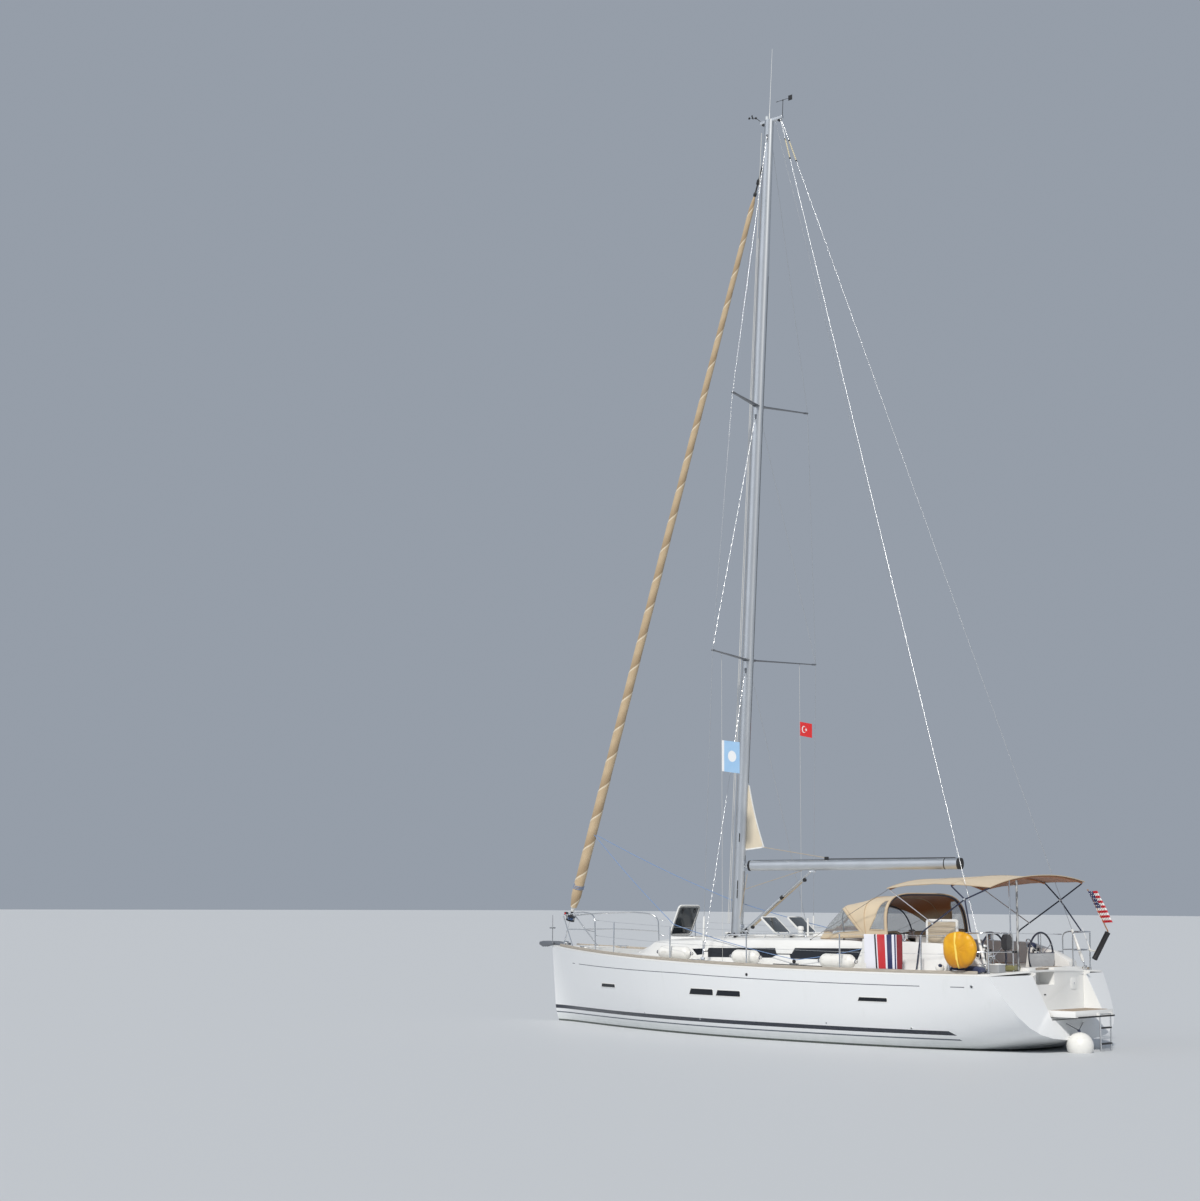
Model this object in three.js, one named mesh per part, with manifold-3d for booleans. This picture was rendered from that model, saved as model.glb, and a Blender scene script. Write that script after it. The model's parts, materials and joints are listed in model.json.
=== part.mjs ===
// A 12 m cruising sloop: millimetres, +X to the bow, +Y to port, +Z up.
// The origin is on the waterline, on the centreline, halfway along the hull.
import * as THREE from "three";
import { mergeVertices } from "three/addons/utils/BufferGeometryUtils.js";
import Module from "manifold-3d";

const wasm = await Module();
wasm.setup();

// Driving dimensions
const HALF_LENGTH = 5990;
const SKIN = 30; // thickness of the hull and deck laminates
const FIT = 0.3; // gap between pieces that touch
const DECK_EDGE = 30; // the deck moulding's rim closes the top of the hull side
const TRANSOM = { x: -5450, z: 1247, rake: 0.5, bulge: 90, halfWidth: 1750 };
const KEEL = { front: 720, rootChord: 1900, tipChord: 1150, depth: 2100, bulb: 2200, thick: 210 };
const RUDDER = { x: -4930, top: -190, bottom: -1900, rootChord: 620, tipChord: 430, stock: 39.3 };
const SAILDRIVE = { x: -2350, shaftZ: -900 };
const MAST = { x: 1184, z0: 1700, rake: 0.057, top: 17560, fore: 130, side: 78 };
const BOOM = { z: 3055, end: -3820, half: 118, width: 75 };
const LOWER = { z: 6940, reach: 1615, sweep: 0.268, clear: 1.1 };
const UPPER = { z: 11850, reach: 1195, sweep: 0.268, clear: 2.7 };
const CHAINPLATE = { x: 640, y: 1640 };
const WHEEL = { x: -4885, y: 750, z: 1500, radius: 405 };
const COCKPIT = { front: -2680, aft: -5160, seatEnd: -4520, sole: 880, seat: 1330, well: 350, coaming: 1200 };
const HELM = { aft: -5480, top: 1330, sill: 1050, passPort: 420, passStarboard: -160 };
const RECESS = { port: 640, starboard: -1120, floor: 545 };
const PLATFORM = { hinge: -5752, pin: 556.4, length: 545, half: 603, under: 562, thick: 102 };
const COMPANIONWAY = { front: -1880, half: 320 };
const WIRE = 5; // radius of the standing rigging
const TUBE = 12.5; // radius of rails and canopy frames

// Hull sections: x, deck half-beam, keel line, and the two inner points of the section's curve
const SECTIONS = [
  { x: 5990, beam: 32, keel: -100, bilge: 12, chine: 24, flare: 600 },
  { x: 5300, beam: 405, keel: -240, bilge: 60, chine: 215, flare: 120 },
  { x: 4400, beam: 830, keel: -380, bilge: 220, chine: 590, flare: -80 },
  { x: 3000, beam: 1350, keel: -500, bilge: 550, chine: 1110, flare: -270 },
  { x: 1500, beam: 1710, keel: -550, bilge: 880, chine: 1560, flare: -360 },
  { x: 0, beam: 1920, keel: -560, bilge: 1080, chine: 1860, flare: -380 },
  { x: -1500, beam: 1988, keel: -530, bilge: 1180, chine: 1930, flare: -340 },
  { x: -3000, beam: 1975, keel: -430, bilge: 1220, chine: 1900, flare: -260 },
  { x: -4500, beam: 1885, keel: -210, bilge: 1220, chine: 1720, flare: -50 },
  { x: -6200, beam: 1725, keel: 225, bilge: 1220, chine: 1450, flare: 400 },
];

// Coachroof sections: x, half-width at the deck, half-width and height at the roof's edge, crown
const ROOF = [
  { x: 3150, base: 560, top: 520, edge: 1395, crown: 1412 },
  { x: 2800, base: 740, top: 640, edge: 1590, crown: 1640 },
  { x: 2100, base: 950, top: 830, edge: 1650, crown: 1705 },
  { x: 1000, base: 1120, top: 985, edge: 1690, crown: 1755 },
  { x: -500, base: 1200, top: 1050, edge: 1720, crown: 1790 },
  { x: -2650, base: 1225, top: 1070, edge: 1740, crown: 1805 },
];
const ROOF_AFT = -2650;

const V = (x, y, z) => new THREE.Vector3(x, y, z);
const sheer = (x) => 1279 + 0.02065 * x + 2.712e-6 * x * x;
const mastX = (z) => MAST.x - MAST.rake * (z - MAST.z0);

// Reads one named column of a table at x, smoothly between its rows.
function column(table, name, x) {
  const n = table.length - 1;
  let i = 0;
  while (i < n - 1 && x < table[i + 1].x) i++;
  const a = table[i];
  const b = table[i + 1];
  const slope = (p, q) => (q[name] - p[name]) / (q.x - p.x);
  const here = slope(a, b);
  const before = i > 0 ? (slope(table[i - 1], a) + here) / 2 : here;
  const after = i < n - 1 ? (here + slope(b, table[i + 2])) / 2 : here;
  const h = b.x - a.x;
  const t = (x - a.x) / h;
  const s = 1 - t;
  return s * s * (1 + 2 * t) * a[name] + t * t * (1 + 2 * s) * b[name]
    + s * s * t * h * before - t * t * s * h * after;
}

// Solids and geometries
function solid(geometry) {
  const bare = geometry.clone();
  bare.deleteAttribute("normal");
  bare.deleteAttribute("uv");
  const merged = mergeVertices(bare, 1e-3);
  const index = merged.index.array;
  const triVerts = [];
  for (let i = 0; i < index.length; i += 3) {
    const [a, b, c] = [index[i], index[i + 1], index[i + 2]];
    if (a !== b && b !== c && a !== c) triVerts.push(a, b, c);
  }
  return new wasm.Manifold(
    new wasm.Mesh({
      numProp: 3,
      vertProperties: merged.attributes.position.array,
      triVerts: new Uint32Array(triVerts),
    }),
  );
}

function geometryOf(body) {
  const mesh = body.getMesh();
  return new THREE.BufferGeometry()
    .setAttribute("position", new THREE.BufferAttribute(new Float32Array(mesh.vertProperties), 3))
    .setIndex(new THREE.BufferAttribute(new Uint32Array(mesh.triVerts), 1));
}

const fuse = (...bodies) => bodies.flat().reduce((sum, body) => sum.add(body));
const cut = (body, ...tools) => tools.flat().reduce((rest, tool) => rest.subtract(tool), body);

// Joins rings of points into one closed body; the rings run the right way round on their own.
function loft(rings) {
  const n = rings[0].length;
  const positions = [];
  const index = [];
  rings.flat().forEach((p) => positions.push(p.x, p.y, p.z));
  for (let r = 0; r + 1 < rings.length; r++) {
    for (let i = 0; i < n; i++) {
      const a = r * n + i;
      const b = r * n + ((i + 1) % n);
      index.push(a, b, b + n, a, b + n, a + n);
    }
  }
  const last = (rings.length - 1) * n;
  endFaces(rings[0]).forEach(([a, b, c]) => index.push(a, c, b));
  endFaces(rings[rings.length - 1]).forEach(([a, b, c]) => index.push(last + a, last + b, last + c));
  const geometry = new THREE.BufferGeometry();
  geometry.setAttribute("position", new THREE.BufferAttribute(new Float32Array(positions), 3));
  geometry.setIndex(index);
  const body = solid(geometry);
  if (body.volume() > 0) return body;
  for (let i = 0; i < index.length; i += 3) [index[i], index[i + 1]] = [index[i + 1], index[i]];
  geometry.setIndex(index);
  return solid(geometry);
}

// Triangles over a flat ring, in the ring's own point numbers.
function endFaces(ring) {
  const normal = V(0, 0, 0);
  ring.forEach((p, i) => normal.add(p.clone().cross(ring[(i + 1) % ring.length])));
  normal.normalize();
  const side = Math.abs(normal.x) > 0.9 ? V(0, 1, 0) : V(1, 0, 0);
  const u = side.clone().cross(normal).normalize();
  const v = normal.clone().cross(u);
  const flat = ring.map((p) => new THREE.Vector2(p.dot(u), p.dot(v)));
  return THREE.ShapeUtils.triangulateShape(flat, []);
}

function box(x0, x1, y0, y1, z0, z1) {
  const g = new THREE.BoxGeometry(Math.abs(x1 - x0), Math.abs(y1 - y0), Math.abs(z1 - z0));
  return solid(g.translate((x0 + x1) / 2, (y0 + y1) / 2, (z0 + z1) / 2));
}

function rod(a, b, radius, sides = 8, radiusB = radius) {
  const along = b.clone().sub(a);
  const g = new THREE.CylinderGeometry(radiusB, radius, along.length(), sides);
  g.applyQuaternion(new THREE.Quaternion().setFromUnitVectors(V(0, 1, 0), along.clone().normalize()));
  const middle = a.clone().add(b).multiplyScalar(0.5);
  return solid(g.translate(middle.x, middle.y, middle.z));
}

// A round bar in straight runs with mitred corners.
function pipe(points, radius, sides = 6) {
  const runs = points.slice(1).map((p, i) => p.clone().sub(points[i]).normalize());
  const up = Math.abs(runs[0].z) > 0.9 ? V(1, 0, 0) : V(0, 0, 1);
  const u = up.addScaledVector(runs[0], -up.dot(runs[0])).normalize();
  const v = runs[0].clone().cross(u);
  let ring = [];
  for (let i = 0; i < sides; i++) {
    const angle = (2 * Math.PI * i) / sides;
    const out = u.clone().multiplyScalar(Math.cos(angle)).addScaledVector(v, Math.sin(angle));
    ring.push(points[0].clone().addScaledVector(out, radius));
  }
  const rings = [ring];
  for (let k = 1; k < points.length; k++) {
    const run = runs[k - 1];
    const normal = k < runs.length ? run.clone().add(runs[k]) : run;
    ring = ring.map((q) => {
      const t = points[k].clone().sub(q).dot(normal) / run.dot(normal);
      return q.clone().addScaledVector(run, t);
    });
    rings.push(ring);
  }
  return loft(rings);
}

function ball(centre, radius, sides = 12) {
  const g = new THREE.SphereGeometry(radius, sides, Math.max(6, sides / 2));
  return solid(g.rotateX(Math.PI / 2).translate(centre.x, centre.y, centre.z));
}

// A turned body: profile rows are [radius, height], the axis runs from base along direction.
function turned(profile, base, direction, sides = 16) {
  const points = profile.map(([r, h]) => new THREE.Vector2(r, h));
  const g = new THREE.LatheGeometry(points, sides);
  g.applyQuaternion(new THREE.Quaternion().setFromUnitVectors(V(0, 1, 0), direction.clone().normalize()));
  const body = solid(g.translate(base.x, base.y, base.z));
  if (body.volume() > 0) return body;
  return turned([...profile].reverse(), base, direction, sides);
}

// A plate cut from an outline in the X-Z plane, between two sides.
function sidePlate(outline, y0, y1) {
  const [low, high] = [Math.min(y0, y1), Math.max(y0, y1)];
  return loft([low, high].map((y) => outline.map(([x, z]) => V(x, y, z))));
}

// Hull
function stemShift(x, z) {
  const weight = THREE.MathUtils.smoothstep(x, 4790, HALF_LENGTH);
  const forefoot = Math.max(0, 250 - z);
  return -weight * (0.08 * (sheer(HALF_LENGTH) - z) + 0.0011 * forefoot * forefoot);
}

// One side of a section from the keel line up to the sheer, inset by the laminate when asked.
function halfSection(x, inset, top, steps) {
  const get = (name) => column(SECTIONS, name, x);
  const p = [
    [0, get("keel") + inset],
    [Math.max(4, get("bilge") - inset * 0.6), get("keel") + inset],
    [Math.max(6, get("chine") - inset), get("flare") + inset * 0.4],
    [Math.max(8, get("beam") - inset), top],
  ];
  const points = [];
  for (let i = 0; i <= steps; i++) {
    const t = i / steps;
    const s = 1 - t;
    const w = [s * s * s, 3 * s * s * t, 3 * s * t * t, t * t * t];
    const at = (k) => w.reduce((sum, value, j) => sum + value * p[j][k], 0);
    points.push([at(0), at(1)]);
  }
  return points;
}

function hullRing(x, inset, top, steps = 7) {
  const half = halfSection(x, inset, top, steps);
  const place = (y, z) => V(x + stemShift(x, z), y, z);
  const port = half.map(([y, z]) => place(y, z));
  const starboard = half.slice(1).map(([y, z]) => place(-y, z));
  return [...port.reverse(), ...starboard];
}

const hullStations = (first, last, count) => {
  const list = [];
  for (let i = 0; i <= count; i++) list.push(first + ((last - first) * i) / count);
  return list;
};

function hullBody(inset, top, first, last, count) {
  const stations = hullStations(first, last, count);
  return loft(stations.map((x) => hullRing(x, inset, top(x))));
}

const transomX = (y, z) =>
  TRANSOM.x - TRANSOM.rake * (TRANSOM.z - z) - TRANSOM.bulge * (1 - (y / TRANSOM.halfWidth) ** 2);

// Everything aft of the raked, slightly rounded transom, moved forward by inset.
function aftOfTransom(inset) {
  const rings = [];
  for (let y = -2400; y <= 2400; y += 400) {
    rings.push([
      V(transomX(y, -800) + inset, y, -800),
      V(transomX(y, 2000) + inset, y, 2000),
      V(-9000, y, 2000),
      V(-9000, y, -800),
    ]);
  }
  return loft(rings);
}

function transomRecess() {
  return box(-7000, HELM.aft - 8, RECESS.starboard, RECESS.port, RECESS.floor - SKIN - 8, 2600);
}

const hullOutside = (grow) => hullBody(-grow, (x) => sheer(x) - DECK_EDGE + grow / 2, HALF_LENGTH, -6200, 26);
const hullInside = (grow) => cut(
  hullBody(SKIN + grow, (x) => sheer(x) + 60, 5760 - grow, -6200, 20),
  aftOfTransom(SKIN + 10 + grow),
);

function hullShell() {
  const shell = cut(hullOutside(0), hullInside(0), aftOfTransom(0));
  const stock = rod(V(RUDDER.x, 0, -900), V(RUDDER.x, 0, 300), RUDDER.stock + 0.7, 20);
  const leg = box(SAILDRIVE.x - 172, SAILDRIVE.x + 172, -82, 82, -800, -300);
  return cut(shell, transomRecess(), stock, leg);
}

// The laminate with its fitting gap, taken out of whatever is built into the hull
const laminate = () => cut(hullOutside(FIT), hullInside(FIT * 2), transomRecess());

// Deck, coachroof and cockpit as one moulding
function deckPlate() {
  const stations = hullStations(HALF_LENGTH, -6200, 26);
  const rings = stations.map((x) => {
    const beam = column(SECTIONS, "beam", x);
    const shift = stemShift(x, sheer(x));
    const across = [1, 0.8, 0.4, 0, -0.4, -0.8, -1];
    const camber = (k) => 45 * (1 - k * k) * Math.min(1, beam / 900);
    const top = across.map((k) => V(x + shift, k * beam, sheer(x) + camber(k)));
    const bottom = across.map((k) => V(x + shift, k * beam, sheer(x) + camber(k) - DECK_EDGE + FIT));
    return [...top, ...bottom.reverse()];
  });
  return cut(loft(rings), aftOfTransom(0));
}

function roofBody(inset, low, first, last, count) {
  const rings = hullStations(first, last, count).map((x) => {
    const get = (name) => column(ROOF, name, x);
    const base = get("base") - inset;
    const top = get("top") - inset;
    const edge = get("edge") - inset;
    const crown = get("crown") - inset;
    const side = [
      [base + 18, low],
      [base, sheer(x) + 60],
      [top + 30, edge - 55],
      [top + 6, edge - 14],
      [top - 40, edge + 4],
      [top * 0.5, crown - (crown - edge) * 0.25],
    ];
    const port = side.map(([y, z]) => V(x, y, z));
    const starboard = side.map(([y, z]) => V(x, -y, z)).reverse();
    return [...port, V(x, 0, crown), ...starboard];
  });
  return loft(rings);
}

const roofEdge = (x) => column(ROOF, "edge", x);
const roofCrown = (x) => column(ROOF, "crown", x);
const roofAt = (x, y) => {
  const half = column(ROOF, "top", x);
  const share = Math.min(1, Math.abs(y) / half);
  return roofCrown(x) - (roofCrown(x) - roofEdge(x)) * share ** 2;
};

// The band of side windows in X and Z: a small front pane, the main pane and the aft pane, on a thin line
const WINDOW_BAND = [
  [1430, 1520], [1120, 1532], [1105, 1490], [1010, 1492], [1000, 1545],
  [-600, 1572], [-660, 1478], [-1000, 1480], [-1050, 1580], [-2500, 1600],
  [-2450, 1405], [-1000, 1392], [-960, 1462], [-700, 1460], [-560, 1400],
  [960, 1378], [995, 1474], [1095, 1472], [1110, 1425], [1260, 1408],
];

// Roof hatches: centre, half-size and how far the lid stands open in the rest position
const HATCHES = {
  fore: { x: 2260, y: 0, half: 310, hinge: 1, open: 66 },
  port: { x: 20, y: 390, half: 225, hinge: -1, open: 40 },
  starboard: { x: 20, y: -390, half: 225, hinge: -1, open: 40 },
};
const LID_THICK = 34;
const RIM = 22; // height of a hatch's seat above the roof

function hatchSeat(h) {
  const z = roofAt(h.x, h.y);
  const out = h.half + 12;
  return box(h.x - out, h.x + out, h.y - out, h.y + out, z - 60, z + RIM);
}

function hatchHole(h) {
  const inner = h.half - 42;
  return box(h.x - inner, h.x + inner, h.y - inner, h.y + inner, 1300, 2300);
}

const ANCHOR_LOCKER = { front: 5420, aft: 4700, fore: 210, rear: 470, depth: 420 };

function lockerPrism(grow, z0, z1) {
  const a = ANCHOR_LOCKER;
  const outline = [
    [a.front + grow, a.fore + grow],
    [a.aft - grow, a.rear + grow],
    [a.aft - grow, -a.rear - grow],
    [a.front + grow, -a.fore - grow],
  ];
  return loft([z0, z1].map((z) => outline.map(([x, y]) => V(x, y, z))));
}

function cockpitVoid(wall) {
  const c = COCKPIT;
  const lift = 2600;
  const well = box(c.front + wall, c.aft - wall, -c.well - wall, c.well + wall, c.sole - wall, lift);
  const seats = box(c.front + wall, c.seatEnd - wall, -c.coaming - wall, c.coaming + wall, c.seat - wall, lift);
  const helm = box(c.seatEnd + wall, c.aft - wall, -1260 - wall, 1260 + wall, c.sole - wall, lift);
  return fuse(well, seats, helm);
}

// Cockpit coamings: inner and outer edge, and height
const COAMING = [
  { x: COCKPIT.front + 60, inner: 1185, outer: 1330, top: 1770 },
  { x: -3000, inner: 1185, outer: 1420, top: 1750 },
  { x: -4300, inner: 1185, outer: 1500, top: 1715 },
  { x: -4800, inner: 1235, outer: 1540, top: 1560 },
  { x: -5120, inner: 1235, outer: 1560, top: 1400 },
];
function coamingZ(x) {
  const i = COAMING.findIndex((row) => row.x < x);
  const [a, b] = [COAMING[i - 1], COAMING[i]];
  return THREE.MathUtils.mapLinear(x, a.x, b.x, a.top, b.top);
}

const LOCKER_LID = { front: -3850, aft: -4480, hinge: 1145, inner: 362, thick: 32 };

function lockerHole(side) {
  const l = LOCKER_LID;
  const [y0, y1] = [side * (l.inner + 22), side * (l.hinge - 24)];
  return box(l.front - 26, l.aft + 26, Math.min(y0, y1), Math.max(y0, y1), 1200, 1420);
}

function deckMoulding() {
  const c = COCKPIT;
  const roofOuter = roofBody(0, 1150, 3150, ROOF_AFT, 11);
  const roofInner = roofBody(SKIN, 1100, 3040, ROOF_AFT + SKIN, 10);
  const coaming = (side) => loft(COAMING.map((r) => [
    V(r.x, side * r.inner, 1240),
    V(r.x, side * (r.inner + 12), r.top),
    V(r.x, side * (r.outer - 60), r.top),
    V(r.x, side * r.outer, 1240),
  ]));
  const helmBox = (y0, y1) => box(c.aft, HELM.aft, y0, y1, RECESS.floor - SKIN, HELM.top);
  const passage = box(c.aft, HELM.aft, HELM.passStarboard, HELM.passPort, RECESS.floor - SKIN, HELM.sill);
  const apron = cut(
    box(HELM.aft, -6100, RECESS.starboard + 1, RECESS.port - 1, RECESS.floor - SKIN, RECESS.floor),
    aftOfTransom(40),
  );
  const seats = fuse(
    helmBox(HELM.passPort, RECESS.port - 1),
    helmBox(RECESS.starboard + 1, HELM.passStarboard),
    passage,
    apron,
  );
  const tub = cockpitVoid(SKIN);
  const tubTrim = box(-1000, -7000, -3000, 3000, c.seat, 4000);
  const deck = cut(deckPlate(), roofInner, transomRecess());
  const locker = cut(lockerPrism(SKIN, 1000, sheer(5000)), box(6500, 5500, -900, 900, 0, 3000));
  const parts = fuse(
    cut(deck, cut(cockpitVoid(0), box(-1000, -7000, -3000, 3000, 0, 1000))),
    roofOuter,
    cut(tub, tubTrim, box(0, c.front - 2, -3000, 3000, c.seat - SKIN, 4000)),
    coaming(1),
    coaming(-1),
    cut(fuse(seats, locker), aftOfTransom(20), laminate()),
    Object.values(HATCHES).map(hatchSeat),
    slideRails(),
  );
  const doorway = box(COMPANIONWAY.front, c.front - 60, -COMPANIONWAY.half, COMPANIONWAY.half, 1180, 2600);
  return cut(
    parts,
    cut(roofInner, box(c.front, -7000, -3000, 3000, 0, 4000)),
    cockpitVoid(0),
    doorway,
    Object.values(HATCHES).map(hatchHole),
    lockerHole(1),
    lockerHole(-1),
    lockerPrism(-18, 1030, 3000),
    sidePlate(WINDOW_BAND, 700, 1500),
    sidePlate(WINDOW_BAND, -1500, -700),
  );
}

// One side's panes, set in the middle of the coachroof's wall with a fitting gap all round
function sideWindow(side) {
  const pane = WINDOW_BAND.map((p, i) => {
    const n = WINDOW_BAND.length;
    const before = WINDOW_BAND[(i + n - 1) % n];
    const after = WINDOW_BAND[(i + 1) % n];
    const normal = (a, b) => {
      const [dx, dz] = [b[0] - a[0], b[1] - a[1]];
      const size = Math.hypot(dx, dz);
      return [dz / size, -dx / size];
    };
    const [n1, n2] = [normal(before, p), normal(p, after)];
    const bend = Math.max(0.3, 1 + n1[0] * n2[0] + n1[1] * n2[1]);
    return [p[0] + ((n1[0] + n2[0]) * -FIT * 2) / bend, p[1] + ((n1[1] + n2[1]) * -FIT * 2) / bend];
  });
  const wall = cut(roofBody(4, 1150, 3150, ROOF_AFT, 11), roofBody(16, 1100, 3040, ROOF_AFT + 16, 10));
  return wall.intersect(sidePlate(pane, side * 700, side * 1500));
}

const root = new THREE.Group();
function add(name, body, color, roughness = 0.4, metalness = 0) {
  const material = new THREE.MeshStandardMaterial({ color, roughness, metalness });
  const mesh = new THREE.Mesh(geometryOf(body), material);
  mesh.name = name;
  root.add(mesh);
}

const WHITE = 0xeceeee;
const STEEL = 0xc8cccf;
const SILVER = 0xb4bcc2;
const DARK = 0x1c1f24;
const TEAK = 0x8d8478;
const CANVAS = 0xcdb594;
const SIDES = [
  { name: "port", y: 1 },
  { name: "starboard", y: -1 },
];

// Height of the deck's top surface, flat between the moulding's lines of camber
function deckZ(x, y) {
  const beam = column(SECTIONS, "beam", x);
  const lines = [0, 0.4, 0.8, 1];
  const k = Math.min(1, Math.abs(y) / beam);
  const camber = (c) => 45 * (1 - c * c) * Math.min(1, beam / 900);
  const i = k < 0.4 ? 0 : k < 0.8 ? 1 : 2;
  const t = (k - lines[i]) / (lines[i + 1] - lines[i]);
  return sheer(x) + camber(lines[i]) * (1 - t) + camber(lines[i + 1]) * t;
}

const beamAt = (x) => column(SECTIONS, "beam", x);

// Lowest level that clears the deck under a foot of the given half-size
const seatZ = (x, y, size) => 0.5 + Math.max(
  deckZ(x + size, y - size), deckZ(x + size, y + size), deckZ(x - size, y - size), deckZ(x - size, y + size), deckZ(x, y),
);

// A wing-like section in plan: chord along X from its leading edge, thickness along Y
function foilRing(lead, chord, thickness, z) {
  const shares = [0, 0.03, 0.12, 0.3, 0.55, 0.8, 1];
  const half = shares.map((c) => {
    const t = thickness * (1.48 * Math.sqrt(c) - 0.63 * c - 1.76 * c * c + 1.42 * c ** 3 - 0.507 * c ** 4);
    return [lead - c * chord, Math.max(t, c > 0.5 ? 3 : 0)];
  });
  const port = half.slice(1).map(([x, y]) => V(x, y, z));
  const starboard = half.slice(1).map(([x, y]) => V(x, -y, z)).reverse();
  return [V(half[0][0], 0, z), ...port, ...starboard];
}

// Underwater fittings
function keel() {
  const k = KEEL;
  const rows = [
    { z: -380, lead: k.front, chord: k.rootChord },
    { z: -620, lead: k.front - 60, chord: k.rootChord - 120 },
    { z: -1900, lead: k.front - 300, chord: k.tipChord },
  ];
  const fin = loft(rows.map((r) => foilRing(r.lead, r.chord, k.thick * (r.chord / k.rootChord), r.z)));
  const bulbRows = [[0, 0], [60, 70], [300, 140], [800, 168], [1400, 140], [2000, 60], [2200, 0]];
  const bulb = turned(bulbRows.map(([h, r]) => [r, h]), V(k.front - 60, 0, 168 - k.depth), V(-1, 0, 0), 16);
  const grown = hullBody(-FIT * 2, (x) => sheer(x), HALF_LENGTH, -6200, 26);
  return cut(fuse(fin, bulb), grown);
}

function rudder() {
  const r = RUDDER;
  const lead = (chord) => r.x + chord * 0.2;
  const blade = loft([
    foilRing(lead(r.rootChord), r.rootChord, 96, r.top),
    foilRing(lead(r.rootChord) - 10, r.rootChord - 10, 90, -700),
    foilRing(lead(r.tipChord) - 20, r.tipChord, 52, r.bottom),
  ]);
  return fuse(blade, rod(V(r.x, 0, -1200), V(r.x, 0, 380), r.stock, 20));
}

function saildriveLeg() {
  const s = SAILDRIVE;
  const strut = loft([
    foilRing(s.x + 150, 300, 70, -430),
    foilRing(s.x + 130, 270, 62, s.shaftZ),
  ]);
  const flange = box(s.x - 171.4, s.x + 171.4, -81.4, 81.4, -700, -380).intersect(hullOutside(0));
  const pod = turned([[0, 0], [48, 40], [62, 150], [62, 330], [50, 400], [0, 400]], V(s.x + 220, 0, s.shaftZ), V(-1, 0, 0));
  const fin = loft([foilRing(s.x + 60, 160, 24, s.shaftZ - 30), foilRing(s.x + 10, 90, 14, s.shaftZ - 190)]);
  return fuse(strut, flange, pod, fin);
}

function propeller() {
  const hubX = SAILDRIVE.x - 180.6;
  const hub = turned([[0, 0], [48, 0], [48, 70], [30, 120], [0, 130]], V(hubX, 0, SAILDRIVE.shaftZ), V(-1, 0, 0));
  const blade = (turn) => {
    const rows = [
      { r: 22, width: 26, pitch: 55 },
      { r: 120, width: 74, pitch: 34 },
      { r: 215, width: 34, pitch: 22 },
    ];
    const rings = rows.map(({ r, width, pitch }) => {
      const a = THREE.MathUtils.degToRad(pitch);
      return [[-1, 1], [-0.4, 5], [0.5, 4.5], [1, 1], [1, -1], [-1, -1]].map(([u, n]) =>
        V(-u * width * Math.sin(a) - n * Math.cos(a), u * width * Math.cos(a) - n * Math.sin(a), r),
      );
    });
    const spin = new THREE.Matrix4().makeRotationX(turn);
    const move = new THREE.Matrix4().makeTranslation(hubX - 37, 0, SAILDRIVE.shaftZ);
    rings.flat().forEach((p) => p.applyMatrix4(spin).applyMatrix4(move));
    return loft(rings);
  };
  return fuse(hub, [0, 1, 2].map((i) => blade((i * 2 * Math.PI) / 3)));
}

// Inside the cabin
function engineBlock() {
  const block = box(-2960, -2130, -240, 240, -300, 330);
  const beds = SIDES.map((s) => box(-3000, -2090, s.y * 190, s.y * 280, -620, -280));
  return fuse(block, beds).intersect(hullInside(0.6));
}

function cabinJoinery() {
  const sole = box(-2080, 3300, -1500, 1500, -150, -120);
  const bulkhead = cut(
    box(1120, 1150, -1800, 1800, -560, 1120),
    box(1000, 1300, -280, 330, -110, 1400),
  );
  const post = rod(V(mastX(1700), 0, -120), V(mastX(1700), 0, roofCrown(1210) - SKIN - 12), 45, 12);
  const benches = SIDES.map((s) => box(-700, 1125, s.y * 620, s.y * 1700, -150, 320));
  const galley = SIDES.map((s) => box(-2070, -1050, s.y * 700, s.y * 1700, -150, 780));
  const steps = [0, 1, 2, 3].map((i) => box(-2080, -1760 - i * 80, -300, 300, 60 + i * 250, 92 + i * 250));
  const sides = SIDES.map((s) => box(-2080, -1560, s.y * 300, s.y * 325, -150, 1000));
  return fuse(sole, bulkhead, benches, galley, steps, sides).intersect(hullInside(0.6)).add(post);
}

// Deck edge and rails
function toeRail(side) {
  const stations = hullStations(5560, -5240, 24);
  return loft(stations.map((x) => {
    const [out, inn] = [beamAt(x) - 10, beamAt(x) - 46];
    const shift = stemShift(x, sheer(x));
    return [
      V(x + shift, side * out, deckZ(x, out) + FIT + 0.4),
      V(x + shift, side * (out - 3), deckZ(x, out) + 52),
      V(x + shift, side * (inn + 5), deckZ(x, inn) + 52),
      V(x + shift, side * inn, deckZ(x, inn) + FIT + 0.4),
    ];
  }));
}

const STANCHIONS = [3225, 1420, -560, -2600, -4190];
const RAIL_INSET = 82;
const railY = (x) => beamAt(x) - RAIL_INSET;
const LINE_HEIGHTS = [310, 605];
const PULPIT_FOOT = 3950;
const PUSHPIT_FOOT = -4700;

function railFoot(x, y, z = seatZ(x, y, 28)) {
  return rod(V(x, y, z), V(x, y, z + 14), 28, 8);
}

function lifelines(side) {
  const posts = STANCHIONS.map((x) => {
    const y = side * railY(x);
    const foot = seatZ(x, y, 32);
    return fuse(
      rod(V(x, y, foot), V(x, y, foot + 615), TUBE, 6),
      box(x - 32, x + 32, y - 22, y + 22, foot, foot + 36),
    );
  });
  const ends = [PULPIT_FOOT - TUBE - 1, ...STANCHIONS, PUSHPIT_FOOT + TUBE + 1];
  const lines = LINE_HEIGHTS.map((h) =>
    pipe(ends.map((x) => V(x, side * railY(x), deckZ(x, railY(x)) + h)), 3.5, 4),
  );
  return fuse(posts, lines);
}

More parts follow.
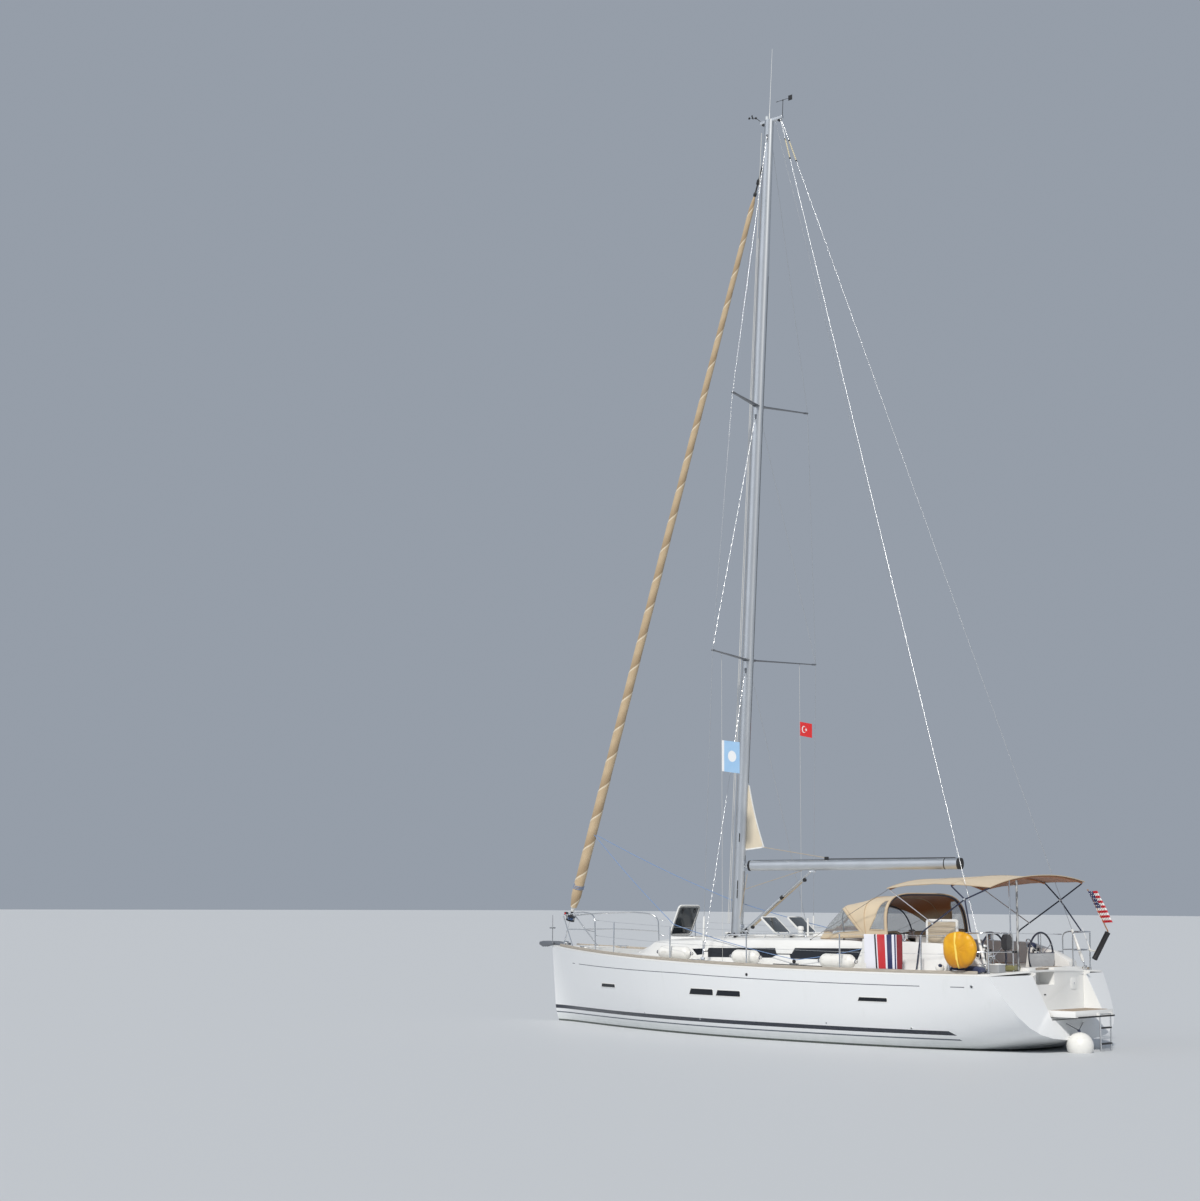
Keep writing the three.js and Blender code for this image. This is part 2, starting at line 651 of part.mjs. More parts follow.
function pulpit() {
  const sides = SIDES.map(({ y: s }) => {
    const yAft = railY(PULPIT_FOOT);
    const loop = pipe([
      V(PULPIT_FOOT, s * yAft, deckZ(PULPIT_FOOT, yAft) + 8), V(PULPIT_FOOT + 20, s * yAft, 1990),
      V(4020, s * (yAft - 25), 2090), V(4150, s * (yAft - 80), 2140), V(4480, s * (yAft - 190), 2165),
      V(5050, s * 400, 2140), V(5560, s * 170, 2095),
    ], TUBE);
    const leg = pipe([V(5560, s * 170, 2090), V(5090, s * 372, deckZ(5090, 372) + 13)], TUBE);
    const middle = pipe([V(PULPIT_FOOT + 12, s * yAft, 1790), V(4600, s * 610, 1830), V(5330, s * 268, 1820)], TUBE * 0.8);
    return fuse(loop, leg, middle, railFoot(PULPIT_FOOT, s * yAft), railFoot(5090, s * 372, seatZ(5090, s * 372, 34)));
  });
  const front = pipe([V(5550, 174, 2092), V(5620, 60, 2096), V(5620, -60, 2096), V(5550, -174, 2092)], TUBE);
  return fuse(sides, front, ball(V(5645, 0, 2125), 42, 10));
}

function pushpit(side) {
  const y0 = railY(PUSHPIT_FOOT);
  const y1 = railY(-5100);
  const innerFoot = side > 0 ? seatZ(-5385, 950, 28) : HELM.top + 0.5;
  const rail = pipe([
    V(PUSHPIT_FOOT, side * y0, deckZ(PUSHPIT_FOOT, y0) + 8), V(PUSHPIT_FOOT, side * y0, 1800),
    V(PUSHPIT_FOOT - 30, side * y0, 1870), V(PUSHPIT_FOOT - 110, side * (y0 - 4), 1900),
    V(-5100, side * y1, 1902), V(-5270, side * 1690, 1902), V(-5355, side * 1600, 1902),
    V(-5385, side * 1480, 1900), V(-5385, side * 1060, 1895), V(-5385, side * 975, 1870),
    V(-5385, side * 950, 1800), V(-5385, side * 950, innerFoot + 7),
  ], TUBE);
  const post = pipe([V(-5330, side * 1626, 1900), V(-5330, side * 1600, deckZ(-5330, 1600) + 8)], TUBE);
  const middle = pipe([
    V(PUSHPIT_FOOT, side * y0, 1590), V(-5100, side * y1, 1600), V(-5333, side * 1614, 1600),
    V(-5385, side * 1420, 1598), V(-5385, side * 951, 1595),
  ], TUBE * 0.8);
  const feet = [
    railFoot(PUSHPIT_FOOT, side * y0), railFoot(-5330, side * 1600), railFoot(-5385, side * 950, innerFoot),
  ];
  return fuse(rail, post, middle, feet);
}

// The grey pole clamped to the port rail
function portPushpit() {
  const foot = V(-5408, 830, seatZ(-5408, 830, 20));
  const clamp = box(-5400, -5380, 820, 960, 1585, 1605);
  return fuse(pushpit(1), rod(foot, V(-5408, 830, 2760), 18, 10), clamp);
}

const STOW_TUBE = { start: V(-5440, -1560, 1440), end: V(-5690, -1600, 1900) };
// The dark stowage tube and the white whip aerial lashed to the starboard rail
function starboardPushpit() {
  const tube = rod(STOW_TUBE.start, STOW_TUBE.end, 48, 10);
  const aerial = rod(V(-5400, -1516, 1570), V(-5225, -1560, 1960), 9, 6);
  const clamp = pipe([V(-5364, -1500, 1600), V(-5500, -1572, 1560)], 14, 6);
  return fuse(pushpit(-1), tube, aerial, clamp);
}

function bowRoller() {
  const z = deckZ(5700, 0);
  const cheek = (y, from) => sidePlate([
    [from, deckZ(from, 0) + 3], [5985, deckZ(5985, 0) + 3], [6230, z - 38], [6335, z + 14], [6325, z + 62],
    [6210, z + 84], [5900, z + 80], [from, z + 50],
  ], y - 5, y + 5);
  const base = loft([5540, 5770, 5975].map((x) => {
    const low = deckZ(x, 0) + 0.6;
    return [V(x, -72, low), V(x, 72, low), V(x, 72, low + 14), V(x, -72, low + 14)];
  }));
  const rollers = [6255, 6040].map((x) => rod(V(x, -62, z + 30), V(x, 62, z + 30), 24, 12));
  const staff = rod(V(5930, 92, z + 30), V(5930, 92, 2100), 7, 6);
  const arm = box(5905, 5960, 60, 100, z + 22, z + 40);
  const disc = rod(V(5930, 92, 1830), V(5930, 92, 1850), 62, 12);
  return fuse(cheek(-60, 5560), cheek(0, 5770), cheek(60, 5560), base, rollers, arm, staff, disc);
}

function anchorLockerLid() {
  const a = ANCHOR_LOCKER;
  const station = hullStations(HALF_LENGTH, -6200, 26)[2];
  return loft([a.front + 8, station, a.aft - 8].map((x) => {
    const half = THREE.MathUtils.mapLinear(x, a.front, a.aft, a.fore, a.rear) + 4;
    const fold = 0.4 * beamAt(x);
    const lines = [-half, -fold, 0, fold, half];
    const low = lines.map((y) => V(x, y, deckZ(x, y) + 0.7));
    const high = lines.map((y) => V(x, y, deckZ(x, y) + 22)).reverse();
    return [...low, ...high];
  }));
}

// Mast and standing rigging
function ovalRing(centre, fore, side, n = 14) {
  const ring = [];
  for (let i = 0; i < n; i++) {
    const a = (2 * Math.PI * i) / n;
    ring.push(V(centre.x + fore * Math.cos(a), centre.y + side * Math.sin(a), centre.z));
  }
  return ring;
}

const GOOSENECK = { back: 41, z: BOOM.z };
const VANG_FOOT = { z: 1862 };
const PIN = 8; // radius of the boom's and the vang's pins
const pivotX = (z) => mastX(z) - MAST.fore - GOOSENECK.back;
const ALONG = V(-MAST.rake, 0, 1).normalize();

function spreader(level, side) {
  const z = level.z;
  const rootX = mastX(z);
  const tip = V(rootX - level.reach * Math.sin(level.sweep), side * level.reach * Math.cos(level.sweep), z + 18);
  const start = V(rootX - 20, side * 30, z);
  const ring = (p, wide, thick) => [V(p.x + wide, p.y, p.z), V(p.x, p.y, p.z + thick), V(p.x - wide, p.y, p.z), V(p.x, p.y, p.z - thick)];
  return loft([ring(start, 62, 17), ring(tip, 34, 11)]);
}

const spreaderTip = (level, side) => V(
  mastX(level.z) - level.reach * Math.sin(level.sweep),
  side * (level.reach * Math.cos(level.sweep) + WIRE + level.clear),
  level.z + 18,
);

function mast() {
  const m = MAST;
  const rows = [
    { z: 1680, k: 1 }, { z: 14500, k: 1 }, { z: 16900, k: 0.86 }, { z: m.top, k: 0.8 },
  ];
  const tube = loft(rows.map((r) => ovalRing(V(mastX(r.z), 0, r.z), m.fore * r.k, m.side * r.k)));
  const step = box(mastX(1700) - 190, mastX(1700) + 190, -120, 120, 1680, 1790);
  const spreaders = [LOWER, UPPER].flatMap((level) => [spreader(level, 1), spreader(level, -1)]);
  const lug = (z) => fuse(
    rod(V(pivotX(z - 18), 0, z - 18), V(pivotX(z + 18), 0, z + 18), 18, 12),
    box(pivotX(z), mastX(z), -14, 14, z - 18, z + 18),
  );
  const pinHole = (z) => rod(V(pivotX(z - 60), 0, z - 60), V(pivotX(z + 60), 0, z + 60), PIN + 0.5, 12);
  const top = mastX(m.top);
  const crane = box(top - 330, top + 215, -38, 38, m.top - 60, m.top + 14);
  const aerial = rod(V(top, 0, m.top), V(top - 85, 0, 19000), 9, 8, 4);
  const frontArm = pipe([V(top + 200, 0, m.top), V(top + 330, 0, m.top + 120), V(top + 420, 0, m.top + 128)], 7, 6);
  const backArm = pipe([V(top - 325, 0, m.top), V(top - 340, 0, m.top + 300)], 7, 6);
  const body = fuse(tube, step, spreaders, lug(GOOSENECK.z), lug(VANG_FOOT.z), crane, aerial, frontArm, backArm);
  return cut(body, roofBody(-FIT - 0.3, 1150, 3150, ROOF_AFT, 11), pinHole(GOOSENECK.z), pinHole(VANG_FOOT.z));
}

function anemometer() {
  const top = mastX(MAST.top);
  const centre = V(top + 420, 0, MAST.top + 145.5);
  const cups = [0, 1, 2].map((i) => {
    const a = (i * 2 * Math.PI) / 3;
    const at = centre.clone().add(V(75 * Math.cos(a), 75 * Math.sin(a), 12));
    return fuse(rod(centre.clone().add(V(0, 0, 12)), at, 4, 6), ball(at, 24, 6));
  });
  return fuse(rod(centre.clone().add(V(0, 0, -10)), centre.clone().add(V(0, 0, 30)), 16, 10), cups);
}

function windVane() {
  const top = mastX(MAST.top);
  const centre = V(top - 340, 0, MAST.top + 310.6);
  const shaft = rod(centre.clone().add(V(170, 0, 8)), centre.clone().add(V(-150, 0, 8)), 5, 6);
  const tail = box(centre.x - 230, centre.x - 130, -3, 3, centre.z - 45, centre.z + 62);
  return fuse(rod(centre.clone().add(V(0, 0, -10)), centre.clone().add(V(0, 0, 22)), 12, 8), shaft, tail);
}

const STAY = { foot: V(5683, 0, 1552), head: V(424, 0, 16768) };
const onStay = (z) => {
  const t = (z - STAY.foot.z) / (STAY.head.z - STAY.foot.z);
  return STAY.foot.clone().lerp(STAY.head, t);
};
const GENOA = { low: 2260, high: 16080, thick: 112, thin: 52 };

const alongStay = STAY.head.clone().sub(STAY.foot).normalize();
const STAY_RADIUS = 12;

function furledGenoa() {
  const length = onStay(GENOA.high).distanceTo(onStay(GENOA.low));
  const shares = [0, 0.012, 0.05, 0.15, 0.3, 0.5, 0.7, 0.88, 0.98, 1];
  const profile = shares.map((t) => {
    const body = GENOA.thick + (GENOA.thin - GENOA.thick) * t;
    const r = t === 0 ? 52 : t < 0.02 ? 72 : t === 1 ? 22 : t > 0.95 ? 38 : t < 0.1 ? body * 0.92 : body;
    return [r, t * length];
  });
  const bore = STAY_RADIUS + 0.6;
  const sleeve = [[bore, 0], ...profile, [bore, length], [bore, 0]];
  return turned(sleeve, onStay(GENOA.low), alongStay, 14);
}

// Stem fitting, drum, foil and swivel on the forestay
function forestay() {
  const foot = onStay(1990);
  const at = (rows, base, sides) => turned(rows, base, alongStay, sides);
  const drum = at(
    [[0, 0], [92, 0], [92, 10], [48, 18], [48, 78], [92, 86], [92, 98], [26, 110], [26, 240], [0, 240]], foot, 14,
  );
  const top = onStay(GENOA.high + 2);
  const length = STAY.head.distanceTo(top);
  const swivel = at(
    [[0, 0], [30, 0], [34, 60], [16, 110], [16, 230], [34, 250], [34, 330], [12, 360], [12, length], [0, length]], top, 10,
  );
  const start = V(5683, 0, deckZ(5683, 0) + 60);
  const foil = turned(
    [[0, 0], [STAY_RADIUS, 0], [STAY_RADIUS, top.distanceTo(foot) + 20], [0, top.distanceTo(foot) + 20]], foot, alongStay, 14,
  );
  const fitting = box(5640, 5726, -10, 10, deckZ(5640, 0) + 17.5, deckZ(5683, 0) + 72);
  const rod0 = rod(start, foot.clone().addScaledVector(alongStay, 20), 9, 8);
  const grown = loft([15000, 17400].map((z) => ovalRing(V(mastX(z), 0, z), MAST.fore + 0.4, MAST.side + 0.4)));
  return cut(fuse(drum, foil, rod0, fitting, swivel), grown);
}

const CHAIN_TOP = 95;
function shrouds(side) {
  const { x, y } = CHAINPLATE;
  const foot = V(x, side * y, deckZ(x, y) + CHAIN_TOP - 20);
  const plate = box(x - 45, x + 45, side * y - 14, side * y + 14, seatZ(x, y, 45), deckZ(x, y) + CHAIN_TOP);
  const low = spreaderTip(LOWER, side);
  const high = spreaderTip(UPPER, side);
  const tang = (z, k = 1) => V(mastX(z) - 12, side * (MAST.side * k + WIRE + 0.8), z);
  const cap = pipe([foot, low, high, tang(17200, 0.84)], WIRE, 6);
  const lower = rod(foot, tang(6740), WIRE, 6);
  const above = low.clone().lerp(high, 0.004);
  const diagonal = rod(above, tang(11640), WIRE, 6);
  const screws = [low, tang(6740)].map((to) => {
    const along = to.clone().sub(foot).normalize();
    return rod(foot.clone(), foot.clone().addScaledVector(along, 330), 13, 8);
  });
  return fuse(plate, cap, lower, diagonal, screws);
}

const BACKSTAY = { x: -5255, y: 1560, top: V(mastX(MAST.top) - 292, 0, MAST.top - 60.6) };
function stayFoot(side) {
  const b = BACKSTAY;
  return V(b.x, side * b.y, deckZ(b.x, b.y) + 62);
}

// Both legs of the backstay, from one toggle under the masthead
function backstays() {
  const b = BACKSTAY;
  const legs = SIDES.map(({ y: side }) => {
    const foot = stayFoot(side);
    const top = b.top.clone().add(V(0, side * 16, -10));
    const along = top.clone().sub(foot).normalize();
    const at = (d) => foot.clone().addScaledVector(along, d);
    const length = top.distanceTo(foot);
    const y = side * b.y;
    const plate = box(b.x - 40, b.x + 40, y - 8, y + 8, seatZ(b.x, b.y, 40), deckZ(b.x, b.y) + 80);
    const fittings = [rod(at(90), at(660), 27, 10), rod(at(length - 950), at(length - 450), 14, 8)];
    return fuse(plate, rod(foot, top, WIRE, 6), fittings);
  });
  return fuse(legs, box(b.top.x - 14, b.top.x + 14, -24, 24, b.top.z - 22, b.top.z));
}

// Boom, rigid vang and the corner of the furled mainsail
const boomFront = pivotX(BOOM.z) - 60;

function boom() {
  const ring = (x, k = 1) => {
    const [h, w] = [BOOM.half * 0.82 * k, BOOM.width * 0.86 * k];
    const outline = [[0, 1], [0.62, 0.94], [0.96, 0.62], [1, -0.2], [0.9, -0.72], [0.5, -0.98]];
    const port = outline.map(([y, z]) => V(x, y * w, BOOM.z + z * h));
    const starboard = outline.slice(1).map(([y, z]) => V(x, -y * w, BOOM.z + z * h)).reverse();
    return [...port, ...starboard];
  };
  const tube = loft([boomFront, boomFront - 20, BOOM.end + 60, BOOM.end].map((x, i) => ring(x, [0.9, 1, 1, 0.86][i])));
  const jaw = (z) => box(boomFront - 60, pivotX(BOOM.z) + 20, -30, 30, z - 7, z + 7);
  const pin = rod(V(pivotX(BOOM.z - 34), 0, BOOM.z - 34), V(pivotX(BOOM.z + 34), 0, BOOM.z + 34), PIN, 12);
  return fuse(tube, jaw(BOOM.z + 28), jaw(BOOM.z - 28), pin);
}

function vang() {
  const top = V(-590, 0, BOOM.z - BOOM.half * 0.8 - 1);
  const foot = V(pivotX(VANG_FOOT.z) - 44, 0, VANG_FOOT.z);
  const along = top.clone().sub(foot).normalize();
  const at = (d) => foot.clone().addScaledVector(along, d);
  const length = top.distanceTo(foot);
  const jaw = (z) => box(foot.x - 60, pivotX(VANG_FOOT.z) + 18, -26, 26, z - 6, z + 6);
  const bracket = box(top.x - 90, top.x + 90, -16, 16, top.z - 42, top.z);
  const z = VANG_FOOT.z;
  const pin = rod(V(pivotX(z - 33), 0, z - 33), V(pivotX(z + 33), 0, z + 33), PIN, 12);
  return fuse(
    rod(foot, at(length * 0.55), 32, 12),
    rod(at(length * 0.5), at(length - 36), 22, 12),
    box(foot.x - 62, foot.x - 20, -24, 24, VANG_FOOT.z - 34, VANG_FOOT.z + 34),
    jaw(VANG_FOOT.z + 27),
    jaw(VANG_FOOT.z - 27),
    bracket,
    pin,
  );
}

const CLEW = { head: 4560, tack: 3345, point: V(525, 0, 3392), block: -920 };
function mainsailClew() {
  const luff = (z) => mastX(z) - MAST.fore - 1.5;
  const sail = loft([-4, 4].map((y) => [
    V(luff(CLEW.head), y, CLEW.head), V(luff(CLEW.tack), y, CLEW.tack), V(CLEW.point.x, y, CLEW.point.z - 12),
    V(CLEW.point.x, y, CLEW.point.z + 12), V(luff(CLEW.head) - 20, y, CLEW.head),
  ]));
  const end = V(CLEW.block, 0, BOOM.z + BOOM.half * 0.82 + 30);
  const outhaul = rod(CLEW.point.clone().add(V(4, 0, 0)), end, 6, 6);
  const block = box(CLEW.block - 50, CLEW.block + 40, -16, 16, BOOM.z + BOOM.half * 0.82 + 0.8, end.z + 24);
  return fuse(sail, outhaul, block);
}

// Hatches
function hatchLid(h) {
  const z = roofAt(h.x, h.y) + RIM + 0.6;
  const hingeX = h.x + h.hinge * (h.half + 12.3);
  const size = 2 * h.half + 24.6;
  const width = h.half + 10;
  const across = [0, -h.hinge * size];
  const lid = box(Math.min(...across), Math.max(...across), -width, width, 0, LID_THICK);
  const grip = box(-h.hinge * (size - 110), -h.hinge * (size - 80), -20, 20, -26, 4);
  const turn = new THREE.Matrix4().makeRotationY(THREE.MathUtils.degToRad(h.hinge * h.open));
  turn.setPosition(hingeX, h.y, z);
  const geometry = geometryOf(fuse(lid, grip));
  geometry.applyMatrix4(turn);
  return solid(geometry);
}

const SLIDE = { front: -900, aft: -1900, half: 352, low: 1822 };
function slideRails() {
  return SIDES.map((s) => cut(
    box(SLIDE.front + 20, ROOF_AFT + 20, s.y * 326, s.y * 356, 1700, SLIDE.low),
    roofBody(SKIN - 4, 1100, 3040, ROOF_AFT + 4, 10),
  ));
}
const slidingHatch = () => fuse(
  box(SLIDE.front, SLIDE.aft, -SLIDE.half, SLIDE.half, SLIDE.low + 0.6, SLIDE.low + 26),
  box(SLIDE.aft, SLIDE.aft + 40, -140, 140, SLIDE.low + 20, SLIDE.low + 60),
);

// Cockpit
function lockerLid(side, open) {
  const l = LOCKER_LID;
  const width = l.hinge - l.inner;
  const lid = box(l.aft, l.front, 0, -side * width, 0, l.thick);
  const turn = new THREE.Matrix4().makeRotationX(THREE.MathUtils.degToRad(-side * open));
  turn.setPosition(0, side * l.hinge, COCKPIT.seat + 0.8);
  const geometry = geometryOf(lid);
  geometry.applyMatrix4(turn);
  return solid(geometry);
}

const TABLE = { front: -3120, aft: -3980, half: 70, top: 1560, leaf: 300 };
function cockpitTable() {
  const t = TABLE;
  return fuse(
    box(t.front, t.aft, -t.half, t.half, t.top - 60, t.top),
    [t.front - 120, t.aft + 120].map((x) => box(x - 45, x + 45, -42, 42, COCKPIT.sole + 0.5, t.top - 30)),
  );
}
const tableLeaf = (side) => box(
  TABLE.front - 4, TABLE.aft + 4, side * (TABLE.half + 0.8), side * (TABLE.half + 18.8), TABLE.top - TABLE.leaf, TABLE.top,
);

function pedestal(side) {
  const y = side * WHEEL.y;
  const rows = [
    { z: COCKPIT.sole + 0.5, x: -4660, long: 120, wide: 135 },
    { z: 1250, x: -4700, long: 92, wide: 105 },
    { z: 1560, x: -4730, long: 72, wide: 95 },
    { z: 1640, x: -4715, long: 52, wide: 80 },
  ];
  const column = loft(rows.map((r) => [
    V(r.x + r.long, y + r.wide, r.z), V(r.x + r.long, y - r.wide, r.z),
    V(r.x - r.long, y - r.wide, r.z), V(r.x - r.long, y + r.wide, r.z),
  ]));
  const compass = ball(V(-4715, y, 1650), 62, 10);
  const guard = pipe([V(-4668, y - 66, 1590), V(-4640, y - 70, 1770), V(-4640, y + 70, 1770), V(-4668, y + 66, 1590)], TUBE, 6);
  const boss = rod(V(-4760, y, WHEEL.z), V(WHEEL.x + 46, y, WHEEL.z), 38, 14);
  return fuse(column, compass, guard, boss);
}

function steeringWheel(side) {
  const y = side * WHEEL.y;
  const centre = V(WHEEL.x, y, WHEEL.z);
  const tube = 16;
  const section = [];
  for (let i = 0; i <= 5; i++) {
    const a = (2 * Math.PI * i) / 5;
    section.push([WHEEL.radius - tube + tube * Math.cos(a), tube * Math.sin(a)]);
  }
  const rim = turned(section, centre, V(1, 0, 0), 22);
  const hub = rod(centre.clone().add(V(-16, 0, 0)), centre.clone().add(V(45.5, 0, 0)), 42, 14);
  const spokes = [0, 1, 2, 3, 4, 5].map((i) => {
    const a = (i * Math.PI) / 3;
    return rod(centre, centre.clone().add(V(0, (WHEEL.radius - tube) * Math.sin(a), (WHEEL.radius - tube) * Math.cos(a))), 8, 5);
  });
  return fuse(rim, hub, spokes);
}

function winch(x, y, z, size) {
  const rows = [[0, 0], [78, 0], [78, 22], [46, 50], [56, 118], [66, 136], [24, 152], [0, 152]];
  return turned(rows.map(([r, h]) => [r * size, h * size]), V(x, y, z), V(0, 0, 1), 12);
}

// Canopies
const BIMINI = [
  { x: -3300, crown: 2800, drop: 175 },
  { x: -3700, crown: 2832, drop: 140 },
  { x: -4250, crown: 2838, drop: 120 },
  { x: -4800, crown: 2822, drop: 120 },
  { x: -5330, crown: 2775, drop: 110 },
];
const BIMINI_HALF = 1500;
const BIMINI_LINES = [-1, -0.8, -0.55, -0.28, 0, 0.28, 0.55, 0.8, 1];

// Height of the canopy's top at x, on one of its lines
function archZ(x, line) {
  let i = 0;
  while (i < BIMINI.length - 2 && x < BIMINI[i + 1].x) i++;
  const [a, b] = [BIMINI[i], BIMINI[i + 1]];
  const t = (x - a.x) / (b.x - a.x);
  const level = (row) => row.crown - row.drop * Math.abs(line) ** 2.2;
  return level(a) * (1 - t) + level(b) * t;
}

function biminiCanopy() {
  const cloth = loft(BIMINI.map((row) => [
    ...BIMINI_LINES.map((k) => V(row.x, k * BIMINI_HALF, archZ(row.x, k))),
    ...[...BIMINI_LINES].reverse().map((k) => V(row.x, k * BIMINI_HALF, archZ(row.x, k) - 10)),
  ]));
  const slots = SIDES.map(({ y: side }) => {
    const foot = stayFoot(side);
    return rod(foot, BACKSTAY.top.clone().add(V(0, side * 16, -10)), 22, 8);
  });
  return cut(cloth, slots);
}

function biminiFrame() {
  const under = 10 + TUBE + 0.25;
  const hoop = (x, from) => {
    const across = BIMINI_LINES.map((k) => V(x, k * (BIMINI_HALF - 16), archZ(x, k) - under));
    return pipe([from(-1), ...across, from(1)], TUBE);
  };
  const pivot = (s) => V(-4340, s * 1500, 2070);
  const knee = (s) => V(-4950, s * 1500, 2440);
  const foot = (s) => V(-4150, s * 1396, coamingZ(-4120) + 0.5);
  const hoops = [hoop(-3330, pivot), hoop(-4560, pivot), hoop(-5300, knee)];
  const sides = SIDES.map(({ y: s }) => fuse(
    pipe([foot(s).add(V(0, 0, 8)), pivot(s), knee(s).add(V(-14, 0, 9))], TUBE),
    rod(foot(s), foot(s).add(V(0, 0, 26)), 26, 10),
  ));
  const pole = pipe([
    V(-5447, 1150, seatZ(-5447, 1150, 14)), V(-5430, 1150, 2000), V(-5300, 1150, archZ(-5300, 0.78) - under - 4),
  ], TUBE);
  return fuse(hoops, sides, pole);
}

const HOOD_LINES = [1, 0.985, 0.94, 0.86, 0.74, 0.6, 0.47, 0.38, 0];
// The hood's front edge lies on the roof and rises over the sliding hatch
const hoodBase = (x, y) => (Math.abs(y) < 430 ? 1882 : roofAt(x, y) + 11);
const SPRAYHOOD = [
  { x: -1340, footX: -1700, half: 985, foot: 1762, top: 1818, lies: hoodBase },
  { x: -1560, footX: -1850, half: 1025, foot: 1762, top: 2070 },
  { x: -1880, footX: -2060, half: 1055, foot: 1765, top: 2360 },
  { x: -2500, footX: -2620, half: 1170, foot: 1785, top: 2480 },
  { x: -3060, footX: -3130, half: 1245, foot: 1800, top: 2545 },
];

// One arch of the hood from port to starboard, taken in by grow
function hoodArch(row, grow) {
  const point = (k) => {
    const share = (1 - Math.abs(k) ** 4.44) ** 0.3;
    const x = row.footX + (row.x - row.footX) * share;
    const y = k * (row.half - grow);
    const z = row.foot + (row.top - grow - row.foot) * share;
    return V(x, y, row.lies ? row.lies(x, y) - grow : z);
  };
  return [...HOOD_LINES.map(point), ...HOOD_LINES.slice(0, -1).reverse().map((k) => point(-k))];
}

function sprayhood() {
  return loft(SPRAYHOOD.map((row) => [...hoodArch(row, 0), ...hoodArch(row, 10).reverse()]));
}

function sprayhoodFrame() {
  const hoop = (row, dx, footZ) => {
    const ring = hoodArch(row, 10 + TUBE + 4).map((p) => p.add(V(dx, 0, 0)));
    const ends = [ring[0], ring[ring.length - 1]].map((p) => V(p.x, p.y, footZ));
    const feet = ends.map((p) => rod(p, p.clone().add(V(0, 0, 12)), 24, 8));
    return fuse(pipe([ends[0].clone().add(V(0, 0, 4)), ...ring.slice(1, -1), ends[1].clone().add(V(0, 0, 4))], TUBE), feet);
  };
  const front = SPRAYHOOD[2];
  const rear = SPRAYHOOD[4];
  return [
    hoop(front, -40, roofAt(front.footX - 40, front.half - 26) + 2.1),
    hoop(rear, 20, coamingZ(rear.footX + 50) + 0.5),
  ];
}

// Loose gear that the photograph shows on deck
const FENDERS = [
  { x: 1490, length: 850, y: 1430 },
  { x: -225, length: 700, y: 1480 },
  { x: -2270, length: 820, y: 1520 },
];

function fender(f) {
  const r = 122;
  const h = f.length / 2;
  const rows = [[0, 0], [30, 0], [34, 46], [86, 92], [r, 170]];
  const back = rows.map(([a, b]) => [a, 2 * h - b]).reverse();
  const end = (x) => V(x, f.y, deckZ(x, f.y) + r + 0.3);
  return turned([...rows, ...back], end(f.x - h), end(f.x + h).sub(end(f.x - h)), 14);
}

function ballFender() {
  const centre = V(-6195, 300, 104);
  const eye = V(-6180, 300, 350);
  const lines = [V(-5886, 260, 470), V(-5866, -420, 470)].map((to) => rod(eye, to, 6, 6));
  const grown = cut(hullOutside(0.6), aftOfTransom(-0.6));
  return cut(fuse(ball(centre, 218, 14), rod(V(-6195, 300, 300), eye, 22, 10), lines), grown);
}

const TOWEL = { front: -3090, aft: -3830, thick: 7 };
function towel() {
  const line = (x) => {
    const [a, b] = [STANCHIONS[3], STANCHIONS[4]];
    const t = (x - a) / (b - a);
    return V(x, railY(a) * (1 - t) + railY(b) * t, (deckZ(a, railY(a)) * (1 - t) + deckZ(b, railY(b)) * t) + LINE_HEIGHTS[1]);
  };
  return loft([TOWEL.front, TOWEL.aft].map((x) => {
    const p = line(x);
    const [inner, outer] = [4.2, 4.2 + TOWEL.thick];
    const [low, lowIn] = [p.z - 555, p.z - 470];
    return [
      V(x, p.y + outer, low), V(x, p.y + outer, p.z + outer), V(x, p.y - outer, p.z + outer), V(x, p.y - outer, lowIn),
      V(x, p.y - inner, lowIn), V(x, p.y - inner, p.z + inner), V(x, p.y + inner, p.z + inner), V(x, p.y + inner, low),
    ];
  }));
}

function yellowCover() {
  const rows = [[0, 0], [205, 4], [292, 50], [312, 100], [292, 150], [205, 196], [0, 200]];
  const [a, b] = [V(PUSHPIT_FOOT, railY(PUSHPIT_FOOT), 1590), V(-5100, railY(-5100), 1600)];
  const outward = V(a.y - b.y, b.x - a.x, 0).normalize().negate();
  const base = a.clone().lerp(b, 0.66).addScaledVector(outward, TUBE * 0.8 * 0.866 - 0.1);
  return turned(rows, base.add(V(0, 0, 36)), outward, 18);
}

// A limp flag beside its staff or halyard: a thin upright sheet
function flagSheet(top, along, drop, depth) {
  const side = V(0, 1, 0);
  const corners = [top, top.clone().add(along), top.clone().add(along).add(drop), top.clone().add(drop)];
  return loft([-depth, depth].map((d) => corners.map((c) => c.clone().addScaledVector(side, d))));
}

// The staff leans from the dark tube to the canopy's corner, with the cloth wound down along it
function ensign() {
  const tubeRun = STOW_TUBE.end.clone().sub(STOW_TUBE.start).normalize();
  const foot = STOW_TUBE.end.clone().addScaledVector(tubeRun, 9.6);
  const head = V(-5375, -1512, 2620);
  const along = head.clone().sub(foot).normalize();
  const staff = rod(foot, head, 11, 8, 8);
  const top = head.clone().addScaledVector(along, -30).add(V(6, 0, 0));
  const cloth = flagSheet(top, V(-120, 0, -150), along.clone().multiplyScalar(-590), 20);
  return fuse(staff, cloth);
}

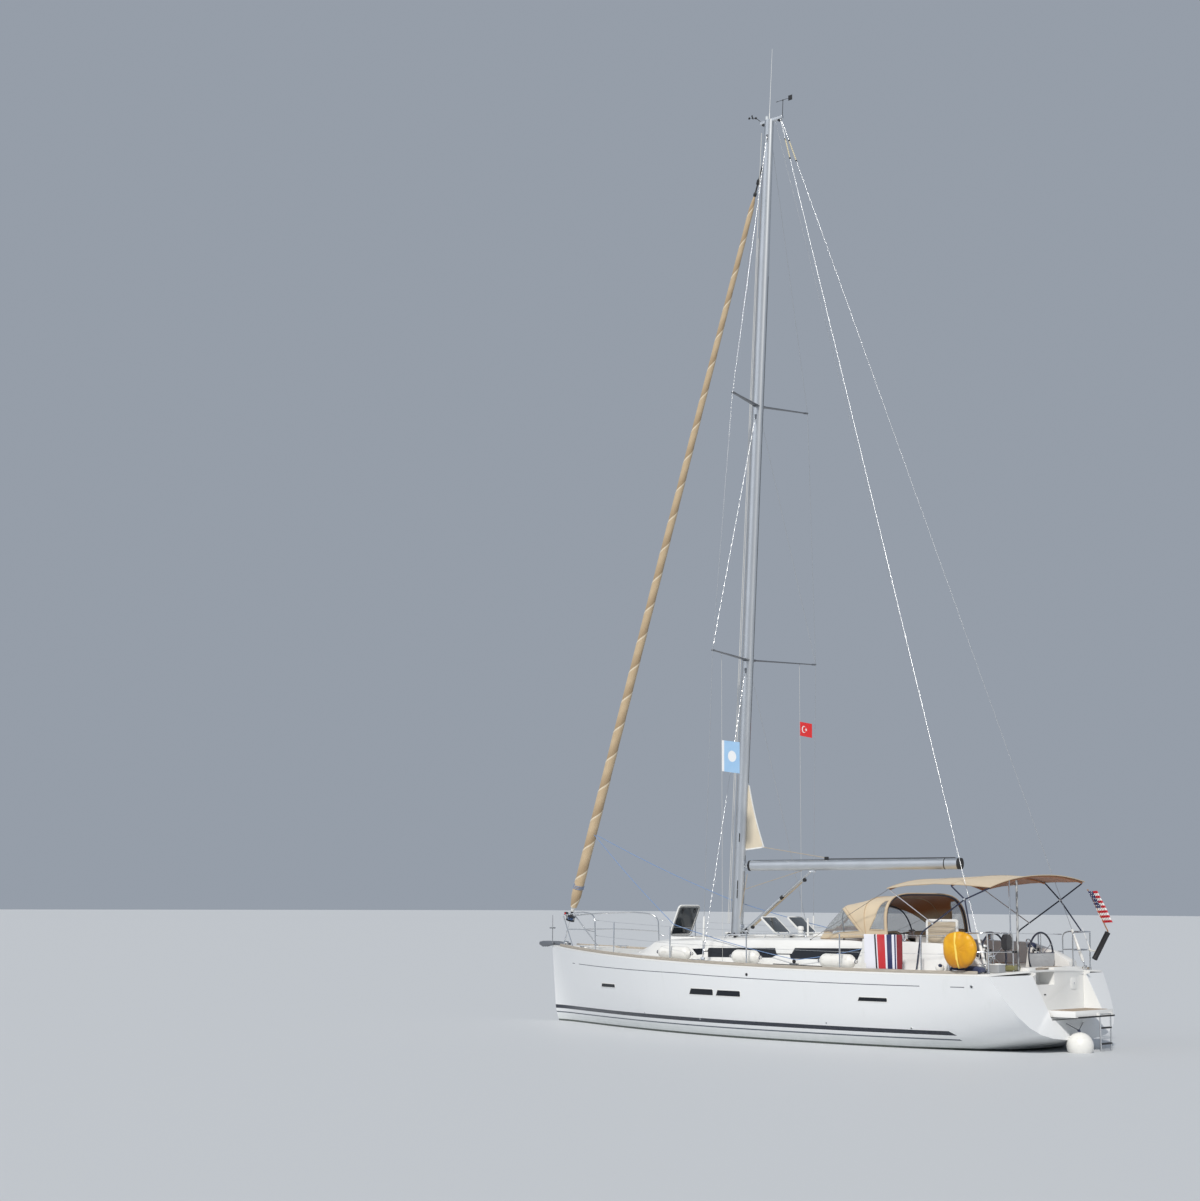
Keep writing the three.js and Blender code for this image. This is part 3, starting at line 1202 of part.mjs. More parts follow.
function signalFlag(side, low, high, wide) {
  const level = LOWER;
  const tip = spreaderTip(level, side);
  const t = (1180 - 30) / (Math.abs(tip.y) - 30);
  const x = THREE.MathUtils.lerp(mastX(level.z) - 20, tip.x, t);
  const y = side * 1180;
  const under = level.z + 18 * t - (17 - 6 * t) - 0.6;
  const halyard = rod(V(x, y, deckZ(x, y) + 0.8), V(x, y, under), 3, 6);
  const sheet = flagSheet(V(x + 1, y, high), V(-wide, 0, -60), V(0, 0, low - high), 4);
  return fuse(halyard, sheet);
}

// Swim platform and boarding ladder
const LADDER = { y0: -470, y1: -130, x: -6326, z: 604, low: -430 };
function swimPlatform() {
  const p = PLATFORM;
  const fore = p.hinge - 5;
  const aft = fore - p.length;
  const top = p.under + p.thick;
  const slab = sidePlate([
    [fore, p.under], [fore, top - 50], [fore - 45, top], [aft, top], [aft, p.under],
  ], -p.half, p.half);
  const knuckles = [-420, 420].map((y) => rod(V(p.hinge, y - 60, p.pin), V(p.hinge, y + 60, p.pin), 11, 12));
  const lugs = [LADDER.y0 - 52, LADDER.y1 + 24].map((y) => box(aft - 40, aft + 10, y, y + 28, p.under, LADDER.z + 16));
  const bore = rod(V(LADDER.x, -800, LADDER.z), V(LADDER.x, 200, LADDER.z), 6.5, 10);
  return cut(fuse(slab, knuckles, lugs), bore);
}

function boardingLadder() {
  const l = LADDER;
  const rails = [l.y0, l.y1].map((y) => rod(V(l.x, y, l.z + 8), V(l.x, y, l.low), TUBE, 8));
  const pin = rod(V(l.x, l.y0 - 60, l.z), V(l.x, l.y1 + 60, l.z), 6, 8);
  const treads = [0, 1, 2, 3].map((i) => box(l.x - 26, l.x + 10, l.y0, l.y1, l.low + 30 + i * 255, l.low + 52 + i * 255));
  return fuse(rails, pin, treads);
}

add("hull_shell", hullShell(), WHITE, 0.25);
const winches = SIDES.flatMap(({ y }) => [
  winch(-3520, y * 1300, 1722, 1),
  winch(-2350, y * 600, roofAt(-2350, 600) - 12, 0.85),
]);
add("deck_moulding", fuse(deckMoulding(), winches), WHITE, 0.4);
for (const s of SIDES) {
  add(`windows_${s.name}`, sideWindow(s.y), DARK, 0.1);
  add(`toe_rail_${s.name}`, toeRail(s.y), TEAK, 0.7);
  add(`lifelines_${s.name}`, lifelines(s.y), STEEL, 0.25, 1);
  add(`pushpit_${s.name}`, s.y > 0 ? portPushpit() : starboardPushpit(), STEEL, 0.25, 1);
  add(`shrouds_${s.name}`, shrouds(s.y), STEEL, 0.3, 1);
  add(`cockpit_locker_lid_${s.name}`, lockerLid(s.y, s.y > 0 ? 90 : 0), TEAK, 0.6);
  add(`table_leaf_${s.name}`, tableLeaf(s.y), TEAK, 0.6);
  add(`pedestal_${s.name}`, pedestal(s.y), WHITE, 0.4);
  add(`steering_wheel_${s.name}`, steeringWheel(s.y), DARK, 0.5);
}
add("keel", keel(), 0x23344f, 0.6);
add("rudder", rudder(), 0x23344f, 0.6);
add("saildrive_leg", saildriveLeg(), 0x70767c, 0.5);
add("propeller", propeller(), 0xa9874a, 0.3, 1);
add("engine_block", engineBlock(), 0x3a5f86, 0.6);
add("cabin_joinery", cabinJoinery(), 0x9a6a40, 0.5);
add("pulpit", pulpit(), STEEL, 0.25, 1);
add("bow_roller", bowRoller(), 0x555a60, 0.4, 1);
add("anchor_locker_lid", anchorLockerLid(), WHITE, 0.4);
add("mast", mast(), SILVER, 0.35, 1);
add("anemometer", anemometer(), DARK, 0.5);
add("wind_vane", windVane(), DARK, 0.5);
add("genoa_furled", furledGenoa(), 0xb49a74, 0.9);
add("forestay", forestay(), 0x3c4046, 0.5);
add("backstays", backstays(), STEEL, 0.3, 1);
add("boom", boom(), SILVER, 0.35, 1);
add("vang", vang(), SILVER, 0.4, 1);
add("mainsail_clew", mainsailClew(), 0xcdbb9b, 0.9);
for (const [name, h] of Object.entries(HATCHES)) add(`hatch_${name}`, hatchLid(h), 0x39424a, 0.2);
add("companionway_hatch", slidingHatch(), WHITE, 0.3);
add("cockpit_table", cockpitTable(), TEAK, 0.6);
add("bimini_canopy", biminiCanopy(), CANVAS, 0.9);
add("bimini_frame", biminiFrame(), STEEL, 0.25, 1);
add("sprayhood", sprayhood(), CANVAS, 0.9);
sprayhoodFrame().forEach((hoop, i) => add(`sprayhood_bow_${i ? "aft" : "fore"}`, hoop, STEEL, 0.25, 1));
FENDERS.forEach((f, i) => add(`fender_${i + 1}`, fender(f), 0xe6e4dc, 0.6));
add("ball_fender", ballFender(), 0xf2f2f0, 0.5);
add("towel", towel(), 0xb8202c, 0.95);
add("yellow_cover", yellowCover(), 0xe8b60c, 0.6);
add("ensign", ensign(), 0xb22234, 0.9);
add("flag_port", signalFlag(1, 4760, 5330, 420), 0x7fb6dd, 0.9);
add("flag_starboard", signalFlag(-1, 5560, 5830, 290), 0xd01824, 0.9);
add("swim_platform", swimPlatform(), WHITE, 0.4);
add("boarding_ladder", boardingLadder(), STEEL, 0.25, 1);

export default root;
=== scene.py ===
"""A 12 m cruising sloop at rest on the water: finishes, canvas, rigging and deck gear.

Metres, +X to the bow, +Y to port, +Z up, with the waterline at zero.
"""
import sys

import json
import math
from functools import partial

import bmesh
import bpy
from mathutils import Matrix, Vector, noise
from mathutils.bvhtree import BVHTree
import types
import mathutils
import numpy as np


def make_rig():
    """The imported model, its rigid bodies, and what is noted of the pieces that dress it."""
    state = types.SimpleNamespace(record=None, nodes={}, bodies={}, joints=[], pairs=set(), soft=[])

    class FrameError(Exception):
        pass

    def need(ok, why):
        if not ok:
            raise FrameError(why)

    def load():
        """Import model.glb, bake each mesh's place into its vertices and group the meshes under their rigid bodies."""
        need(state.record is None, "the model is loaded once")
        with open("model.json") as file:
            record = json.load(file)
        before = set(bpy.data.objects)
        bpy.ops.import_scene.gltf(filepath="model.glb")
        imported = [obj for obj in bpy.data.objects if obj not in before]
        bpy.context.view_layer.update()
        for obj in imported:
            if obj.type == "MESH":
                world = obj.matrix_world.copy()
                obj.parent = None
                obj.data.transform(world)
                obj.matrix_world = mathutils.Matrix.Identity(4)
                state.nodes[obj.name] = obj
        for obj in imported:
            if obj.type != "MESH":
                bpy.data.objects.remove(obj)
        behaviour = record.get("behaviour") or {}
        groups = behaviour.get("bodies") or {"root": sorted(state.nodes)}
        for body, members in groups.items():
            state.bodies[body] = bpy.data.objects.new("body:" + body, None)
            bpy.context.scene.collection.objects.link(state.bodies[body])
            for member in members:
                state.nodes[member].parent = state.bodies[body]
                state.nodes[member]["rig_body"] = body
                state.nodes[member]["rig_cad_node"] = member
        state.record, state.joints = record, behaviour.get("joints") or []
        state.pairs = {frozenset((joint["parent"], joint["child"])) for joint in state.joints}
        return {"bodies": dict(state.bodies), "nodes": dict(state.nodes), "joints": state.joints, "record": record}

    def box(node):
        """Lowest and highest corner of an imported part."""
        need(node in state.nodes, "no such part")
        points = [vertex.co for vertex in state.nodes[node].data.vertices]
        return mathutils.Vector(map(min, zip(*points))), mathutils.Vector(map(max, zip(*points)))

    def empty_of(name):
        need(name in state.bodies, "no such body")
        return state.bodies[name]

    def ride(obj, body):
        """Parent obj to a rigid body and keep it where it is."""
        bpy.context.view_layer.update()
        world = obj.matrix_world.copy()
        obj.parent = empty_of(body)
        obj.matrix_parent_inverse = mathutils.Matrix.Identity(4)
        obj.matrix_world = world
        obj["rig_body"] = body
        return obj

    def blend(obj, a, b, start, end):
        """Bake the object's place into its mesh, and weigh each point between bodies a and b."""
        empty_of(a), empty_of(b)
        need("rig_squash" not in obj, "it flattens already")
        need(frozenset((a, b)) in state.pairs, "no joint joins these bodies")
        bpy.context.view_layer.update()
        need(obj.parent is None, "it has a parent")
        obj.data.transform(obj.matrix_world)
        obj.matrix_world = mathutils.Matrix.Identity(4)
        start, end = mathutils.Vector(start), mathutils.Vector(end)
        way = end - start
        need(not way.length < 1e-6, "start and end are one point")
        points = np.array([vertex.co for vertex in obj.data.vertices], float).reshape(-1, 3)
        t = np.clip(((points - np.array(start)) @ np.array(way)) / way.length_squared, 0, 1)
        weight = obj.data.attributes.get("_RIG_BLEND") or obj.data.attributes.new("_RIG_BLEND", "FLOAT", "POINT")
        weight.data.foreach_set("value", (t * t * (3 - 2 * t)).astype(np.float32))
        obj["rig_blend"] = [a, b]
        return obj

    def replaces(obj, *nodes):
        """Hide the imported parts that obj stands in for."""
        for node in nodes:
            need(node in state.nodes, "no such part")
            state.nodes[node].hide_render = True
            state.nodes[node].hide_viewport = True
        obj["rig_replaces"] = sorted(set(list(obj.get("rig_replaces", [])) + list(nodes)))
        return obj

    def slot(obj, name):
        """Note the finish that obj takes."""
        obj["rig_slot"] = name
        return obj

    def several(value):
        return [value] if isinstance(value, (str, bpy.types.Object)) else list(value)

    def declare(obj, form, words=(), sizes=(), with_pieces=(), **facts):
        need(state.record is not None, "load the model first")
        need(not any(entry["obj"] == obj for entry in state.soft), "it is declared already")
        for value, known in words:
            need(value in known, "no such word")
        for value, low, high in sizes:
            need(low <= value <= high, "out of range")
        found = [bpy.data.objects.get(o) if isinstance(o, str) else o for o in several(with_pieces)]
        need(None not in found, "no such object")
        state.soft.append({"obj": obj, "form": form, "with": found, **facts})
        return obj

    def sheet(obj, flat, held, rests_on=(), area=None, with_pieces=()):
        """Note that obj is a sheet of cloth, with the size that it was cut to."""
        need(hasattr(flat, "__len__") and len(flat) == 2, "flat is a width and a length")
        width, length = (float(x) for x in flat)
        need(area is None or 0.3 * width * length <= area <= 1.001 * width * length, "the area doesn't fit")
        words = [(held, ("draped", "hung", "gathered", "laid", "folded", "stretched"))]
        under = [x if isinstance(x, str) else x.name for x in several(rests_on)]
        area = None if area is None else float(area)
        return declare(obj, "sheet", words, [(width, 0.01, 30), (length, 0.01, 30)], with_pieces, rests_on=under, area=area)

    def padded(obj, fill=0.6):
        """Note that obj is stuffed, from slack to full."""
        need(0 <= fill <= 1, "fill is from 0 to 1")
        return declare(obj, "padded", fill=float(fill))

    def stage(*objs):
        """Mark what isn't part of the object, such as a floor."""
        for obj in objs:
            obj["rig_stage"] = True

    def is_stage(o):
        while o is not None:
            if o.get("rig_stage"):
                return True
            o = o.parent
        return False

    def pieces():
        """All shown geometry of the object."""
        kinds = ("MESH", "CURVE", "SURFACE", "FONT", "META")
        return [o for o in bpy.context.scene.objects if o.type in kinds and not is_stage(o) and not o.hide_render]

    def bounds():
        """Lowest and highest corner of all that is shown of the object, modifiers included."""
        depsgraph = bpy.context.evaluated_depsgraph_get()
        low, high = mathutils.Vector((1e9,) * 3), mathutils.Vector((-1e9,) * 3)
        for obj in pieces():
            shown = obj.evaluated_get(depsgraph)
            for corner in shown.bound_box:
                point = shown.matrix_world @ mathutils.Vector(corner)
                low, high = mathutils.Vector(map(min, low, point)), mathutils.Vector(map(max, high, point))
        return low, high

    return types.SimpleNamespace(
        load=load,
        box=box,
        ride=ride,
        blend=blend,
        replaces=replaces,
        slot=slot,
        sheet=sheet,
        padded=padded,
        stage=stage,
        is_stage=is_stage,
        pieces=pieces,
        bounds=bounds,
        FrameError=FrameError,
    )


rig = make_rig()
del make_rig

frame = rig.load()
cad_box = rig.bounds()

UP = Vector((0, 0, 1))
PORT = 1
STARBOARD = -1
BOTH_SIDES = (PORT, STARBOARD)

# Camera, floor and light

LENS_PIXELS = 2061.4  # focal length in pixels of a picture 1201 high
PICTURE_HEIGHT = 1201
SENSOR = 36.0
EYE = Vector((-23.68, 30.485, 2.361))
HEADING = 0.75052  # radians from +X towards -Y seen from above, measured at the lens
CLIMB = 0.14534
LEAN = 0.00549
FAR = 900  # metres: the camera sees the whole floor
FLOOR_HALF = 400


def make_camera():
    ahead = Vector((math.sin(HEADING), -math.cos(HEADING), 0))
    across = Vector((-math.cos(HEADING), -math.sin(HEADING), 0))
    look = ahead * math.cos(CLIMB) + UP * math.sin(CLIMB)
    above = UP * math.cos(CLIMB) - ahead * math.sin(CLIMB)
    right = across * math.cos(LEAN) + above * math.sin(LEAN)
    above = above * math.cos(LEAN) - across * math.sin(LEAN)
    data = bpy.data.cameras.new("camera")
    data.sensor_width = SENSOR
    data.lens = LENS_PIXELS / PICTURE_HEIGHT * SENSOR
    data.clip_end = FAR
    camera = bpy.data.objects.new("camera", data)
    bpy.context.scene.collection.objects.link(camera)
    camera.matrix_world = Matrix((
        (right.x, above.x, -look.x, EYE.x),
        (right.y, above.y, -look.y, EYE.y),
        (right.z, above.z, -look.z, EYE.z),
        (0, 0, 0, 1),
    ))
    bpy.context.scene.camera = camera


SUNS = (
    # name, strength, the side it shines from, spread in degrees, colour
    ("key", 2.7, (-7, 12, 13), 5, (1.0, 0.965, 0.91)),
    ("fill", 0.25, (14, 18, 9), 40, (0.92, 0.95, 1.0)),
)
SKY_COLOUR, SKY_STRENGTH = (0.66, 0.74, 0.86, 1), 0.46


def make_sun(name, strength, position, spread, colour):
    data = bpy.data.lights.new(name, "SUN")
    data.energy = strength
    data.color = colour
    data.angle = math.radians(spread)
    light = bpy.data.objects.new(name, data)
    bpy.context.scene.collection.objects.link(light)
    turn = (-Vector(position)).to_track_quat("-Z", "Y").to_matrix().to_4x4()
    light.matrix_world = Matrix.Translation(position) @ turn


# Shader helpers


class Wire:
    """One number in a material; sums and products on it add Math nodes."""

    def __init__(self, tree, socket):
        self.tree = tree
        self.socket = socket

    def maths(self, operation, first, second=None, clamp=False):
        node = self.tree.nodes.new("ShaderNodeMath")
        node.operation = operation
        node.use_clamp = clamp
        for slot, value in zip(node.inputs, (first, second)):
            if isinstance(value, Wire):
                self.tree.links.new(value.socket, slot)
            elif value is not None:
                slot.default_value = value
        return Wire(self.tree, node.outputs[0])

    def __add__(self, other):
        return self.maths("ADD", self, other)

    __radd__ = __add__

    def __sub__(self, other):
        return self.maths("SUBTRACT", self, other)

    def __rsub__(self, other):
        return self.maths("SUBTRACT", other, self)

    def __mul__(self, other):
        return self.maths("MULTIPLY", self, other)

    __rmul__ = __mul__

    def __truediv__(self, other):
        return self.maths("DIVIDE", self, other)

    def above(self, edge):
        return self.maths("GREATER_THAN", self, edge)

    def below(self, edge):
        return self.maths("LESS_THAN", self, edge)

    def between(self, low, high):
        return self.above(low) * self.below(high)

    def clamped(self):
        return self.maths("ADD", self, 0.0, clamp=True)

    def sine(self):
        return self.maths("SINE", self)

    def size(self):
        return self.maths("ABSOLUTE", self)

    def part(self):
        return self.maths("FRACT", self)

    def either(self, other):
        return self.maths("MAXIMUM", self, other)

    def rise(self, low, high):
        """0 below low, 1 above high."""
        return ((self - low) / (high - low)).clamped()


class Finish:
    """A material built from one Principled shader and patterns on the object's own coordinates."""

    def __init__(self, colour, roughness, **steady):
        self.material = bpy.data.materials.new("finish")
        self.material.use_nodes = True
        self.tree = self.material.node_tree
        self.shader = self.tree.nodes["Principled BSDF"]
        self.shader.inputs["Base Color"].default_value = (*colour, 1)
        self.shader.inputs["Roughness"].default_value = roughness
        for socket, value in steady.items():
            self.shader.inputs[socket.replace("_", " ")].default_value = value
        self._place = None

    def node(self, kind, settings=None, inputs=None, output=0):
        node = self.tree.nodes.new(kind)
        for key, value in (settings or {}).items():
            setattr(node, key, value)
        for key, value in (inputs or {}).items():
            self.feed(node.inputs[key], value)
        return Wire(self.tree, node.outputs[output])

    def feed(self, socket, value):
        if isinstance(value, Wire):
            self.tree.links.new(value.socket, socket)
        else:
            socket.default_value = value

    def place(self):
        if self._place is None:
            self._place = self.node("ShaderNodeTexCoord", output="Object")
        return self._place

    def axes(self):
        node = self.tree.nodes.new("ShaderNodeSeparateXYZ")
        self.feed(node.inputs[0], self.place())
        return [Wire(self.tree, out) for out in node.outputs]

    def facing(self):
        node = self.tree.nodes.new("ShaderNodeNewGeometry")
        split = self.tree.nodes.new("ShaderNodeSeparateXYZ")
        self.tree.links.new(node.outputs["Normal"], split.inputs[0])
        return [Wire(self.tree, out) for out in split.outputs]

    def attribute(self, name):
        return self.node("ShaderNodeAttribute", {"attribute_name": name}, output="Fac")

    def stretched(self, scale):
        return self.node("ShaderNodeMapping", {}, {"Vector": self.place(), "Scale": scale})

    def grain(self, scale, detail=3.0, vector=None):
        vector = vector or self.place()
        return self.node("ShaderNodeTexNoise", {}, {"Vector": vector, "Scale": scale, "Detail": detail},
                         "Fac")

    def cells(self, scale):
        return self.node("ShaderNodeTexVoronoi", {}, {"Vector": self.place(), "Scale": scale}, "Distance")

    def mix(self, factor, first, second):
        node = self.tree.nodes.new("ShaderNodeMix")
        node.data_type = "RGBA"
        self.feed(node.inputs[0], factor)
        for slot, value in ((6, first), (7, second)):
            self.feed(node.inputs[slot], value if isinstance(value, Wire) else (*value[:3], 1))
        return Wire(self.tree, node.outputs[2])

    def bump(self, height, distance, strength=1.0):
        link = self.node("ShaderNodeBump", {}, {"Height": height, "Distance": distance, "Strength": strength})
        self.feed(self.shader.inputs["Normal"], link)
        return self

    def paint(self, colour):
        self.feed(self.shader.inputs["Base Color"], colour)
        return self

    def rough(self, value):
        self.feed(self.shader.inputs["Roughness"], value)
        return self


FINISHES = {}


def finish(name):
    """The finish of that name; each is made once."""
    if name not in FINISHES:
        recipe = PLAIN_FINISHES.get(name) or globals()["finish_" + name]
        FINISHES[name] = recipe().material
        FINISHES[name].name = name
    return FINISHES[name]


def speckled(colour, roughness, amount=0.06, scale=3.0, bump=0.0, bump_scale=60.0, **steady):
    """A finish with slow changes of tone, a little unevenness in its gloss and an optional fine grain."""
    f = Finish(colour, roughness, **steady)
    tone = f.grain(scale, 4)
    dark = [c * (1 - amount) for c in colour]
    light = [min(1, c * (1 + amount)) for c in colour]
    f.paint(f.mix(tone, dark, light))
    f.rough((roughness - 0.05) + f.grain(scale * 2.3, 3) * 0.1)
    if bump:
        f.bump(f.grain(bump_scale, 2), bump)
    return f


def sheer_height(x):
    """Height of the deck edge at x, for a number or for a wire."""
    return 1.279 + x * 0.02065 + x * x * 0.002712


BOOT_STRIPE, BOOT_LINE = (0.246, 0.316), (0.163, 0.186)  # heights above the water
BOOT_STRIPE_END, BOOT_LINE_END = -4.60, -4.52
PIN_STRIPE_DROP, PIN_STRIPE_HALF = 0.207, 0.0068  # below the deck edge
PIN_STRIPE_RUNS = ((-4.18, 4.62), (-4.99, -4.74), (4.82, 4.94))
PAINT_EDGE = 0.034  # top of the bottom paint


def finish_hull_gelcoat():
    f = Finish((0.80, 0.82, 0.83), 0.16, Coat_Weight=0.35, Coat_Roughness=0.06)
    x, _, z = f.axes()
    white = f.mix(f.grain(0.55, 4), (0.785, 0.80, 0.815), (0.835, 0.845, 0.85))
    grime = f.grain(5, 5, f.stretched((1.2, 1.2, 0.35)))
    near_water = 1 - z.rise(0.03, 0.24)
    dirty = f.mix((near_water * (0.25 + grime * 0.75)).clamped(), white, (0.56, 0.60, 0.59))
    streaks = f.grain(3.2, 4, f.stretched((3.0, 3.0, 0.18)))
    dirty = f.mix(streaks.rise(0.62, 0.86) * 0.18, dirty, (0.60, 0.61, 0.58))
    aft_end = (z - 0.28) * 1.6
    boot = z.between(*BOOT_STRIPE) * (x - aft_end).above(BOOT_STRIPE_END)
    line = z.between(*BOOT_LINE) * (x - aft_end).above(BOOT_LINE_END)
    drop = sheer_height(x) - z
    bow_drop = x.rise(1.2, 5.0) * 0.075
    pin = (drop - bow_drop - PIN_STRIPE_DROP).size().below(PIN_STRIPE_HALF)
    long_run, aft_run, fore_run = (x.between(*run) for run in PIN_STRIPE_RUNS)
    runs = long_run.either(aft_run).either(fore_run)
    marked = f.mix(boot, dirty, (0.012, 0.016, 0.030))
    marked = f.mix(line, marked, (0.10, 0.12, 0.15))
    marked = f.mix(pin * runs, marked, (0.12, 0.13, 0.15))
    bottom = f.mix(f.grain(2.6, 5), (0.022, 0.032, 0.060), (0.045, 0.060, 0.095))
    scum = f.mix(z.rise(-0.16, 0.035) * (0.35 + grime * 0.6), bottom, (0.13, 0.15, 0.11))
    under = z.below(PAINT_EDGE)
    f.paint(f.mix(under, marked, scum))
    f.rough(0.14 + under * 0.5 + near_water * 0.16 + f.grain(1.4, 3) * 0.05)
    f.bump(f.grain(0.9, 2) * 0.006 + f.grain(55, 3) * under * 0.0016, 1.0, 0.5)
    return f


def finish_deck_gelcoat():
    f = Finish((0.82, 0.82, 0.80), 0.34, Coat_Weight=0.12)
    stain = f.grain(1.1, 5)
    f.paint(f.mix(stain.rise(0.35, 0.75), (0.84, 0.84, 0.825), (0.775, 0.77, 0.745)))
    f.rough(0.30 + f.grain(2.4, 3) * 0.14)
    f.bump(f.grain(240, 2), 0.0003, 0.5)
    return f


def finish_nonslip():
    """Moulded diamond grip with a slightly greyer tone than the polished gelcoat."""
    f = Finish((0.72, 0.72, 0.695), 0.62)
    x, y = f.axes()[:2]
    ribs = ((x + y) * 520).sine() * ((x - y) * 520).sine()
    wear = f.grain(1.7, 5)
    f.paint(f.mix(wear.rise(0.3, 0.8), (0.745, 0.745, 0.72), (0.66, 0.655, 0.62)))
    f.bump(ribs.size() + f.grain(90, 2) * 0.3, 0.0012, 0.8)
    return f


def teak_finish(plank, along_x=True, fresh=0.0):
    """Weathered teak: silvered planks with dark caulking; plank is the width of one."""
    f = Finish((0.42, 0.36, 0.29), 0.72)
    x, y = f.axes()[:2]
    across = y if along_x else x
    stretch = (1.2, 26, 14) if along_x else (26, 1.2, 14)
    strip = (across / plank + 0.5).part()
    seam = (strip - 0.5).size().above(0.5 - 0.0026 / plank)
    each = f.node("ShaderNodeTexWhiteNoise", {"noise_dimensions": "1D"},
                  {"W": (across / plank + 0.5).maths("FLOOR", across / plank + 0.5)})
    fibre = f.grain(3.0, 6, f.stretched(stretch))
    silver = f.mix(fibre.rise(0.3, 0.72), (0.33, 0.285, 0.235), (0.52, 0.465, 0.39))
    toned = f.mix(each * 0.45, silver, (0.45, 0.34, 0.235) if fresh else (0.40, 0.37, 0.33))
    if fresh:
        toned = f.mix(fresh, toned, (0.44, 0.28, 0.15))
    f.paint(f.mix(seam, toned, (0.018, 0.017, 0.016)))
    f.rough(0.62 + fibre * 0.22 - seam * 0.25)
    f.bump(fibre * 0.5 - seam * 1.1, 0.0011, 0.8)
    return f


def finish_joinery():
    f = Finish((0.42, 0.24, 0.12), 0.38, Coat_Weight=0.25, Coat_Roughness=0.2)
    fibre = f.grain(2.2, 6, f.stretched((1.5, 9, 22)))
    f.paint(f.mix(fibre.rise(0.28, 0.76), (0.30, 0.155, 0.075), (0.50, 0.30, 0.165)))
    f.rough(0.32 + fibre * 0.15)
    return f


def metal_finish(colour, roughness, brush=(40, 40, 2), depth=0.0001, tarnish=0.12):
    f = Finish(colour, roughness, Metallic=1.0)
    lines = f.grain(9, 3, f.stretched(brush))
    cloud = f.grain(2.1, 4)
    dull = [c * (1 - tarnish) for c in colour]
    f.paint(f.mix(cloud.rise(0.3, 0.75), colour, dull))
    f.rough((roughness - 0.06) + lines * 0.08 + cloud * 0.06)
    f.bump(lines, depth, 0.4)
    return f


def finish_rigging_wire():
    f = Finish((0.66, 0.67, 0.68), 0.30, Metallic=1.0)
    x, y, z = f.axes()
    lay = ((z * 0.35 + x + y) * 620).sine()
    f.paint(f.mix(lay.rise(-0.6, 0.8), (0.50, 0.51, 0.52), (0.74, 0.75, 0.76)))
    f.bump(lay, 0.0004, 0.6)
    return f


def finish_antifouling():
    f = Finish((0.03, 0.045, 0.08), 0.74)
    patches = f.grain(2.6, 5)
    f.paint(f.mix(patches, (0.022, 0.032, 0.060), (0.048, 0.064, 0.098)))
    f.rough(0.66 + f.grain(9, 3) * 0.2)
    f.bump(f.grain(55, 3), 0.0016, 0.6)
    return f


def finish_window_glass():
    f = Finish((0.008, 0.010, 0.014), 0.08, Specular_IOR_Level=0.28)
    f.rough(0.06 + f.grain(3, 3) * 0.06)
    f.paint(f.mix(f.grain(0.8, 3), (0.006, 0.008, 0.011), (0.014, 0.017, 0.024)))
    return f


def finish_hatch_acrylic():
    f = Finish((0.05, 0.06, 0.065), 0.08, Coat_Weight=0.5)
    f.rough(0.06 + f.grain(6, 3) * 0.08)
    f.paint(f.mix(f.grain(2.0, 3), (0.030, 0.036, 0.042), (0.060, 0.070, 0.078)))
    return f


def finish_fender_vinyl():
    f = Finish((0.80, 0.79, 0.75), 0.36)
    scuff = f.grain(7, 5, f.stretched((1, 1, 2.2)))
    f.paint(f.mix(scuff.rise(0.55, 0.82), (0.82, 0.81, 0.775), (0.60, 0.58, 0.53)))
    f.rough(0.30 + scuff * 0.2)
    f.bump(f.grain(30, 2), 0.0006, 0.5)
    return f


def finish_yellow_vinyl():
    f = Finish((0.80, 0.50, 0.02), 0.42, Sheen_Weight=0.1)
    z = f.axes()[2]
    tone = f.grain(4.5, 5)
    worn = f.mix(tone.rise(0.3, 0.75), (0.80, 0.41, 0.002), (0.60, 0.245, 0.001))
    # painted shade: the vinyl turns deeper orange below 1.62 m, fully below 1.36 m, towards the gathered foot
    f.paint(f.mix(1 - z.rise(1.36, 1.62), worn, (0.52, 0.20, 0.001)))
    f.bump(f.grain(16, 4) + f.grain(300, 1) * 0.08, 0.004, 0.6)
    return f


def woven(colour, shade, thread=900.0, roughness=0.86, sheen=0.25, under=None):
    """Woven cloth: crossed threads, slow fading and soft dirt; under is a painted shade tone for faces that look down.
    """
    f = Finish(colour, roughness, Sheen_Weight=sheen, Sheen_Roughness=0.5)
    x, y, z = f.axes()
    weave = (x * thread).sine() * (y * thread + z * thread * 0.8).sine()
    fade = f.grain(1.9, 5)
    base = f.mix(fade.rise(0.28, 0.78), colour, shade)
    base = f.mix(weave.rise(0.1, 0.9) * 0.16, base, [c * 0.6 for c in colour])
    # painted shade: faces that look down turn towards the dark under tone
    if under:
        base = f.mix((f.facing()[2] * -1).rise(0.25, 0.6), base, under)
    f.paint(base)
    f.bump(weave.size() * 0.5 + f.grain(26, 4) * 0.5, 0.0014, 0.55)
    return f


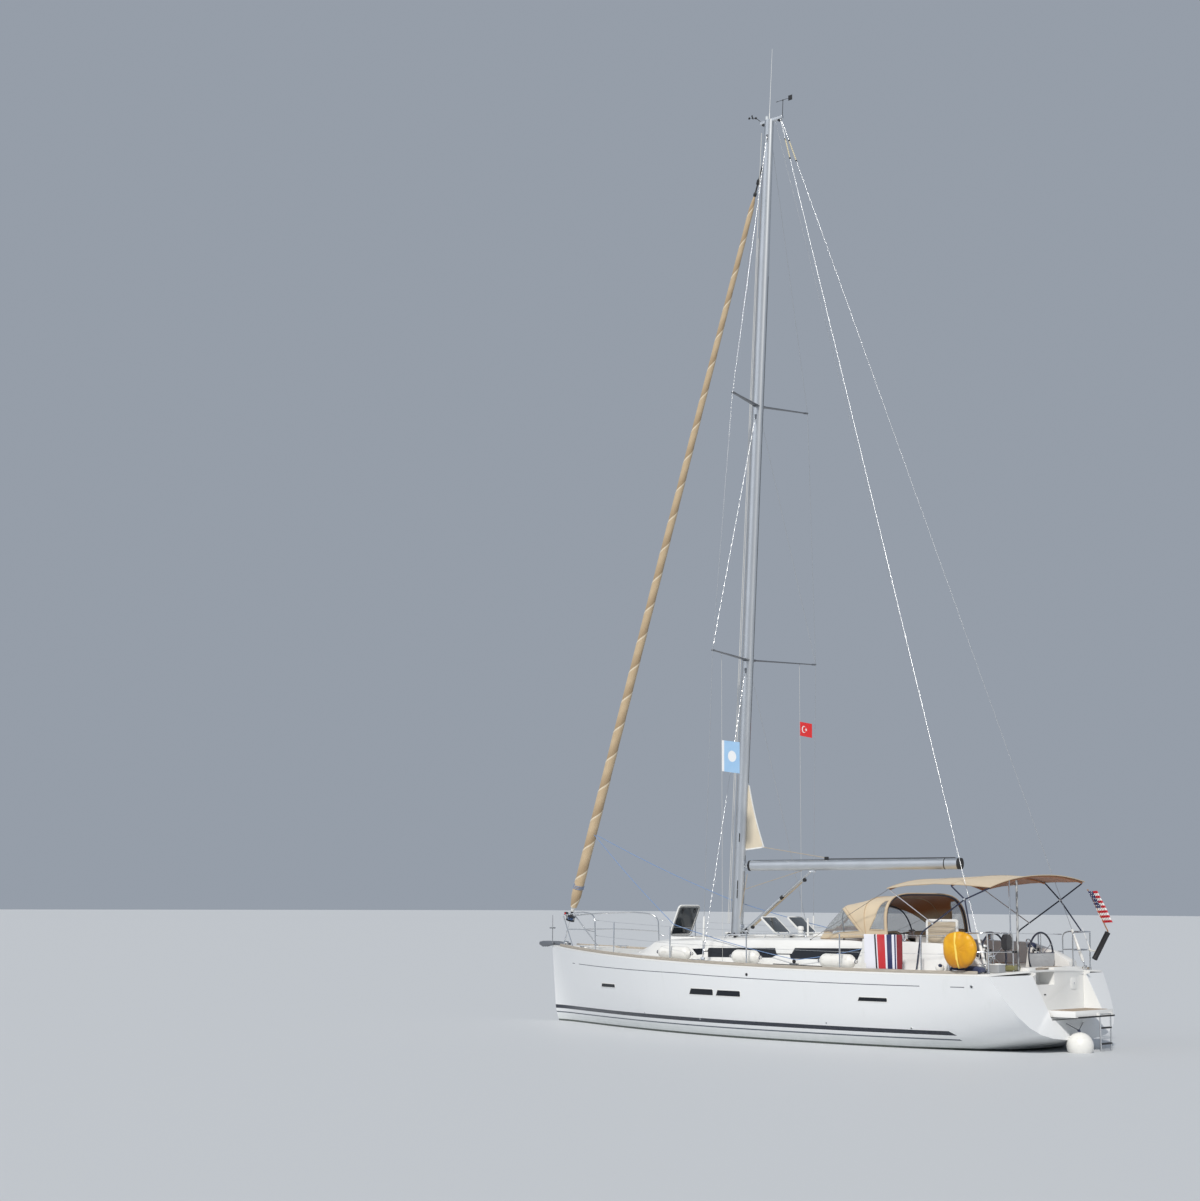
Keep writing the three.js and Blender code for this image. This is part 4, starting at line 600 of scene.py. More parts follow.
def finish_sail_cover():
    """The sun strip of the rolled sail: its edge winds up the roll as a spiral, with painted shadow just past each
    turn's edge and a painted highlight along the edge.
    """
    f = Finish((0.52, 0.40, 0.255), 0.82, Sheen_Weight=0.2)
    x, y, z = f.axes()
    along = (x - STAY_FOOT.x) * STAY_WAY.x + (z - STAY_FOOT.z) * STAY_WAY.z
    ahead = (x - STAY_FOOT.x) * STAY_WAY.z - (z - STAY_FOOT.z) * STAY_WAY.x
    angle = (y * -1).maths("ARCTAN2", y * -1, ahead)
    edge = (angle / math.tau + along / SPIRAL + 8).part()
    cloth = f.mix(f.grain(6, 5), (0.60, 0.465, 0.30), (0.48, 0.355, 0.215))
    # painted shadow: darkest just past each turn's edge, under the overhanging layer, lightening over half a turn
    lit = f.mix(edge.rise(0.0, 0.55), (0.36, 0.255, 0.15), cloth)
    # painted highlight: a pale band along each turn's raised edge
    f.paint(f.mix(edge.above(0.93), lit, (0.70, 0.60, 0.45)))
    f.bump(f.grain(30, 4, f.stretched((1, 1, 0.5))), 0.003, 0.6)
    return f


def finish_wheel_leather():
    f = Finish((0.016, 0.020, 0.040), 0.46)
    f.paint(f.mix(f.grain(9, 4), (0.012, 0.016, 0.036), (0.030, 0.036, 0.062)))
    f.bump(f.cells(260), 0.0006, 0.7)
    return f


def rope_finish(colour, fleck, pitch=520.0):
    f = Finish(colour, 0.78, Sheen_Weight=0.15)
    x, y, z = f.axes()
    lay = ((x + y * 0.8 + z * 0.7) * pitch).sine()
    f.paint(f.mix(lay.rise(0.2, 0.8) * 0.7, colour, fleck))
    f.bump(lay, 0.0009, 0.7)
    return f


def finish_vinyl_window():
    f = Finish((0.42, 0.45, 0.46), 0.10, Alpha=0.30, Coat_Weight=0.5)
    f.bump(f.grain(2.6, 3), 0.006, 0.35)
    f.material.surface_render_method = "BLENDED"
    return f


# Finishes that are one of the kinds above with its own values
PLAIN_FINISHES = {
    "drive_paint": partial(speckled, (0.20, 0.22, 0.24), 0.45, 0.14, 6, 0.0004, 70),
    "engine_paint": partial(speckled, (0.09, 0.17, 0.27), 0.42, 0.12, 7, 0.0005, 50),
    "black_plastic": partial(speckled, (0.018, 0.018, 0.020), 0.48, 0.25, 14, 0.0003, 160),
    "white_plastic": partial(speckled, (0.80, 0.80, 0.78), 0.38, 0.05, 8, 0.0001, 120),
    "grey_plastic": partial(speckled, (0.36, 0.37, 0.38), 0.45, 0.08, 8, 0.0002, 120),
    "furler_plastic": partial(speckled, (0.025, 0.026, 0.030), 0.35, 0.2, 10, 0.0002, 90, Metallic=0.3),
    "foil": partial(speckled, (0.42, 0.44, 0.46), 0.38, 0.1, 4, 0.0, Metallic=0.8),
    "navy_vinyl": partial(speckled, (0.018, 0.028, 0.075), 0.40, 0.2, 9, 0.0004, 60),
    "frame_tube": partial(speckled, (0.016, 0.022, 0.055), 0.42, 0.2, 20, 0.0002, 200, Coat_Weight=0.15),
    "red_lens": partial(speckled, (0.50, 0.012, 0.015), 0.18, 0.1, 12, 0.0, Coat_Weight=0.5),
    "green_lens": partial(speckled, (0.02, 0.30, 0.10), 0.18, 0.1, 12, 0.0, Coat_Weight=0.5),
    "clear_lens": partial(speckled, (0.66, 0.70, 0.72), 0.10, 0.04, 12, 0.0, Coat_Weight=0.6),
    "insulator": partial(speckled, (0.70, 0.62, 0.42), 0.40, 0.1, 12, 0.0003, 60),
    "yellow_strap": partial(speckled, (0.92, 0.66, 0.12), 0.5, 0.12, 20, 0.0004, 120),
    "rubber": partial(speckled, (0.018, 0.018, 0.02), 0.62, 0.10, 9.0, 0.0002, 300.0),
    "stainless": partial(metal_finish, (0.78, 0.79, 0.80), 0.19, (30, 30, 30), 0.00005, 0.07),
    "stainless_dull": partial(metal_finish, (0.30, 0.31, 0.33), 0.42, (30, 30, 30), 0.0003, 0.35),
    "spar_aluminium": partial(metal_finish, (0.68, 0.70, 0.72), 0.36, (55, 55, 0.8), 0.0001, 0.10),
    "bronze": partial(metal_finish, (0.58, 0.42, 0.20), 0.30, (12, 12, 12), 0.0004, 0.35),
    "spreader_paint": partial(metal_finish, (0.24, 0.25, 0.27), 0.45, (30, 3, 30), 0.0002, 0.15),
    "teak": partial(teak_finish, 0.052),
    "teak_sole": partial(teak_finish, 0.048),
    "toe_rail": partial(teak_finish, 4.0),
    "teak_slat": partial(teak_finish, 4.0, fresh=0.35),
    "teak_across": partial(teak_finish, 0.048, along_x=False, fresh=0.3),
    # the canvas's downward faces take a dark reddish-brown painted shade tone
    "canvas": partial(woven, (0.70, 0.575, 0.405), (0.63, 0.505, 0.345), under=(0.46, 0.18, 0.065)),
    "canvas_trim": partial(woven, (0.57, 0.445, 0.295), (0.50, 0.385, 0.25)),
    "sailcloth": partial(woven, (0.74, 0.655, 0.51), (0.66, 0.57, 0.43), 700, 0.7, 0.1),
    "sail_tape": partial(woven, (0.86, 0.86, 0.84), (0.80, 0.80, 0.77), 700, 0.65, 0.1),
    "navy_cloth": partial(woven, (0.020, 0.030, 0.085), (0.032, 0.044, 0.11), 800, 0.85, 0.3),
    # painted shade: the canopy underside's shaded dark brown, as a finish of its own
    "canvas_under": partial(woven, (0.46, 0.18, 0.065), (0.38, 0.145, 0.052)),
    "grey_cloth": partial(woven, (0.56, 0.57, 0.58), (0.47, 0.48, 0.50), 850, 0.88, 0.2),
    "black_cloth": partial(woven, (0.020, 0.020, 0.024), (0.030, 0.030, 0.034)),
    "olive_cloth": partial(woven, (0.20, 0.19, 0.07), (0.15, 0.14, 0.06)),
    "grey_strap": partial(woven, (0.20, 0.19, 0.18), (0.15, 0.145, 0.14)),
    "rope_white": partial(rope_finish, (0.74, 0.73, 0.69), (0.48, 0.47, 0.43)),
    "rope_tan": partial(rope_finish, (0.55, 0.44, 0.29), (0.35, 0.26, 0.16)),
    "rope_blue": partial(rope_finish, (0.10, 0.22, 0.48), (0.42, 0.52, 0.68)),
    "rope_black": partial(rope_finish, (0.022, 0.022, 0.026), (0.10, 0.10, 0.11)),
    "rudder_skin": finish_antifouling,
}


# Mesh helpers


def add_box(bm, x0, x1, y0, y1, z0, z1, turn=None):
    size = Vector((abs(x1 - x0), abs(y1 - y0), abs(z1 - z0)))
    centre = Vector(((x0 + x1) / 2, (y0 + y1) / 2, (z0 + z1) / 2))
    spot = Matrix.Translation(centre)
    if turn is not None:
        spot = spot @ turn.to_4x4()
    bmesh.ops.create_cube(bm, size=1, matrix=spot @ Matrix.Diagonal((*size, 1)))


def pointing(axis):
    """A turn that takes +Z to the axis."""
    return Vector(axis).to_track_quat("Z", "Y").to_matrix().to_4x4()


def add_rod(bm, start, end, radius, far=None, sides=18):
    a, b = Vector(start), Vector(end)
    spot = Matrix.Translation((a + b) / 2) @ pointing(b - a)
    bmesh.ops.create_cone(
        bm, cap_ends=True, segments=sides, radius1=radius,
        radius2=radius if far is None else far, depth=(b - a).length, matrix=spot,
    )


def add_ball(bm, centre, radius, squash=(1, 1, 1), rings=12):
    spot = Matrix.Translation(centre) @ Matrix.Diagonal((*[radius * s for s in squash], 1))
    bmesh.ops.create_uvsphere(bm, u_segments=rings * 2, v_segments=rings, radius=1, matrix=spot)


def add_sweep(bm, points, radius, sides=10, closed=False, widths=None, squash=None):
    """A round section drawn along the points; widths scales it point by point, squash flattens it."""
    path = [Vector(p) for p in points]
    if closed:
        path = path + [path[0].copy()]
    headings = []
    for i, p in enumerate(path):
        ahead = path[min(i + 1, len(path) - 1)] - path[max(i - 1, 0)]
        if closed and i in (0, len(path) - 1):
            ahead = path[1] - path[-2]
        headings.append(ahead.normalized())
    first = headings[0]
    side = UP if abs(first.z) < 0.9 else Vector((1, 0, 0))
    u = (side - first * side.dot(first)).normalized()
    turn = Matrix((first.cross(u), u, first)).transposed()
    scale = Matrix.Diagonal((*(squash or (1, 1)), 1)).to_4x4()
    ring = None
    edges = []
    start_edges = []
    last = None
    for i, p in enumerate(path):
        if i:
            turn = headings[i - 1].rotation_difference(headings[i]).to_matrix() @ turn
        k = widths[i] if widths else 1.0
        spot = Matrix.Translation(p) @ turn.to_4x4() @ scale @ Matrix.Scale(k, 4)
        if ring is None:
            ring = bmesh.ops.create_circle(bm, segments=sides, radius=radius, matrix=spot)["verts"]
            members = set(ring)
            edges = [e for e in {e for v in ring for e in v.link_edges} if set(e.verts) <= members]
            start_edges = edges
        else:
            made = bmesh.ops.extrude_edge_only(bm, edges=edges)["geom"]
            ring = verts_of(made)
            members = set(ring)
            edges = [g for g in made if isinstance(g, bmesh.types.BMEdge) and set(g.verts) <= members]
            bmesh.ops.transform(bm, matrix=spot @ last.inverted(), verts=ring)
        last = spot
    if closed:
        bmesh.ops.remove_doubles(bm, verts=list({v for e in edges + start_edges for v in e.verts}),
                                 dist=radius * 0.2)
    else:
        bmesh.ops.contextual_create(bm, geom=start_edges)
        bmesh.ops.contextual_create(bm, geom=edges)


def rounded(points, bend, steps=5):
    """The run of points with each inner corner turned into an arc of that radius."""
    path = [Vector(p) for p in points]
    line = [path[0]]
    for before, corner, after in zip(path, path[1:], path[2:]):
        back, ahead = (before - corner), (after - corner)
        reach = min(bend, back.length * 0.48, ahead.length * 0.48)
        a = corner + back.normalized() * reach
        b = corner + ahead.normalized() * reach
        for i in range(steps + 1):
            t = i / steps
            line.append(a * (1 - t) ** 2 + corner * 2 * t * (1 - t) + b * t * t)
    line.append(path[-1])
    return line


def add_lathe(bm, profile, base, axis, steps=28):
    """Turns points of (radius, height) about the axis through base."""
    spot = Matrix.Translation(base) @ pointing(axis)
    rows = [bm.verts.new(spot @ Vector((r, 0, h))) for r, h in profile]
    edges = [bm.edges.new(pair) for pair in zip(rows, rows[1:])]
    bmesh.ops.spin(
        bm, geom=rows + edges, cent=Vector(base), axis=Vector(axis).normalized(),
        angle=math.tau, steps=steps, use_merge=True,
    )


def soften(bm, width, angle=28.0, segments=2):
    """Rounds every edge sharper than the angle."""
    sharp = [e for e in bm.edges if len(e.link_faces) == 2 and e.calc_face_angle(0) > math.radians(angle)]
    if sharp:
        bmesh.ops.bevel(
            bm, geom=sharp, offset=width, offset_type="OFFSET", segments=segments, profile=0.5,
            affect="EDGES", clamp_overlap=True, material=-1,
        )


def thicken(bm, thickness):
    bm.normal_update()
    bmesh.ops.solidify(bm, geom=bm.faces[:], thickness=thickness)


def grid(columns, rows, half=0.5):
    """A flat square of columns and rows about the origin."""
    bm = bmesh.new()
    bmesh.ops.create_grid(bm, x_segments=columns, y_segments=rows, size=half)
    return bm


def move(bm, matrix):
    bmesh.ops.transform(bm, matrix=matrix, verts=bm.verts)


def cut_off(bm, point, way):
    """Takes away what lies beyond the plane through point."""
    geom = bm.verts[:] + bm.edges[:] + bm.faces[:]
    bmesh.ops.bisect_plane(bm, geom=geom, plane_co=point, plane_no=way, clear_outer=True)


def verts_of(made):
    return [part for part in made if isinstance(part, bmesh.types.BMVert)]


def points_between(a, b, steps):
    return [a.lerp(b, i / steps) for i in range(steps + 1)]


def uneven(x, y, z):
    """A soft unevenness between -1 and 1 that is the same each time at one place."""
    return noise.noise(Vector((x, y, z)))


def shares(steps):
    """Even steps from -1 to 1."""
    return [i / steps * 2 - 1 for i in range(steps + 1)]


def merge(bm, other):
    """Adds the other bmesh's faces to this one and frees it."""
    scratch = bpy.data.meshes.new("scratch")
    other.to_mesh(scratch)
    other.free()
    bm.from_mesh(scratch)
    bpy.data.meshes.remove(scratch)


def add_block(bm, x0, x1, y0, y1, z0, z1, edge, segments=2):
    """A box with rounded edges."""
    part = bmesh.new()
    add_box(part, x0, x1, y0, y1, z0, z1)
    soften(part, edge, 30, segments)
    merge(bm, part)


BODY_OF = {n: body for body, nodes in frame["record"]["behaviour"]["bodies"].items() for n in nodes}
SLOT_OF = {row["node"]: row["material_slot"] for row in frame["record"]["subparts"]}


def piece(name, bm, look, body="yacht", slot=None, stands_for=(), crease=35.0, weld=1e-5, turn_out=True):
    """Makes an object of the bmesh, with its finish, smooth between edges sharper than crease."""
    if weld:
        bmesh.ops.remove_doubles(bm, verts=bm.verts, dist=weld)
    if turn_out:
        bmesh.ops.recalc_face_normals(bm, faces=bm.faces)
    for face in bm.faces:
        face.smooth = True
    for edge in bm.edges:
        if len(edge.link_faces) == 2 and edge.calc_face_angle(0) > math.radians(crease):
            edge.smooth = False
    mesh = bpy.data.meshes.new(name)
    bm.to_mesh(mesh)
    bm.free()
    mesh.materials.append(finish(look))
    obj = bpy.data.objects.new(name, mesh)
    bpy.context.scene.collection.objects.link(obj)
    if body:
        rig.ride(obj, body)
    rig.slot(obj, slot or (look if look in SLOTS else "stainless"))
    if stands_for:
        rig.replaces(obj, *stands_for)
    return obj


SLOTS = {row["slot"] for row in frame["record"]["materials"]}


def node_mesh(node, flat=0.0):
    """A merged copy of a node's mesh; faces that lie within flat degrees of each other are joined."""
    bm = bmesh.new()
    bm.from_mesh(frame["nodes"][node].data)
    bmesh.ops.remove_doubles(bm, verts=bm.verts, dist=3e-5)
    if flat:
        bmesh.ops.dissolve_limit(bm, angle_limit=math.radians(flat), verts=bm.verts, edges=bm.edges)
    return bm


def stand_in(name, node, bm):
    """Shows the mesh in place of the node, in the node's own finish."""
    piece(name, bm, SLOT_OF[node], BODY_OF[node], SLOT_OF[node], (node,), 32, weld=0, turn_out=False)


def cover_of(node):
    """A ray target made of the node, to set gear down on."""
    mesh = frame["nodes"][node].data
    return BVHTree.FromPolygons([v.co.copy() for v in mesh.vertices],
                                [list(p.vertices) for p in mesh.polygons])


DECK = cover_of("deck_moulding")
HULL = cover_of("hull_shell")
ABOVE_DECK = 2.6  # where rays start: over every part of the deck, outside the hull, behind the stern
BESIDE_HULL = 4
BEHIND_STERN = -9.0


def deck_at(x, y):
    """Height and normal of the deck under a point."""
    hit, normal = DECK.ray_cast(Vector((x, y, ABOVE_DECK)), -UP)[:2]
    if hit is None:
        raise ValueError(f"no deck at {x}, {y}")
    return hit.z, normal


def side_at(x, z, side=PORT):
    """Point and normal of the hull's side at a height."""
    return HULL.ray_cast(Vector((x, side * BESIDE_HULL, z)), Vector((0, -side, 0)))[:2]


# Nodes whose shape is right: merged copies with softly rounded edges

FLAT = 0.4  # degrees: faces that lie this close to one plane are joined

REDRESSED = {
    # node: edge radius
    "deck_moulding": 0.006,
    "windows_port": 0.0,
    "windows_starboard": 0.0,
    "toe_rail_port": 0.006,
    "toe_rail_starboard": 0.006,
    "anchor_locker_lid": 0.005,
    "rudder": 0.0,
    "keel": 0.0,
    "saildrive_leg": 0.0,
    "propeller": 0.0,
    "engine_block": 0.02,
    "cabin_joinery": 0.004,
    "companionway_hatch": 0.007,
    "swim_platform": 0.008,
    "bow_roller": 0.003,
}


def main_shapes():
    stand_in("hull", "hull_shell", node_mesh("hull_shell"))
    for node, radius in REDRESSED.items():
        bm = node_mesh(node, FLAT if radius else 0.0)
        if radius:
            soften(bm, radius)
        stand_in(node + "_shown", node, bm)


def floor():
    bm = grid(1, 1, FLOOR_HALF)
    mesh = bpy.data.meshes.new("floor")
    bm.to_mesh(mesh)
    bm.free()
    look = Finish((0.62, 0.64, 0.66), 0.55).material
    look.name = "floor"
    mesh.materials.append(look)
    obj = bpy.data.objects.new("floor", mesh)
    bpy.context.scene.collection.objects.link(obj)
    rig.stage(obj)


def studio():
    bpy.context.scene.view_settings.view_transform = "Standard"
    world = bpy.data.worlds.new("studio")
    bpy.context.scene.world = world
    world.use_nodes = True
    sky = world.node_tree.nodes["Background"]
    sky.inputs[0].default_value = SKY_COLOUR
    sky.inputs[1].default_value = SKY_STRENGTH
    for sun in SUNS:
        make_sun(*sun)


# Rails and lifelines

TUBE = 0.0125
STANCHIONS = (3.225, 1.42, -0.56, -2.60, -4.19)
WIRE_HEIGHTS = (0.310, 0.605)  # of the lifelines above the deck
PULPIT_FOOT = 3.95
PUSHPIT_FOOT, PUSHPIT_CORNER, PUSHPIT_AFT = -4.70, -5.10, -5.385
RAIL_TOP = 1.902
SCREW = [(0, 0), (0.0042, 0), (0.003, 0.002), (0, 0.0022)]


def middle_of(node, x, side, reach=0.02):
    """Distance off the centreline of what the node has at that x."""
    ys = [v.co.y for v in frame["nodes"][node].data.vertices if abs(v.co.x - x) < reach and v.co.y * side > 0]
    return (min(ys) + max(ys)) / 2


def rail_y(x, side):
    if x > 3.9:
        return middle_of("pulpit", PULPIT_FOOT, side)
    if x < -4.5:
        return middle_of("pushpit_" + side_name(side), PUSHPIT_FOOT, side)
    return middle_of("lifelines_" + side_name(side), x, side, 0.034)


def corner_y(side):
    """Distance off the centreline where the pushpit's rail turns inboard."""
    return abs(middle_of("pushpit_" + side_name(side), PUSHPIT_CORNER, side, 0.015))


def side_name(side):
    return "port" if side > 0 else "starboard"


def add_foot(bm, x, y):
    """A round flange with a stepped socket and three screws, on the deck under the point."""
    radius = 0.028
    z = deck_at(x, y)[0]
    add_lathe(bm, [(0, 0), (radius, 0), (radius, 0.004), (radius * 0.72, 0.008), (TUBE + 0.004, 0.010),
                   (TUBE + 0.004, 0.030), (TUBE + 0.001, 0.033), (0, 0.033)], (x, y, z + 0.001), UP, 24)
    for i in range(3):
        a = i * math.tau / 3 + 0.4
        spot = (x + radius * 0.8 * math.cos(a), y + radius * 0.8 * math.sin(a), z + 0.0065)
        add_lathe(bm, SCREW, spot, UP, 10)


def lifelines(side):
    name = side_name(side)
    posts = bmesh.new()
    runs = [(PULPIT_FOOT, rail_y(PULPIT_FOOT, side))]
    for x in STANCHIONS:
        y = rail_y(x, side)
        runs.append((x, y))
        z = deck_at(x, y)[0]
        add_lathe(posts, [(0, 0), (TUBE, 0), (TUBE, 0.606), (TUBE * 0.8, 0.613), (0, 0.615)], (x, y, z), UP,
                  20)
        for h in WIRE_HEIGHTS:
            add_rod(posts, (x - 0.017, y, z + h), (x + 0.017, y, z + h), 0.0062, sides=14)
        add_block(posts, x - 0.032, x + 0.032, y - 0.022, y + 0.022, z + 0.0005, z + 0.007, 0.0025)
        add_lathe(posts, [(0, 0.006), (0.021, 0.006), (0.0185, 0.011), (0.0165, 0.034), (0.0145, 0.036),
                          (0, 0.036)],
                  (x, y, z), UP, 22)
        add_rod(posts, (x, y - side * 0.012, z + 0.022), (x, y - side * 0.021, z + 0.022), 0.0035, sides=8)
        for dx in (-0.026, 0.026):
            add_lathe(posts, SCREW, (x + dx, y, z + 0.0065), UP, 10)
    piece("stanchions_" + name, posts, "stainless", stands_for=("lifelines_" + name,))
    runs.append((PUSHPIT_FOOT, rail_y(PUSHPIT_FOOT, side)))
    wires = bmesh.new()
    ends = bmesh.new()
    for h in WIRE_HEIGHTS:
        line = [Vector((x, y, deck_at(x, y)[0] + h)) for x, y in runs]
        line[0].x -= 0.024
        line[-1].x += 0.024
        for a, b in zip(line, line[1:]):
            add_sweep(wires, points_between(a, b, 6), 0.0027, 8)
        for end, inward, long in ((line[0], line[1], 0.10), (line[-1], line[-2], 0.17)):
            along = (inward - end).normalized()
            add_lathe(ends, [(0, -0.012), (0.006, -0.012), (0.006, 0.0), (0.0085, 0.006),
                             (0.0085, long * 0.35), (0.0052, long * 0.4), (0.0052, long),
                             (0.0035, long + 0.01), (0, long + 0.01)], end, along, 12)
            add_lathe(ends, [(0, 0), (0.0095, 0), (0.0095, 0.008), (0, 0.008)], end + along * (long * 0.36),
                      along, 6)
    piece("lifeline_wires_" + name, wires, "rigging_wire")
    piece("lifeline_ends_" + name, ends, "stainless")


LAMP_FOOT = Vector((5.645, 0, 2.102))


def pulpit():
    bm = bmesh.new()
    for s in BOTH_SIDES:
        y = s * abs(rail_y(PULPIT_FOOT, s))
        foot = deck_at(PULPIT_FOOT, y)[0]
        inboard = abs(y)
        add_sweep(bm, rounded([
            (PULPIT_FOOT, y, foot + 0.005), (PULPIT_FOOT + 0.02, y, 1.99),
            (4.02, s * (inboard - 0.025), 2.09), (4.15, s * (inboard - 0.08), 2.14),
            (4.48, s * (inboard - 0.19), 2.165), (5.05, s * 0.400, 2.14), (5.56, s * 0.170, 2.095),
            (5.62, s * 0.06, 2.096), (5.62, 0, 2.096),
        ], 0.07), TUBE, 14)
        low = deck_at(5.09, s * 0.372)[0]
        add_sweep(bm, [(5.553, s * 0.173, 2.085), (5.09, s * 0.372, low + 0.008)], TUBE, 14)
        add_sweep(bm, rounded([(PULPIT_FOOT + 0.012, y, 1.79), (4.60, s * 0.610, 1.83),
                               (5.33, s * 0.268, 1.82)], 0.3),
                  TUBE * 0.8, 12)
        add_foot(bm, PULPIT_FOOT, y)
        add_foot(bm, 5.09, s * 0.372)
    add_sweep(bm, [(5.628, 0, 2.096), (5.636, 0, 2.075), (5.636, 0, 2.06)], 0.006, 8)
    piece("pulpit_rail", bm, "stainless", stands_for=("pulpit",))
    lamp = bmesh.new()
    add_box(lamp, 5.612, 5.642, -0.026, 0.026, 2.094, 2.104)
    soften(lamp, 0.003, 30, 2)
    add_lathe(lamp, [(0, 0), (0.034, 0), (0.036, 0.004), (0.034, 0.010), (0, 0.010)], LAMP_FOOT + UP * 0.002,
              UP, 24)
    add_lathe(lamp, [(0, 0.050), (0.037, 0.050), (0.035, 0.058), (0.02, 0.063), (0, 0.064)], LAMP_FOOT, UP,
              24)
    add_box(lamp, 5.605, 5.622, -0.03, 0.03, 2.112, 2.154)
    piece("bow_lamp_body", lamp, "black_plastic")
    for s, look in ((PORT, "red_lens"), (STARBOARD, "green_lens")):
        lens = bmesh.new()
        add_lathe(lens, [(0.0335, 0.012), (0.0335, 0.050)], LAMP_FOOT, UP, 36)
        cut_off(lens, (0, 0.0006 * s, 0), (0, -s, 0))
        thicken(lens, 0.002)
        piece("bow_lamp_lens_" + side_name(s), lens, look, slot="black_plastic")


def pushpit(side):
    s = side
    bm = bmesh.new()
    y0 = abs(rail_y(PUSHPIT_FOOT, s))
    y1 = corner_y(s)
    foot = deck_at(PUSHPIT_FOOT, s * y0)[0]
    inner = deck_at(PUSHPIT_AFT, s * 0.95)[0]
    add_sweep(bm, rounded([
        (PUSHPIT_FOOT, s * y0, foot + 0.005), (PUSHPIT_FOOT, s * y0, 1.80),
        (PUSHPIT_FOOT - 0.03, s * y0, 1.87), (PUSHPIT_FOOT - 0.11, s * (y0 - 0.004), 1.90),
        (PUSHPIT_CORNER, s * y1, RAIL_TOP), (-5.27, s * 1.69, RAIL_TOP), (-5.355, s * 1.60, RAIL_TOP),
        (PUSHPIT_AFT, s * 1.48, 1.90), (PUSHPIT_AFT, s * 0.995, 1.896), (PUSHPIT_AFT, s * 0.962, 1.872),
        (PUSHPIT_AFT, s * 0.95, 1.80), (PUSHPIT_AFT, s * 0.95, inner + 0.005),
    ], 0.06), TUBE, 14)
    add_sweep(bm, [(-5.330, s * 1.626, 1.895), (-5.330, s * 1.60, deck_at(-5.33, s * 1.6)[0] + 0.005)], TUBE,
              14)
    add_sweep(bm, rounded([
        (PUSHPIT_FOOT, s * y0, 1.59), (PUSHPIT_CORNER, s * y1, 1.60), (-5.333, s * 1.614, 1.60),
        (PUSHPIT_AFT, s * 1.42, 1.598), (PUSHPIT_AFT, s * 0.951, 1.595),
    ], 0.10), TUBE * 0.8, 12)
    for x, y in ((PUSHPIT_FOOT, y0), (-5.33, 1.60), (PUSHPIT_AFT, 0.95)):
        add_foot(bm, x, s * y)
    piece("pushpit_rail_" + side_name(s), bm, "stainless", stands_for=("pushpit_" + side_name(s),))


POLE_SPOT = (-5.408, 0.83)


def grey_pole():
    """The worn steel pole in the port corner, clamped to the rail."""
    pole = bmesh.new()
    z = deck_at(*POLE_SPOT)[0]
    add_lathe(pole, [(0, 0.001), (0.0178, 0.001), (0.0178, 2.74 - z), (0.015, 2.757 - z), (0, 2.76 - z)],
              (*POLE_SPOT, z), UP, 24)
    for h in (0.30, 0.92, 1.30):
        add_lathe(pole, [(0.0178, 0), (0.0205, 0.002), (0.0205, 0.016), (0.0178, 0.018)], (*POLE_SPOT, z + h),
                  UP, 24)
    piece("grey_pole", pole, "worn_pole", slot="frame_tube")
    clamp = bmesh.new()
    for y in (0.845, 0.935):
        add_box(clamp, -5.406, -5.374, y, y + 0.03, 1.578, 1.612)
    add_box(clamp, -5.402, -5.380, 0.84, 0.955, 1.588, 1.602)
    soften(clamp, 0.003, 30, 2)
    piece("pole_clamp", clamp, "black_plastic")


HOLDER_FOOT, HOLDER_TOP = Vector((-5.440, -1.560, 1.440)), Vector((-5.690, -1.600, 1.900))


def staff_holder():
    """The tube that holds the ensign's staff, its ties, and the whip aerial beside it."""
    holder = bmesh.new()
    along = (HOLDER_TOP - HOLDER_FOOT).normalized()
    run = (HOLDER_TOP - HOLDER_FOOT).length
    add_lathe(holder, [(0, 0), (0.046, 0.001), (0.048, 0.006), (0.048, 0.03), (0.0455, 0.034),
                       (0.0455, run - 0.03), (0.048, run - 0.026), (0.048, run - 0.004), (0.030, run),
                       (0.028, run - 0.05), (0, run - 0.05)],
              HOLDER_FOOT, along, 28)
    piece("staff_holder", holder, "black_plastic")
    ties = bmesh.new()
    add_sweep(ties, [(-5.366, -1.503, 1.600), (-5.43, -1.538, 1.585), (-5.488, -1.566, 1.565)], 0.012, 10)
    piece("holder_ties", ties, "rope_white", slot="sailcloth")
    aerial = bmesh.new()
    a, b = Vector((-5.400, -1.516, 1.570)), Vector((-5.225, -1.560, 1.960))
    add_rod(aerial, a, a.lerp(b, 0.28), 0.0088, 0.0088, 16)
    add_rod(aerial, a.lerp(b, 0.26), b, 0.0062, 0.0035, 14)
    add_rod(aerial, a.lerp(b, 0.10), a.lerp(b, 0.18), 0.0105, sides=16)
    piece("whip_aerial", aerial, "white_plastic", slot="black_plastic")


# Mast, boom and standing rigging

MAST_FORE, MAST_SIDE, MAST_TOP = 0.130, 0.078, 17.56  # half-lengths of its section, and its height
LOWER = {"z": 6.94, "reach": 1.615, "clear": 0.0011}
UPPER = {"z": 11.85, "reach": 1.195, "clear": 0.0027}
SWEEP = 0.268  # radians that the spreaders point aft
WIRE = 0.005
BOOM_Z, BOOM_END = 3.055, -3.82
BOOM_HALF = 0.0965
MAST_FOOT_X, MAST_FOOT_Z, MAST_RAKE = 1.184, 1.7, 0.057  # it leans aft by the rake for each metre of height
GOOSENECK_REACH = 0.171  # from the middle of the mast aft to the pins of boom and vang
BOOM_REACH = 0.231
VANG_Z = 1.862


def mast_x(z):
    return MAST_FOOT_X - MAST_RAKE * (z - MAST_FOOT_Z)


def pin_x(z):
    return mast_x(z) - GOOSENECK_REACH


def mast_scale(z):
    if z < 14.5:
        return 1.0
    if z < 16.9:
        return 1.0 - 0.14 * (z - 14.5) / 2.4
    return 0.86 - 0.06 * (z - 16.9) / 0.66


